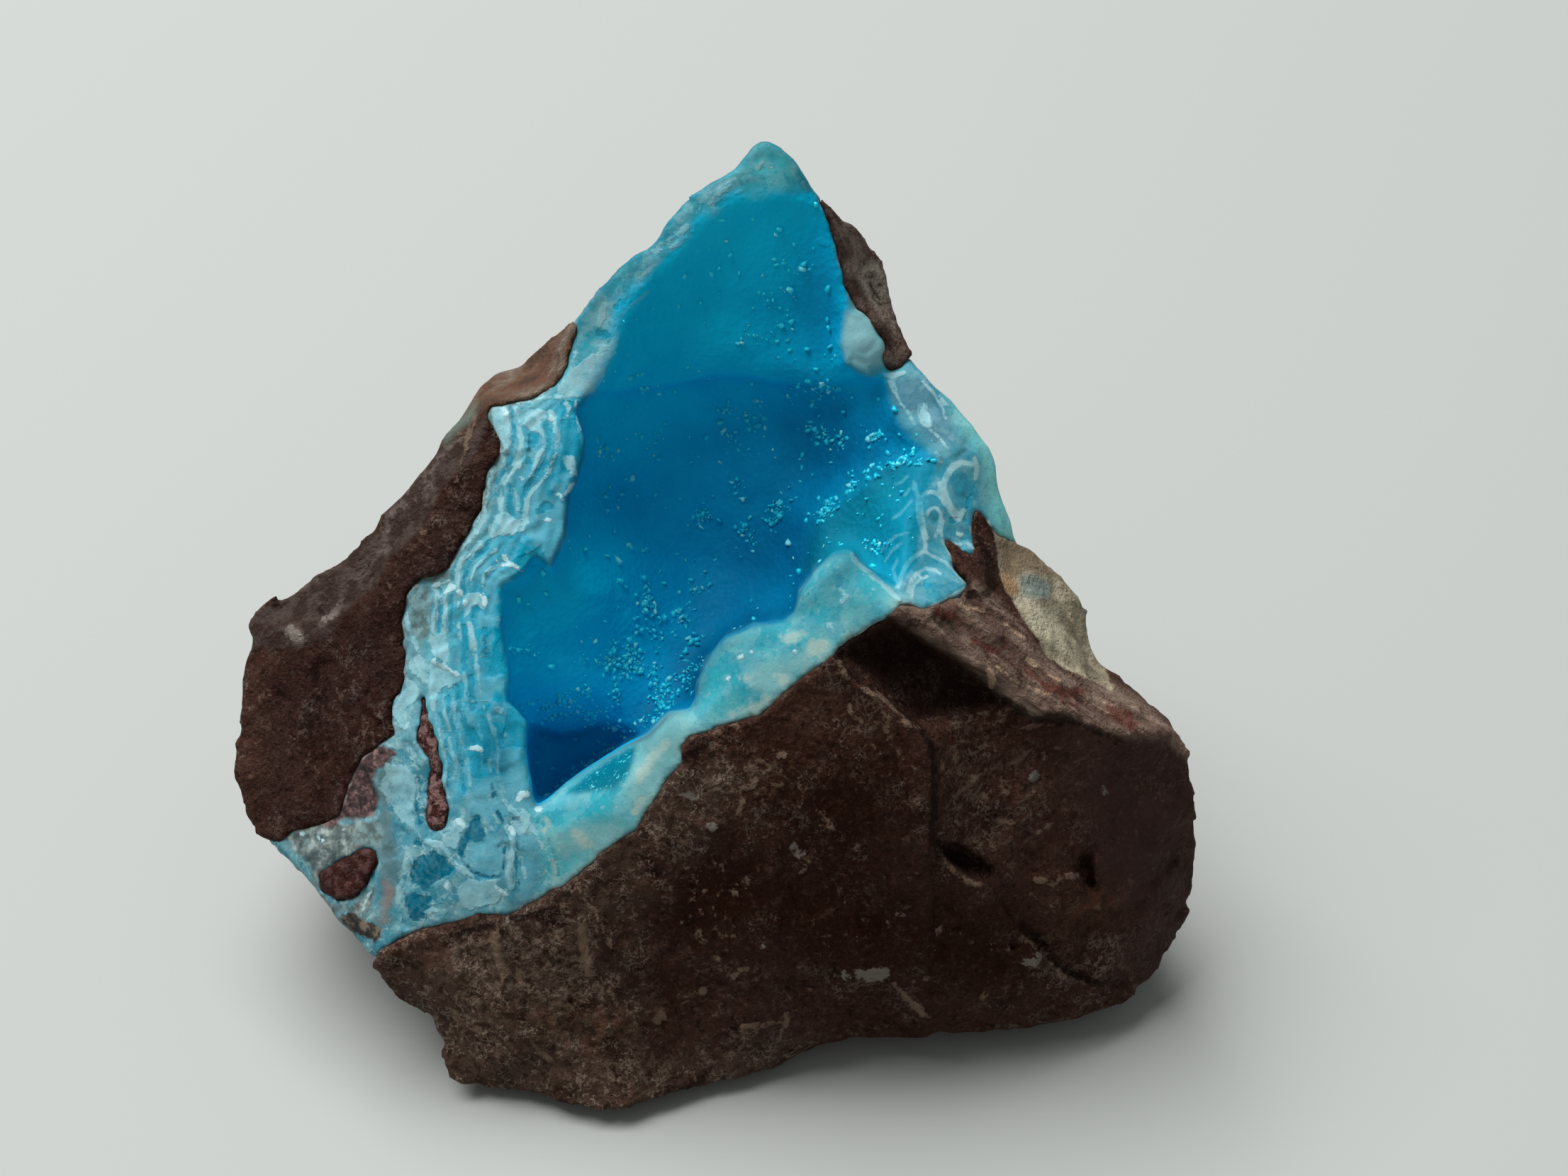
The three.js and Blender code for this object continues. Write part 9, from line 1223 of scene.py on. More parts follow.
# ------------------------------------------------------------------ druse on the hollow's wall
def build_druse():
    rng = np.random.RandomState(5)
    N = normals(crust.data)
    P = CP
    a, b, d, s, wall, g = plate_fields(P.astype(np.float32))
    hd = sample(SD_HOLLOW, a, b)
    ok = (hd < -0.3) & (np.abs(d - wall) < 2.4) & (N @ (-INTO).astype(np.float32) > 0.05)
    W = np.full(GA.shape, 0.013, np.float32)
    for u, v, ru, rv, w_ in [(1094, 405, 12, 30, .30), (1127, 378, 6, 10, .6), (1051, 464, 16, 14, .35), (1062, 583, 16, 16, .45), (1116, 567, 6, 8, .6), (1165, 556, 20, 10, .3), (910, 550, 10, 12, .15),
                             (926, 621, 8, 16, .35), (1029, 602, 14, 18, .3), (1149, 594, 10, 14, .4), (1176, 626, 8, 12, .6), (1096, 712, 7, 16, .7), (1051, 754, 10, 14, .3), (991, 729, 8, 8, .5), (1040, 690, 12, 14, .2),
                             (994, 811, 8, 12, .7), (975, 827, 8, 7, .6), (915, 849, 9, 12, .5), (943, 881, 12, 10, .6), (964, 868, 9, 9, .6), (866, 935, 22, 14, .8), (937, 957, 10, 14, .6), (905, 930, 26, 26, .15), (753, 921, 7, 4, 1.0), (726, 919, 5, 4, .9), (936, 1000, 12, 22, .35),
                             (1241, 618, 8, 5, 1.0), (1238, 767, 7, 6, .7), (1172, 764, 12, 6, .4), (900, 700, 20, 14, .1), (780, 1000, 24, 8, .5), (840, 985, 26, 10, .35), (700, 640, 6, 6, .2), (860, 640, 14, 10, .2), (980, 945, 12, 24, .5)]:
        W += w_ * spot(u, v, ru, rv)
    W += 0.55 * np.exp(-(line_distance(ring([(1315, 640), (1280, 650), (1250, 652), (1225, 665)])) / 0.45) ** 2)
    W += 0.5 * np.exp(-(line_distance(ring([(1212, 680), (1200, 700), (1180, 712), (1155, 730)])) / 0.5) ** 2)
    W += 0.9 * np.exp(-(line_distance(ring([(800, 1108), (815, 1095), (840, 1082), (862, 1066), (900, 1050)])) / 0.6) ** 2)
    W += 0.5 * np.exp(-(line_distance(ring([(752, 1134), (790, 1122), (830, 1104)])) / 0.5) ** 2)
    W += 0.35 * np.exp(-(line_distance(ring([(790, 985), (850, 1010), (900, 1020), (925, 1010)])) / 0.7) ** 2)
    pw = sample(W, a, b) * ok
    lift = smoothstep(perlin(P.astype(np.float32), 1.6, 91), -0.1, 0.35)
    pw = pw * (0.12 + 0.88 * lift)
    hit = np.nonzero(rng.random_sample(len(P)) < pw * 1.9)[0]
    hit = hit[rng.permutation(len(hit))[:9500]]
    n = len(hit)
    C = P[hit] + rng.normal(scale=0.10, size=(n, 3))
    Z = N[hit] + rng.normal(scale=0.55, size=(n, 3))
    Z /= np.linalg.norm(Z, axis=1)[:, None]
    X = np.cross(Z, rng.normal(size=(n, 3)))
    X /= np.linalg.norm(X, axis=1)[:, None]
    Y = np.cross(Z, X)
    size = 0.08 + 0.22 * rng.random_sample(n) ** 2.4
    wx, wy, hz = size, size * (0.45 + 0.3 * rng.random_sample(n)), size * (1.0 + 0.9 * rng.random_sample(n))
    C = C - N[hit] * (0.35 * hz)[:, None]
    loc = [(-1, -1, -1), (1, -1, -1), (1, 1, -1), (-1, 1, -1), (-1, -1, .55), (1, -1, .55), (1, 1, .55), (-1, 1, .55), (-.72, 0, 1), (.72, 0, 1)]
    V = np.stack([C + X * (wx * p)[:, None] + Y * (wy * q)[:, None] + Z * (hz * r)[:, None] for p, q, r in loc], axis=1)
    quad = np.array([(0, 3, 2, 1), (0, 1, 5, 4), (1, 2, 6, 5), (2, 3, 7, 6), (3, 0, 4, 7), (4, 5, 9, 8), (6, 7, 8, 9)])
    tri = np.array([(5, 6, 9), (7, 4, 8)])
    base = (np.arange(n) * 10)[:, None, None]
    ob = make_mesh("druse_crystals", V.reshape(-1, 3), (tri[None] + base).reshape(-1, 3), (quad[None] + base).reshape(-1, 4), smooth=False)
    set_attr(ob.data, "glint", np.repeat(rng.random_sample(n), 10))
    set_attr(ob.data, "wall_tone_and_shading", np.repeat(WALL_TONE_AND_SHADING[hit], 10))
    print("druse", n)
    return ob


WALL_TONE_AND_SHADING = wall_tone_and_shading
druse = build_druse()


# ------------------------------------------------------------------ shader helper
class Graph:
    def __init__(self, name):
        self.mat = bpy.data.materials.new(name)
        self.mat.use_nodes = True
        self.nt = self.mat.node_tree
        self.bsdf = self.nt.nodes["Principled BSDF"]
        self.co = self.nt.nodes.new("ShaderNodeTexCoord").outputs["Object"]
        self.out = self.nt.nodes["Material Output"]

    def put(self, sock, v):
        if isinstance(v, bpy.types.NodeSocket):
            self.nt.links.new(v, sock)
        elif isinstance(v, tuple) and sock.type == "RGBA" and len(v) == 3:
            sock.default_value = (*v, 1)
        else:
            sock.default_value = v

    def math(self, op, a, b=0.0, clamp=False):
        n = self.nt.nodes.new("ShaderNodeMath")
        n.operation = op
        n.use_clamp = clamp
        self.put(n.inputs[0], a)
        self.put(n.inputs[1], b)
        return n.outputs[0]

    def vmath(self, op, a, b=None, scale=None):
        n = self.nt.nodes.new("ShaderNodeVectorMath")
        n.operation = op
        self.put(n.inputs[0], a)
        if b is not None:
            self.put(n.inputs[1], b)
        if scale is not None:
            self.put(n.inputs["Scale"], scale)
        return n.outputs[0]

    def mix(self, f, a, b, mode="MIX"):
        n = self.nt.nodes.new("ShaderNodeMix")
        n.data_type = "RGBA"
        n.blend_type = mode
        n.clamp_factor = True
        self.put(n.inputs[0], f)
        self.put(n.inputs[6], a)
        self.put(n.inputs[7], b)
        return n.outputs[2]

    def fmix(self, f, a, b):
        n = self.nt.nodes.new("ShaderNodeMix")
        n.data_type = "FLOAT"
        self.put(n.inputs[0], f)
        self.put(n.inputs[2], a)
        self.put(n.inputs[3], b)
        return n.outputs[0]

    def ramp(self, f, stops, mode="LINEAR"):
        n = self.nt.nodes.new("ShaderNodeValToRGB")
        cr = n.color_ramp
        cr.interpolation = mode
        while len(cr.elements) < len(stops):
            cr.elements.new(0.5)
        for e, (p, c) in zip(cr.elements, stops):
            e.position = p
        for e, (p, c) in zip(cr.elements, stops):
            c = (c, c, c) if isinstance(c, (int, float)) else c
            e.color = (*c, 1)
        self.put(n.inputs[0], f)
        return n.outputs[0]

    def attr(self, name):
        n = self.nt.nodes.new("ShaderNodeAttribute")
        n.attribute_name = name
        return n.outputs["Fac"]

    def noise(self, size, detail=3.0, rough=0.55, vec=None, distort=0.0, kind="FBM"):
        n = self.nt.nodes.new("ShaderNodeTexNoise")
        n.noise_dimensions = "3D"
        n.noise_type = kind
        n.inputs["Scale"].default_value = 1000.0 / size
        n.inputs["Detail"].default_value = detail
        n.inputs["Roughness"].default_value = rough
        n.inputs["Distortion"].default_value = distort
        self.put(n.inputs["Vector"], vec if vec is not None else self.co)
        return n.outputs["Fac"]

    def noise_col(self, size, detail=2.0, vec=None):
        n = self.nt.nodes.new("ShaderNodeTexNoise")
        n.inputs["Scale"].default_value = 1000.0 / size
        n.inputs["Detail"].default_value = detail
        self.put(n.inputs["Vector"], vec if vec is not None else self.co)
        return n.outputs["Color"]

    def voronoi(self, size, feature="F1", out="Distance", vec=None, rnd=1.0):
        n = self.nt.nodes.new("ShaderNodeTexVoronoi")
        n.feature = feature
        n.inputs["Scale"].default_value = 1000.0 / size
        n.inputs["Randomness"].default_value = rnd
        self.put(n.inputs["Vector"], vec if vec is not None else self.co)
        return n.outputs[out]

    def smooth(self, x, lo, hi, a=0.0, b=1.0):
        n = self.nt.nodes.new("ShaderNodeMapRange")
        n.interpolation_type = "SMOOTHSTEP"
        self.put(n.inputs["Value"], x)
        n.inputs["From Min"].default_value = lo
        n.inputs["From Max"].default_value = hi
        n.inputs["To Min"].default_value = a
        n.inputs["To Max"].default_value = b
        return n.outputs[0]

    def warp(self, size, amount):
        """Object coordinates pushed about by noise; amount in mm."""
        c = self.noise_col(size)
        c = self.vmath("SUBTRACT", c, (0.5, 0.5, 0.5))
        c = self.vmath("SCALE", c, scale=amount * 0.002)
        return self.vmath("ADD", self.co, c)

    def bump(self, height, dist_mm, strength=1.0, normal=None):
        n = self.nt.nodes.new("ShaderNodeBump")
        n.inputs["Strength"].default_value = strength
        n.inputs["Distance"].default_value = dist_mm * MM
        self.put(n.inputs["Height"], height)
        if normal is not None:
            self.put(n.inputs["Normal"], normal)
        return n.outputs[0]


def mul(G, *x):
    r = x[0]
    for y in x[1:]:
        r = G.math("MULTIPLY", r, y)
    return r


VOID = [(0.0, (0.0, 0.055, 0.15)), (0.25, (0.0, 0.16, 0.34)), (0.42, (0.0, 0.27, 0.52)), (0.58, (0.0, 0.41, 0.72)), (0.75, (0.0, 0.56, 0.86)), (0.95, (0.01, 0.68, 0.94))]


def crust_material():
    G = Graph("hemimorphite")
    w1 = G.warp(1.2, 0.5)
    n_big = G.noise(5.0, 3)
    n_mid = G.noise(1.6, 3)
    n_fine = G.noise(0.45, 2)
    c_ = lambda x: G.math("SUBTRACT", x, 0.5)
    cell = G.nt.nodes.new("ShaderNodeSeparateColor")
    G.put(cell.inputs[0], G.voronoi(0.75, "F1", "Color", vec=G.warp(0.6, 0.25)))
    cell2 = G.nt.nodes.new("ShaderNodeSeparateColor")
    G.put(cell2.inputs[0], G.voronoi(1.7, "F1", "Color", vec=G.warp(1.0, 0.6)))
    ragged = G.math("ADD", mul(G, c_(G.noise(0.9, 4, 0.7)), 0.50), mul(G, c_(cell.outputs[0]), 0.26))
    frayed = G.math("ADD", mul(G, c_(G.noise(2.4, 4, 0.65)), 1.5), mul(G, c_(cell.outputs[1]), 0.35))

    def mark(name, lo=0.11, hi=-0.09, wild=None):
        return G.smooth(G.math("ADD", G.attr(name), ragged if wild is None else wild), lo, hi)

    # hollow wall
    wall_tone_and_shading = G.math("ADD", G.attr("wall_tone_and_shading"), G.math("MULTIPLY", c_(n_big), 0.20))
    wall_tone_and_shading = G.math("ADD", wall_tone_and_shading, G.math("MULTIPLY", c_(n_mid), 0.07))
    void = G.ramp(wall_tone_and_shading, VOID)
    void = G.mix(mul(G, G.attr("slope"), 0.75), void, G.mix(n_big, (0.0, 0.195, 0.275), (0.006, 0.27, 0.355)))
    # left rim: paler and greyer outside, bluer inwards, with faint bands across
    t = G.attr("across_crust")
    tw = G.math("ADD", t, G.math("MULTIPLY", c_(G.noise(3.4, 2)), 0.22))
    left = G.ramp(tw, [(0.0, (0.17, 0.37, 0.41)), (0.30, (0.11, 0.43, 0.53)), (0.60, (0.03, 0.38, 0.53)), (0.8, (0.0, 0.33, 0.49)), (1.0, (0.0, 0.32, 0.49))])
    tb = G.math("ADD", tw, G.math("MULTIPLY", c_(G.noise(0.9, 2)), 0.10))
    wave = G.math("SINE", G.math("MULTIPLY", tb, 52.0))
    outer = G.smooth(t, 0.95, 0.55)
    left = G.mix(mul(G, G.smooth(wave, 0.1, 0.95), outer, 0.09), left, (0.40, 0.66, 0.72))
    left = G.mix(mul(G, G.smooth(wave, -0.2, -0.95), 0.08), left, (0.003, 0.24, 0.38))
    left = G.mix(mul(G, G.smooth(G.noise(2.6, 3, vec=w1), 0.50, 0.66), outer, 0.35), left, (0.20, 0.47, 0.56))
    crusty = mul(G, G.smooth(t, 0.20, 0.0), G.smooth(G.noise(0.9, 3, 0.7), 0.46, 0.58))
    left = G.mix(mul(G, crusty, 0.7), left, (0.10, 0.13, 0.12))
    # lower-left patch: greyer clots
    patch = G.mix(G.smooth(G.noise(3.6, 4, 0.6, vec=G.warp(4.0, 2.2)), 0.40, 0.62), (0.05, 0.26, 0.345), (0.15, 0.37, 0.42))
    patch = G.mix(mul(G, G.smooth(G.noise(1.3, 3, 0.6, vec=w1), 0.52, 0.64), 0.55), patch, (0.29, 0.50, 0.52))
    patch = G.mix(mul(G, G.smooth(G.noise(1.8, 3, 0.6), 0.56, 0.66), 0.5), patch, (0.02, 0.20, 0.31))
    # lip: turquoise, creamier towards the rock
    fr = G.attr("from_rock")
    fh = G.attr("from_hollow")
    lip = G.mix(G.smooth(G.math("ADD", fr, G.math("MULTIPLY", c_(n_big), 5.0)), 3.6, 0.6), (0.035, 0.39, 0.47), (0.13, 0.46, 0.50))
    lip = G.mix(mul(G, G.smooth(G.noise(3.0, 3), 0.50, 0.66), 0.50), lip, (0.22, 0.52, 0.53))
    lip = G.mix(mul(G, G.smooth(G.noise(2.4, 2), 0.52, 0.68), 0.50), lip, (0.01, 0.33, 0.43))
    lip = G.mix(mul(G, G.smooth(n_mid, 0.54, 0.70), 0.35), lip, (0.26, 0.54, 0.54))
    lip = G.mix(mul(G, G.smooth(G.noise(0.6, 2), 0.64, 0.72), 0.35), lip, (0.44, 0.64, 0.61))
    lip = G.mix(mul(G, G.smooth(G.math("ADD", fr, mul(G, frayed, 0.9)), 1.1, 0.1), 0.55), lip, (0.36, 0.52, 0.47))
    lip = G.mix(mul(G, G.smooth(G.math("ABSOLUTE", G.math("SUBTRACT", fh, 0.18)), 0.22, 0.04), 0.16), lip, (0.22, 0.52, 0.56))
    # right side
    right = G.mix(G.smooth(n_mid, 0.40, 0.66), (0.035, 0.29, 0.40), (0.10, 0.38, 0.47))
    right = G.mix(mul(G, G.smooth(G.noise(3.4, 3), 0.50, 0.66), 0.6), right, (0.14, 0.36, 0.42))
    right = G.mix(mul(G, G.attr("lilac"), 0.8), right, G.mix(n_mid, (0.065, 0.20, 0.27), (0.12, 0.26, 0.33)))
    teal = G.mix(n_big, (0.15, 0.58, 0.59), (0.27, 0.69, 0.69))
    top = G.mix(G.smooth(G.noise(1.5, 3, vec=w1), 0.42, 0.68), (0.05, 0.42, 0.53), (0.24, 0.57, 0.64))
    tip = G.mix(G.smooth(n_mid, 0.46, 0.70), (0.07, 0.50, 0.57), (0.22, 0.62, 0.67))
    rim = G.mix(G.attr("z_left"), (0.06, 0.37, 0.46), left)
    rim = G.mix(G.attr("z_patch"), rim, patch)
    rim = G.mix(G.attr("z_top"), rim, top)
    rim = G.mix(G.attr("z_tip"), rim, tip)
    rim = G.mix(G.attr("z_swirl"), rim, right)
    rim = G.mix(G.attr("z_teal"), rim, teal)
    rim = G.mix(G.attr("z_lip"), rim, lip)
    # small broken faces, each a little lighter or darker than the next
    rim = G.mix(mul(G, G.smooth(cell.outputs[2], 0.70, 0.76), G.smooth(n_mid, 0.40, 0.60), 0.20), rim, (0.30, 0.56, 0.62))
    rim = G.mix(mul(G, G.smooth(cell2.outputs[0], 0.30, 0.24), 0.28), rim, (0.02, 0.25, 0.37))
    rim = G.mix(mul(G, G.smooth(cell2.outputs[1], 0.78, 0.84), 0.16), rim, (0.32, 0.56, 0.62))
    rim = G.mix(mul(G, G.smooth(n_fine, 0.44, 0.30), 0.30), rim, (0.01, 0.22, 0.32))
    # thin pale curls between clots
    curl = G.math("ABSOLUTE", c_(G.noise(2.1, 2, 0.5, vec=G.warp(1.3, 0.9))))
    curl = mul(G, G.smooth(curl, 0.030, 0.008), G.smooth(n_big, 0.38, 0.56))
    rim = G.mix(mul(G, curl, G.math("ADD", mul(G, G.attr("z_patch"), 0.60), 0.05)), rim, (0.42, 0.62, 0.63))
    curl2 = G.smooth(G.math("ABSOLUTE", c_(G.noise(1.1, 2, 0.5, vec=G.warp(0.8, 0.5)))), 0.040, 0.010)
    rim = G.mix(mul(G, curl2, G.smooth(G.noise(2.8, 2), 0.46, 0.60), G.math("ADD", mul(G, G.attr("z_patch"), 0.40), 0.05)), rim, (0.38, 0.60, 0.62))
    # drawn marks, from the broad ones to the sharp ones
    worn = G.smooth(G.noise(0.8, 3, 0.65), 0.30, 0.52, 0.45, 1.0)
    rim = G.mix(mul(G, mark("mid", 0.30, -0.30, frayed), 0.75), rim, G.mix(n_mid, (0.07, 0.35, 0.46), (0.16, 0.46, 0.56)))
    rim = G.mix(mul(G, mark("grey", 0.35, -0.35, frayed), 0.9), rim, G.ramp(G.noise(1.1, 4, 0.65), [(0.36, (0.055, 0.065, 0.060)), (0.47, (0.13, 0.155, 0.145)), (0.55, (0.23, 0.27, 0.25)), (0.64, (0.42, 0.48, 0.45))]))
    rim = G.mix(mul(G, mark("pinkish", 0.30, -0.30, frayed), 0.95), rim, G.ramp(G.noise(0.7, 4, 0.7), [(0.38, (0.035, 0.015, 0.012)), (0.48, (0.085, 0.040, 0.036)), (0.56, (0.18, 0.095, 0.088)), (0.66, (0.30, 0.20, 0.185))]))
    rim = G.mix(mul(G, mark("wan", 0.5, -0.5, frayed), 0.7), rim, G.mix(n_mid, (0.09, 0.135, 0.135), (0.18, 0.24, 0.235)))
    rim = G.mix(mul(G, mark("umber", 0.22, -0.22, frayed), 0.95), rim, G.ramp(G.noise(0.9, 3, 0.65), [(0.40, (0.035, 0.018, 0.012)), (0.52, (0.075, 0.045, 0.032)), (0.62, (0.24, 0.18, 0.13))]))
    rim = G.mix(mul(G, mark("murk", 0.25, -0.25, frayed), 0.85), rim, G.mix(G.smooth(G.noise(0.8, 3, 0.65), 0.4, 0.6), (0.12, 0.17, 0.16), (0.22, 0.36, 0.37)))
    rim = G.mix(mul(G, mark("blue", 0.13, -0.11, G.math("ADD", ragged, mul(G, frayed, G.attr("z_patch"), 0.40))), G.math("ADD", 0.82, mul(G, G.attr("z_patch"), G.smooth(n_fine, 0.35, 0.6, 0.17, -0.04)))), rim, G.mix(G.attr("z_patch"), G.mix(n_mid, (0.0, 0.25, 0.39), (0.02, 0.34, 0.48)), (0.0, 0.13, 0.21)))
    faint = G.math("SUBTRACT", 1.0, mul(G, G.attr("z_faint"), 0.45))
    rim = G.mix(mul(G, mark("pale", 0.11, -0.09, G.math("ADD", ragged, mul(G, frayed, G.attr("z_patch"), 0.45))), worn, faint, G.math("SUBTRACT", 0.86, mul(G, G.attr("z_patch"), 0.24))), rim, G.mix(n_mid, (0.27, 0.56, 0.62), (0.42, 0.70, 0.75)))
    rim = G.mix(mul(G, G.smooth(G.math("ADD", G.attr("thread"), mul(G, ragged, 0.22)), 0.10, -0.05), G.smooth(n_mid, 0.30, 0.55, 0.55, 0.95), 0.9), rim, G.mix(n_mid, (0.26, 0.54, 0.60), (0.44, 0.68, 0.72)))
    rim = G.mix(mul(G, mark("milky", 0.7, -0.7, frayed), 0.6), rim, G.mix(n_mid, (0.18, 0.42, 0.43), (0.32, 0.54, 0.52)))
    rim = G.mix(mul(G, mark("cream", 0.30, -0.30, frayed), 0.7), rim, (0.42, 0.56, 0.50))
    rim = G.mix(mul(G, mark("bright", 0.10, -0.06), 0.95), rim, (0.50, 0.75, 0.79))
    rim = G.mix(mul(G, mark("rosy", 0.35, -0.25, frayed), 0.75), rim, (0.27, 0.21, 0.195))
    rim = G.mix(G.smooth(G.math("ADD", fr, mul(G, frayed, 0.4)), 0.32, -0.05, 0.0, 0.65), rim, G.mix(G.smooth(G.noise(1.1, 2), 0.45, 0.6), (0.13, 0.12, 0.10), (0.42, 0.43, 0.38)))
    rim = G.mix(mul(G, G.attr("underlip"), G.smooth(G.math("ADD", mul(G, G.attr("pale"), -1.0), frayed), -0.2, -0.8)), rim, G.mix(n_mid, (0.0, 0.12, 0.19), (0.0, 0.20, 0.28)))
    rim = G.mix(mul(G, G.attr("flank"), 0.80), rim, G.mix(G.attr("z_patch"), G.mix(n_mid, (0.045, 0.15, 0.18), (0.12, 0.27, 0.30)), G.mix(n_mid, (0.05, 0.058, 0.052), (0.13, 0.145, 0.135))))
    # painted glints: bright cyan specks on the lip's underside
    painted_glints = mul(G, G.attr("underlip"), G.smooth(G.noise(0.34, 2, 0.6), 0.60, 0.68))
    rim = G.mix(mul(G, painted_glints, 0.85), rim, (0.12, 0.66, 0.76))
    col = G.mix(G.attr("hollow"), rim, void)
    col = G.mix(mul(G, G.attr("hollow"), G.smooth(G.math("ADD", G.attr("thread"), mul(G, ragged, 0.22)), 0.10, -0.03), G.smooth(n_mid, 0.30, 0.55, 0.4, 0.8), 0.55), col, (0.14, 0.48, 0.58))
    # painted shade: the colour multiplied darker and bluer where shade is set
    col = G.mix(G.attr("shade"), col, G.mix(1.0, col, (0.25, 0.46, 0.50), "MULTIPLY"))
    blob = G.mix(n_mid, (0.19, 0.49, 0.54), (0.33, 0.58, 0.62))
    col = G.mix(G.attr("z_blob"), col, blob)
    G.put(G.bsdf.inputs["Base Color"], col)
    G.put(G.bsdf.inputs["Roughness"], G.fmix(G.attr("hollow"), G.smooth(n_fine, 0.3, 0.7, 0.36, 0.55), G.smooth(n_fine, 0.3, 0.7, 0.45, 0.65)))
    hgt = G.math("ADD", G.math("MULTIPLY", n_fine, 0.5), G.math("MULTIPLY", G.noise(0.18, 1), 0.25))
    hgt = G.math("ADD", hgt, G.math("MULTIPLY", G.voronoi(0.55, "F1"), G.attr("hollow")))
    sharp = G.math("SUBTRACT", G.math("ADD", mark("pale"), mark("bright")), mark("blue"))
    hgt = G.math("ADD", hgt, mul(G, sharp, 0.8))
    hgt = G.math("ADD", hgt, mul(G, G.math("ADD", cell.outputs[0], cell2.outputs[1]), G.math("SUBTRACT", 1.0, G.attr("hollow")), 0.7))
    G.put(G.bsdf.inputs["Normal"], G.bump(hgt, 0.07))
    b_ = G.bsdf.inputs
    b_["IOR"].default_value = 1.45
    b_["Subsurface Weight"].default_value = 0.15
    b_["Subsurface Radius"].default_value = (0.2, 0.7, 1.0)
    b_["Subsurface Scale"].default_value = 0.0004
    b_["Specular IOR Level"].default_value = 0.08
    return G.mat


def druse_material():
    G = Graph("druse")
    gl = G.attr("glint")
    n = G.noise(0.5, 1)
    # the crystals take the wall's tone, painted light and shade included
    base = G.ramp(G.math("ADD", G.attr("wall_tone_and_shading"), G.math("MULTIPLY", n, 0.10)), VOID)
    col = G.mix(G.smooth(gl, 0.1, 1.0, 0.45, 0.95), base, G.mix(G.smooth(gl, 0.75, 1.0), (0.01, 0.80, 1.0), (0.30, 0.92, 1.0)))
    G.put(G.bsdf.inputs["Base Color"], col)
    b_ = G.bsdf.inputs
    G.put(b_["Roughness"], G.fmix(n, 0.20, 0.34))
    b_["IOR"].default_value = 1.6
    b_["Specular IOR Level"].default_value = 0.30
    b_["Subsurface Weight"].default_value = 0.3
    b_["Subsurface Radius"].default_value = (0.2, 0.8, 1.0)
    b_["Subsurface Scale"].default_value = 0.0004
    return G.mat


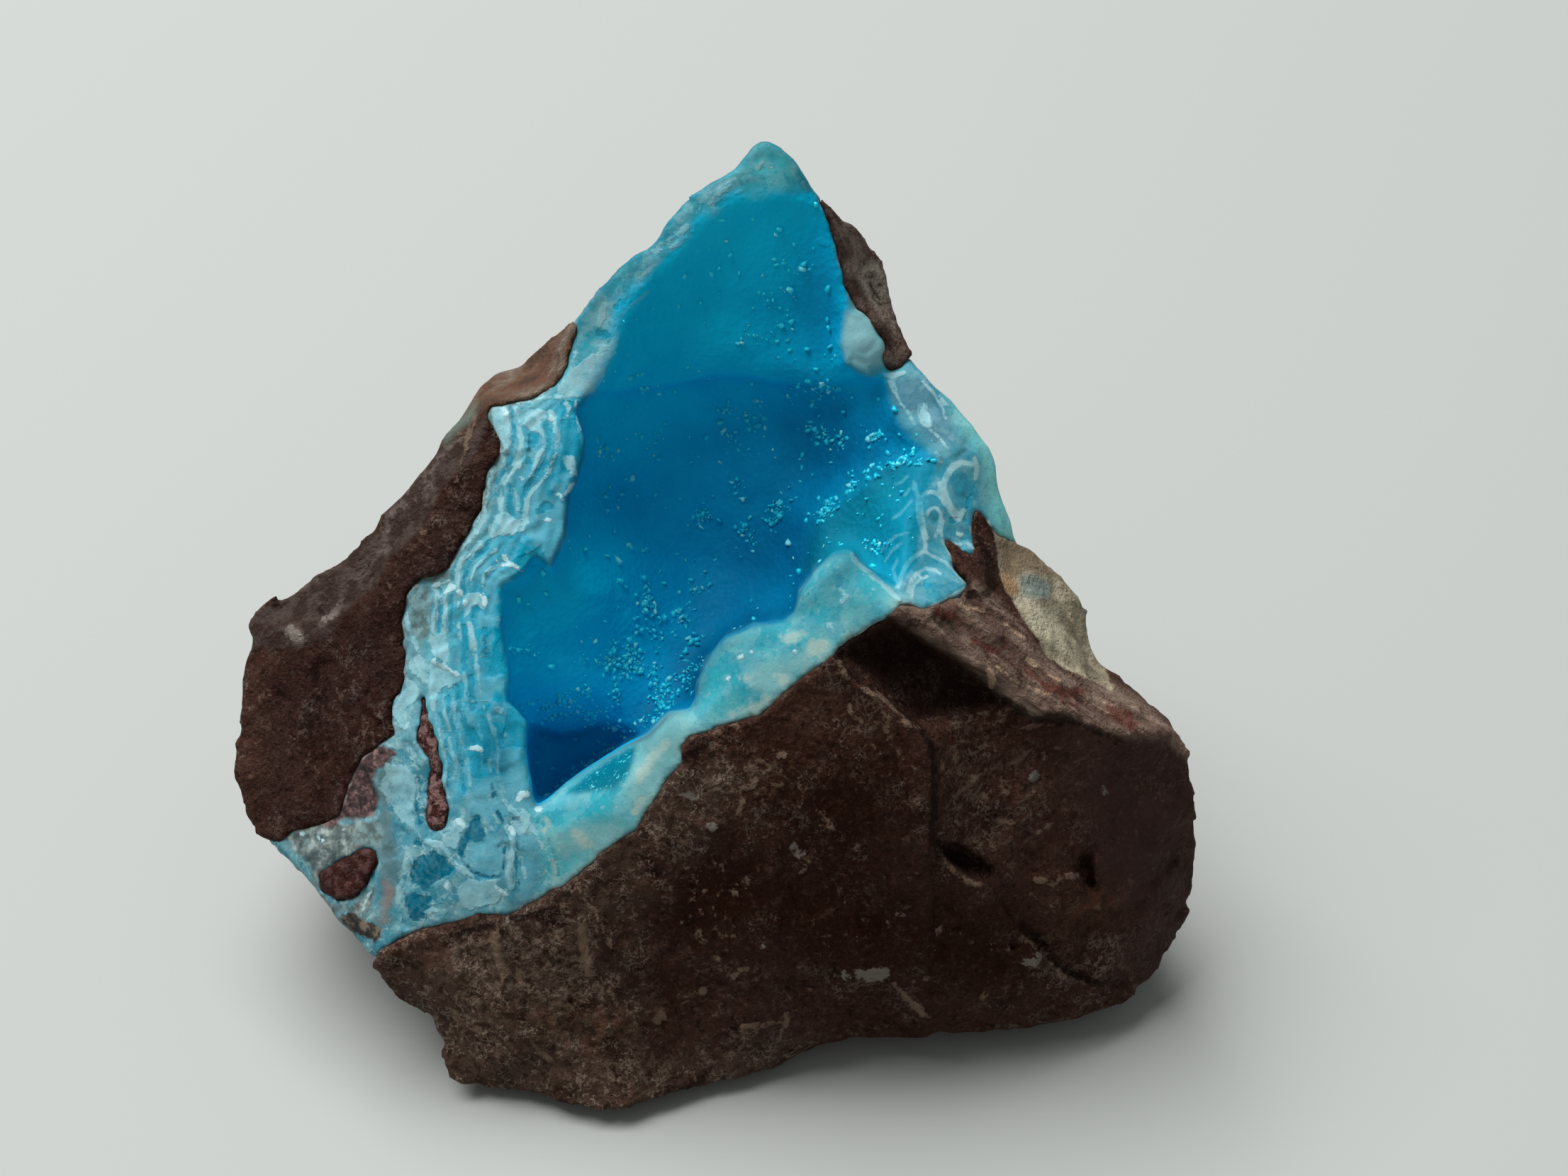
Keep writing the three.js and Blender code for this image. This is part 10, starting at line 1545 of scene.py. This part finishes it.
def host_material():
    G = Graph("host_rock")

    def along(dir_, keep):
        d_ = tuple(float(x) for x in dir_)
        n = G.nt.nodes.new("ShaderNodeVectorMath")
        n.operation = "DOT_PRODUCT"
        G.put(n.inputs[0], G.co)
        n.inputs[1].default_value = d_
        v = G.nt.nodes.new("ShaderNodeVectorMath")
        v.operation = "SCALE"
        v.inputs[0].default_value = d_
        G.put(v.inputs["Scale"], G.math("MULTIPLY", n.outputs["Value"], keep - 1))
        return G.vmath("ADD", G.co, v.outputs[0])

    c_ = lambda x: G.math("SUBTRACT", x, 0.5)
    n_huge = G.noise(26.0, 3)
    n_big = G.noise(9.0, 4)
    n_mid = G.noise(2.8, 4, 0.6)
    n_fine = G.noise(0.85, 4, 0.65)
    n_grain = G.noise(0.32, 2)
    ragged = G.math("ADD", mul(G, c_(G.noise(1.2, 4, 0.7)), 1.7), mul(G, c_(n_grain), 0.5))
    col = G.mix(G.smooth(n_big, 0.36, 0.64), (0.034, 0.0118, 0.0068), (0.054, 0.0225, 0.0158))
    col = G.mix(mul(G, G.attr("r_deep"), 0.85), col, (0.0190, 0.0042, 0.0010))
    col = G.mix(mul(G, G.smooth(n_huge, 0.48, 0.60), 0.4), col, (0.046, 0.0205, 0.015))
    col = G.mix(mul(G, G.smooth(n_mid, 0.52, 0.68), 0.45), col, (0.070, 0.034, 0.024))
    col = G.mix(mul(G, G.smooth(n_mid, 0.46, 0.32), 0.6), col, (0.011, 0.0042, 0.0026))
    col = G.mix(mul(G, G.smooth(G.noise(0.45, 3, 0.7), 0.52, 0.64), 0.40), col, (0.11, 0.066, 0.048))
    col = G.mix(mul(G, G.smooth(G.noise(0.6, 2, 0.6), 0.46, 0.34), 0.6), col, (0.008, 0.003, 0.002))
    # pale crystalline flecks
    fl = G.attr("r_flecks")
    fleck = G.smooth(G.math("ADD", n_fine, G.math("MULTIPLY", fl, 0.06)), 0.575, 0.66)
    patchy = G.smooth(G.math("ADD", G.noise(5.0, 3), G.math("MULTIPLY", fl, 0.12)), 0.48, 0.62)
    col = G.mix(mul(G, fleck, patchy, 0.75), col, (0.18, 0.12, 0.082))
    tiny = G.smooth(G.noise(0.5, 3, 0.7), 0.60, 0.68)
    col = G.mix(mul(G, tiny, G.math("ADD", mul(G, fl, 0.6), 0.2), 0.8), col, (0.16, 0.11, 0.078))
    curl = G.smooth(G.math("ABSOLUTE", c_(G.noise(1.25, 2, 0.55, vec=G.warp(0.9, 0.7)))), 0.045, 0.012)
    where = mul(G, G.smooth(G.math("ADD", G.noise(2.6, 3, 0.6), mul(G, fl, 0.10)), 0.47, 0.60), G.math("ADD", mul(G, fl, 0.75), 0.10))
    col = G.mix(mul(G, curl, where, 0.8), col, G.mix(n_fine, (0.10, 0.070, 0.052), (0.26, 0.19, 0.14)))
    col = G.mix(mul(G, G.attr("r_pebbly"), G.smooth(n_mid, 0.30, 0.55), 0.42), col, (0.115, 0.080, 0.060))
    grain = G.math("ABSOLUTE", c_(G.noise(0.90, 2, 0.6, vec=G.warp(0.7, 0.6))))
    grain = mul(G, G.smooth(grain, 0.044, 0.014), G.smooth(G.noise(2.0, 3, 0.65), 0.45, 0.56))
    spread = G.math("ADD", mul(G, G.attr("r_pebbly"), 0.62), mul(G, fl, 0.35))
    col = G.mix(mul(G, grain, G.math("MINIMUM", G.math("ADD", spread, mul(G, G.smooth(G.noise(6.0, 2), 0.44, 0.58), 0.42)), 0.85)), col, G.mix(n_mid, (0.15, 0.115, 0.092), (0.30, 0.235, 0.185)))
    pit = G.smooth(G.noise(0.8, 2, 0.6, vec=G.warp(0.5, 0.5)), 0.46, 0.38)
    col = G.mix(mul(G, pit, G.attr("r_pebbly"), 0.6), col, (0.018, 0.0075, 0.0045))
    col = G.mix(mul(G, G.attr("r_deep"), G.smooth(n_fine, 0.66, 0.52), 0.80), col, (0.0165, 0.0038, 0.0009))
    # zones
    purple = G.mix(n_mid, (0.038, 0.0180, 0.0150), (0.070, 0.040, 0.036))
    col = G.mix(mul(G, G.attr("r_right"), 0.6), col, purple)
    # bevel band along the upper-left edge, lighter grey-brown: partly its own colour, partly painted light on the
    # upward face
    bev = G.mix(G.smooth(G.noise(1.9, 4, 0.68), 0.42, 0.58), (0.055, 0.036, 0.030), (0.165, 0.130, 0.114))
    bev = G.mix(mul(G, G.smooth(n_big, 0.56, 0.46), 0.7), bev, (0.035, 0.019, 0.015))
    col = G.mix(G.attr("r_bevel"), col, bev)
    v4 = along(DIR4, 0.14)
    s1 = G.noise(1.5, 4, 0.6, vec=v4)
    s2 = G.noise(0.5, 3, 0.6, vec=v4)
    shelf = G.ramp(s1, [(0.0, (0.045, 0.020, 0.014)), (0.38, (0.10, 0.058, 0.044)), (0.5, (0.17, 0.115, 0.088)), (0.62, (0.25, 0.18, 0.14)), (1.0, (0.36, 0.27, 0.20))])
    shelf = G.mix(mul(G, G.smooth(s2, 0.60, 0.70), 0.6), shelf, (0.42, 0.31, 0.22))
    shelf = G.mix(mul(G, G.smooth(s2, 0.42, 0.34), 0.6), shelf, (0.05, 0.022, 0.016))
    shelf = G.mix(mul(G, G.smooth(G.noise(3.0, 3, vec=v4), 0.56, 0.68), 0.6), shelf, (0.12, 0.045, 0.034))
    col = G.mix(G.attr("r_shelf"), col, shelf)
    # weathered patch beside the crust
    yel = G.ramp(G.noise(2.6, 4, 0.55), [(0.0, (0.13, 0.11, 0.080)), (0.40, (0.22, 0.19, 0.135)), (0.52, (0.35, 0.305, 0.21)), (0.64, (0.46, 0.41, 0.30)), (1.0, (0.52, 0.47, 0.36))])
    yel = G.mix(mul(G, G.attr("y_orange"), 0.8), yel, G.mix(n_fine, (0.20, 0.10, 0.045), (0.42, 0.25, 0.12)))
    yel = G.mix(mul(G, G.attr("y_teal"), 0.8), yel, G.mix(n_fine, (0.12, 0.17, 0.16), (0.22, 0.29, 0.27)))
    yel = G.mix(mul(G, G.attr("y_grey"), 0.8), yel, G.mix(n_fine, (0.07, 0.075, 0.065), (0.15, 0.155, 0.135)))
    yel = G.mix(mul(G, G.attr("y_brown"), G.smooth(n_mid, 0.30, 0.55, 0.4, 0.95)), yel, G.mix(n_fine, (0.11, 0.078, 0.050), (0.24, 0.18, 0.115)))
    yel = G.mix(mul(G, G.attr("y_cream"), 0.7), yel, G.mix(n_fine, (0.40, 0.37, 0.25), (0.58, 0.55, 0.41)))
    yel = G.mix(mul(G, G.smooth(n_fine, 0.58, 0.72), 0.35), yel, (0.12, 0.08, 0.052))
    col = G.mix(G.smooth(G.math("ADD", G.attr("r_yellow"), mul(G, ragged, 0.35)), 0.16, -0.12), col, yel)
    org = G.ramp(G.math("ADD", mul(G, G.noise(3.2, 3), 0.7), mul(G, n_fine, 0.3)), [(0.36, (0.075, 0.045, 0.032)), (0.47, (0.14, 0.072, 0.045)), (0.55, (0.155, 0.115, 0.085)), (0.66, (0.27, 0.21, 0.16))])
    col = G.mix(mul(G, G.attr("r_orange"), 0.9), col, org)
    sliver = G.ramp(G.noise(2.2, 4, 0.65), [(0.34, (0.035, 0.020, 0.016)), (0.47, (0.075, 0.048, 0.038)), (0.58, (0.14, 0.105, 0.085)), (0.68, (0.20, 0.165, 0.135))])
    sliver = G.mix(mul(G, G.attr("r_worn"), 0.85), sliver, G.ramp(G.noise(1.2, 3, 0.6), [(0.38, (0.05, 0.038, 0.030)), (0.48, (0.17, 0.15, 0.12)), (0.62, (0.26, 0.235, 0.19))]))
    col = G.mix(G.attr("r_sliver"), col, sliver)
    col = G.mix(mul(G, G.attr("r_teal"), 0.8), col, G.mix(n_fine, (0.09, 0.13, 0.105), (0.19, 0.25, 0.21)))
    pink = G.mix(G.smooth(G.noise(1.0, 3, 0.6), 0.40, 0.62), (0.07, 0.022, 0.018), (0.28, 0.14, 0.125))
    col = G.mix(G.attr("r_pink"), col, pink)
    col = G.mix(mul(G, G.attr("r_rust"), G.smooth(G.noise(1.6, 4, 0.65), 0.42, 0.60), 0.55), col, (0.12, 0.052, 0.030))
    vh = along(DIRH, 0.20)
    hk = G.smooth(G.noise(0.8, 3, 0.6, vec=vh), 0.56, 0.66)
    col = G.mix(mul(G, G.attr("r_hackle"), hk, 0.6), col, (0.15, 0.10, 0.075))
    col = G.mix(G.attr("clast"), col, G.mix(G.smooth(G.noise(0.8, 3, 0.65), 0.42, 0.62), (0.040, 0.013, 0.010), (0.095, 0.045, 0.042)))
    col = G.mix(mul(G, G.attr("strip"), G.smooth(G.noise(0.7, 3, 0.7), 0.46, 0.56)), col, (0.20, 0.115, 0.105))
    # drawn marks
    def mark(name, lo, hi, wild):
        return G.smooth(G.math("ADD", G.attr(name), wild), lo, hi)

    # dark cracks, and painted shadow along creases, steps and under edges
    col = G.mix(mul(G, mark("r_crack_and_step_shade", 0.35, -0.05, ragged), 0.7), col, (0.006, 0.0028, 0.002))
    col = G.mix(mul(G, mark("r_red", 0.25, -0.15, ragged), 0.8), col, (0.11, 0.032, 0.022))
    col = G.mix(mul(G, mark("r_greyp", 0.12, -0.08, ragged), 0.80), col, G.mix(n_fine, (0.12, 0.10, 0.085), (0.30, 0.265, 0.23)))
    col = G.mix(mul(G, mark("r_tan", 0.12, -0.10, ragged), 0.80), col, G.mix(n_fine, (0.09, 0.056, 0.038), (0.27, 0.185, 0.13)))
    col = G.mix(mul(G, mark("r_band", 0.16, -0.06, mul(G, ragged, 0.3)), 0.85), col, (0.46, 0.32, 0.21))
    # painted shade in the recess under the shelf
    col = G.mix(mul(G, G.attr("r_undershelf_shade"), 0.7), col, (0.007, 0.0032, 0.0026))
    # painted shade: the left face darker and a little bluer
    col = G.mix(G.attr("r_dim"), col, G.mix(1.0, col, (0.68, 0.68, 0.74), "MULTIPLY"))
    G.put(G.bsdf.inputs["Base Color"], col)
    G.put(G.bsdf.inputs["Roughness"], G.smooth(n_fine, 0.3, 0.7, 0.55, 0.80))
    G.bsdf.inputs["Specular IOR Level"].default_value = 0.05
    hgt = G.math("ADD", G.math("MULTIPLY", n_fine, 1.0), G.math("MULTIPLY", n_grain, 0.45))
    hgt = G.math("ADD", hgt, mul(G, s2, G.attr("r_shelf"), 1.0))
    hgt = G.math("ADD", hgt, mul(G, mark("r_tan", 0.28, -0.16, ragged), 0.4))
    G.put(G.bsdf.inputs["Normal"], G.bump(hgt, 0.45))
    return G.mat


crust.data.materials.append(crust_material())
host.data.materials.append(host_material())
druse.data.materials.append(druse_material())


# ------------------------------------------------------------------ floor, light
def floor_material():
    G = Graph("floor")
    n = G.noise(400.0, 2)
    G.put(G.bsdf.inputs["Base Color"], G.mix(n, (0.446, 0.466, 0.446), (0.466, 0.486, 0.466)))
    G.bsdf.inputs["Roughness"].default_value = 0.7
    return G.mat


bpy.ops.mesh.primitive_plane_add(size=6.0, location=(0, 0, 0))
floor = bpy.context.object
floor.name = "floor"
floor.data.materials.append(floor_material())

w = bpy.data.worlds.new("world")
sc.world = w
w.use_nodes = True
w.node_tree.nodes["Background"].inputs[0].default_value = (0.95, 0.98, 0.97, 1)
w.node_tree.nodes["Background"].inputs[1].default_value = 0.22


def area(name, loc, target, size, power, col=(1, 1, 1)):
    L = bpy.data.lights.new(name, "AREA")
    L.shape = "RECTANGLE"
    L.size, L.size_y = size
    L.energy = power
    L.color = col
    o = bpy.data.objects.new(name, L)
    sc.collection.objects.link(o)
    o.location = loc
    o.rotation_euler = (Vector(target) - Vector(loc)).to_track_quat("-Z", "Y").to_euler()
    return o


area("softbox", (-0.50, 0.50, 1.50), (0, 0, 0.02), (1.6, 1.2), 40.5)
sc.view_settings.view_transform = "Standard"
sc.view_settings.look = "None"

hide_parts("hemimorphite_crust")
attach(crust, "root")
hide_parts("host_rock")
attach(host, "root")

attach(druse, "root")
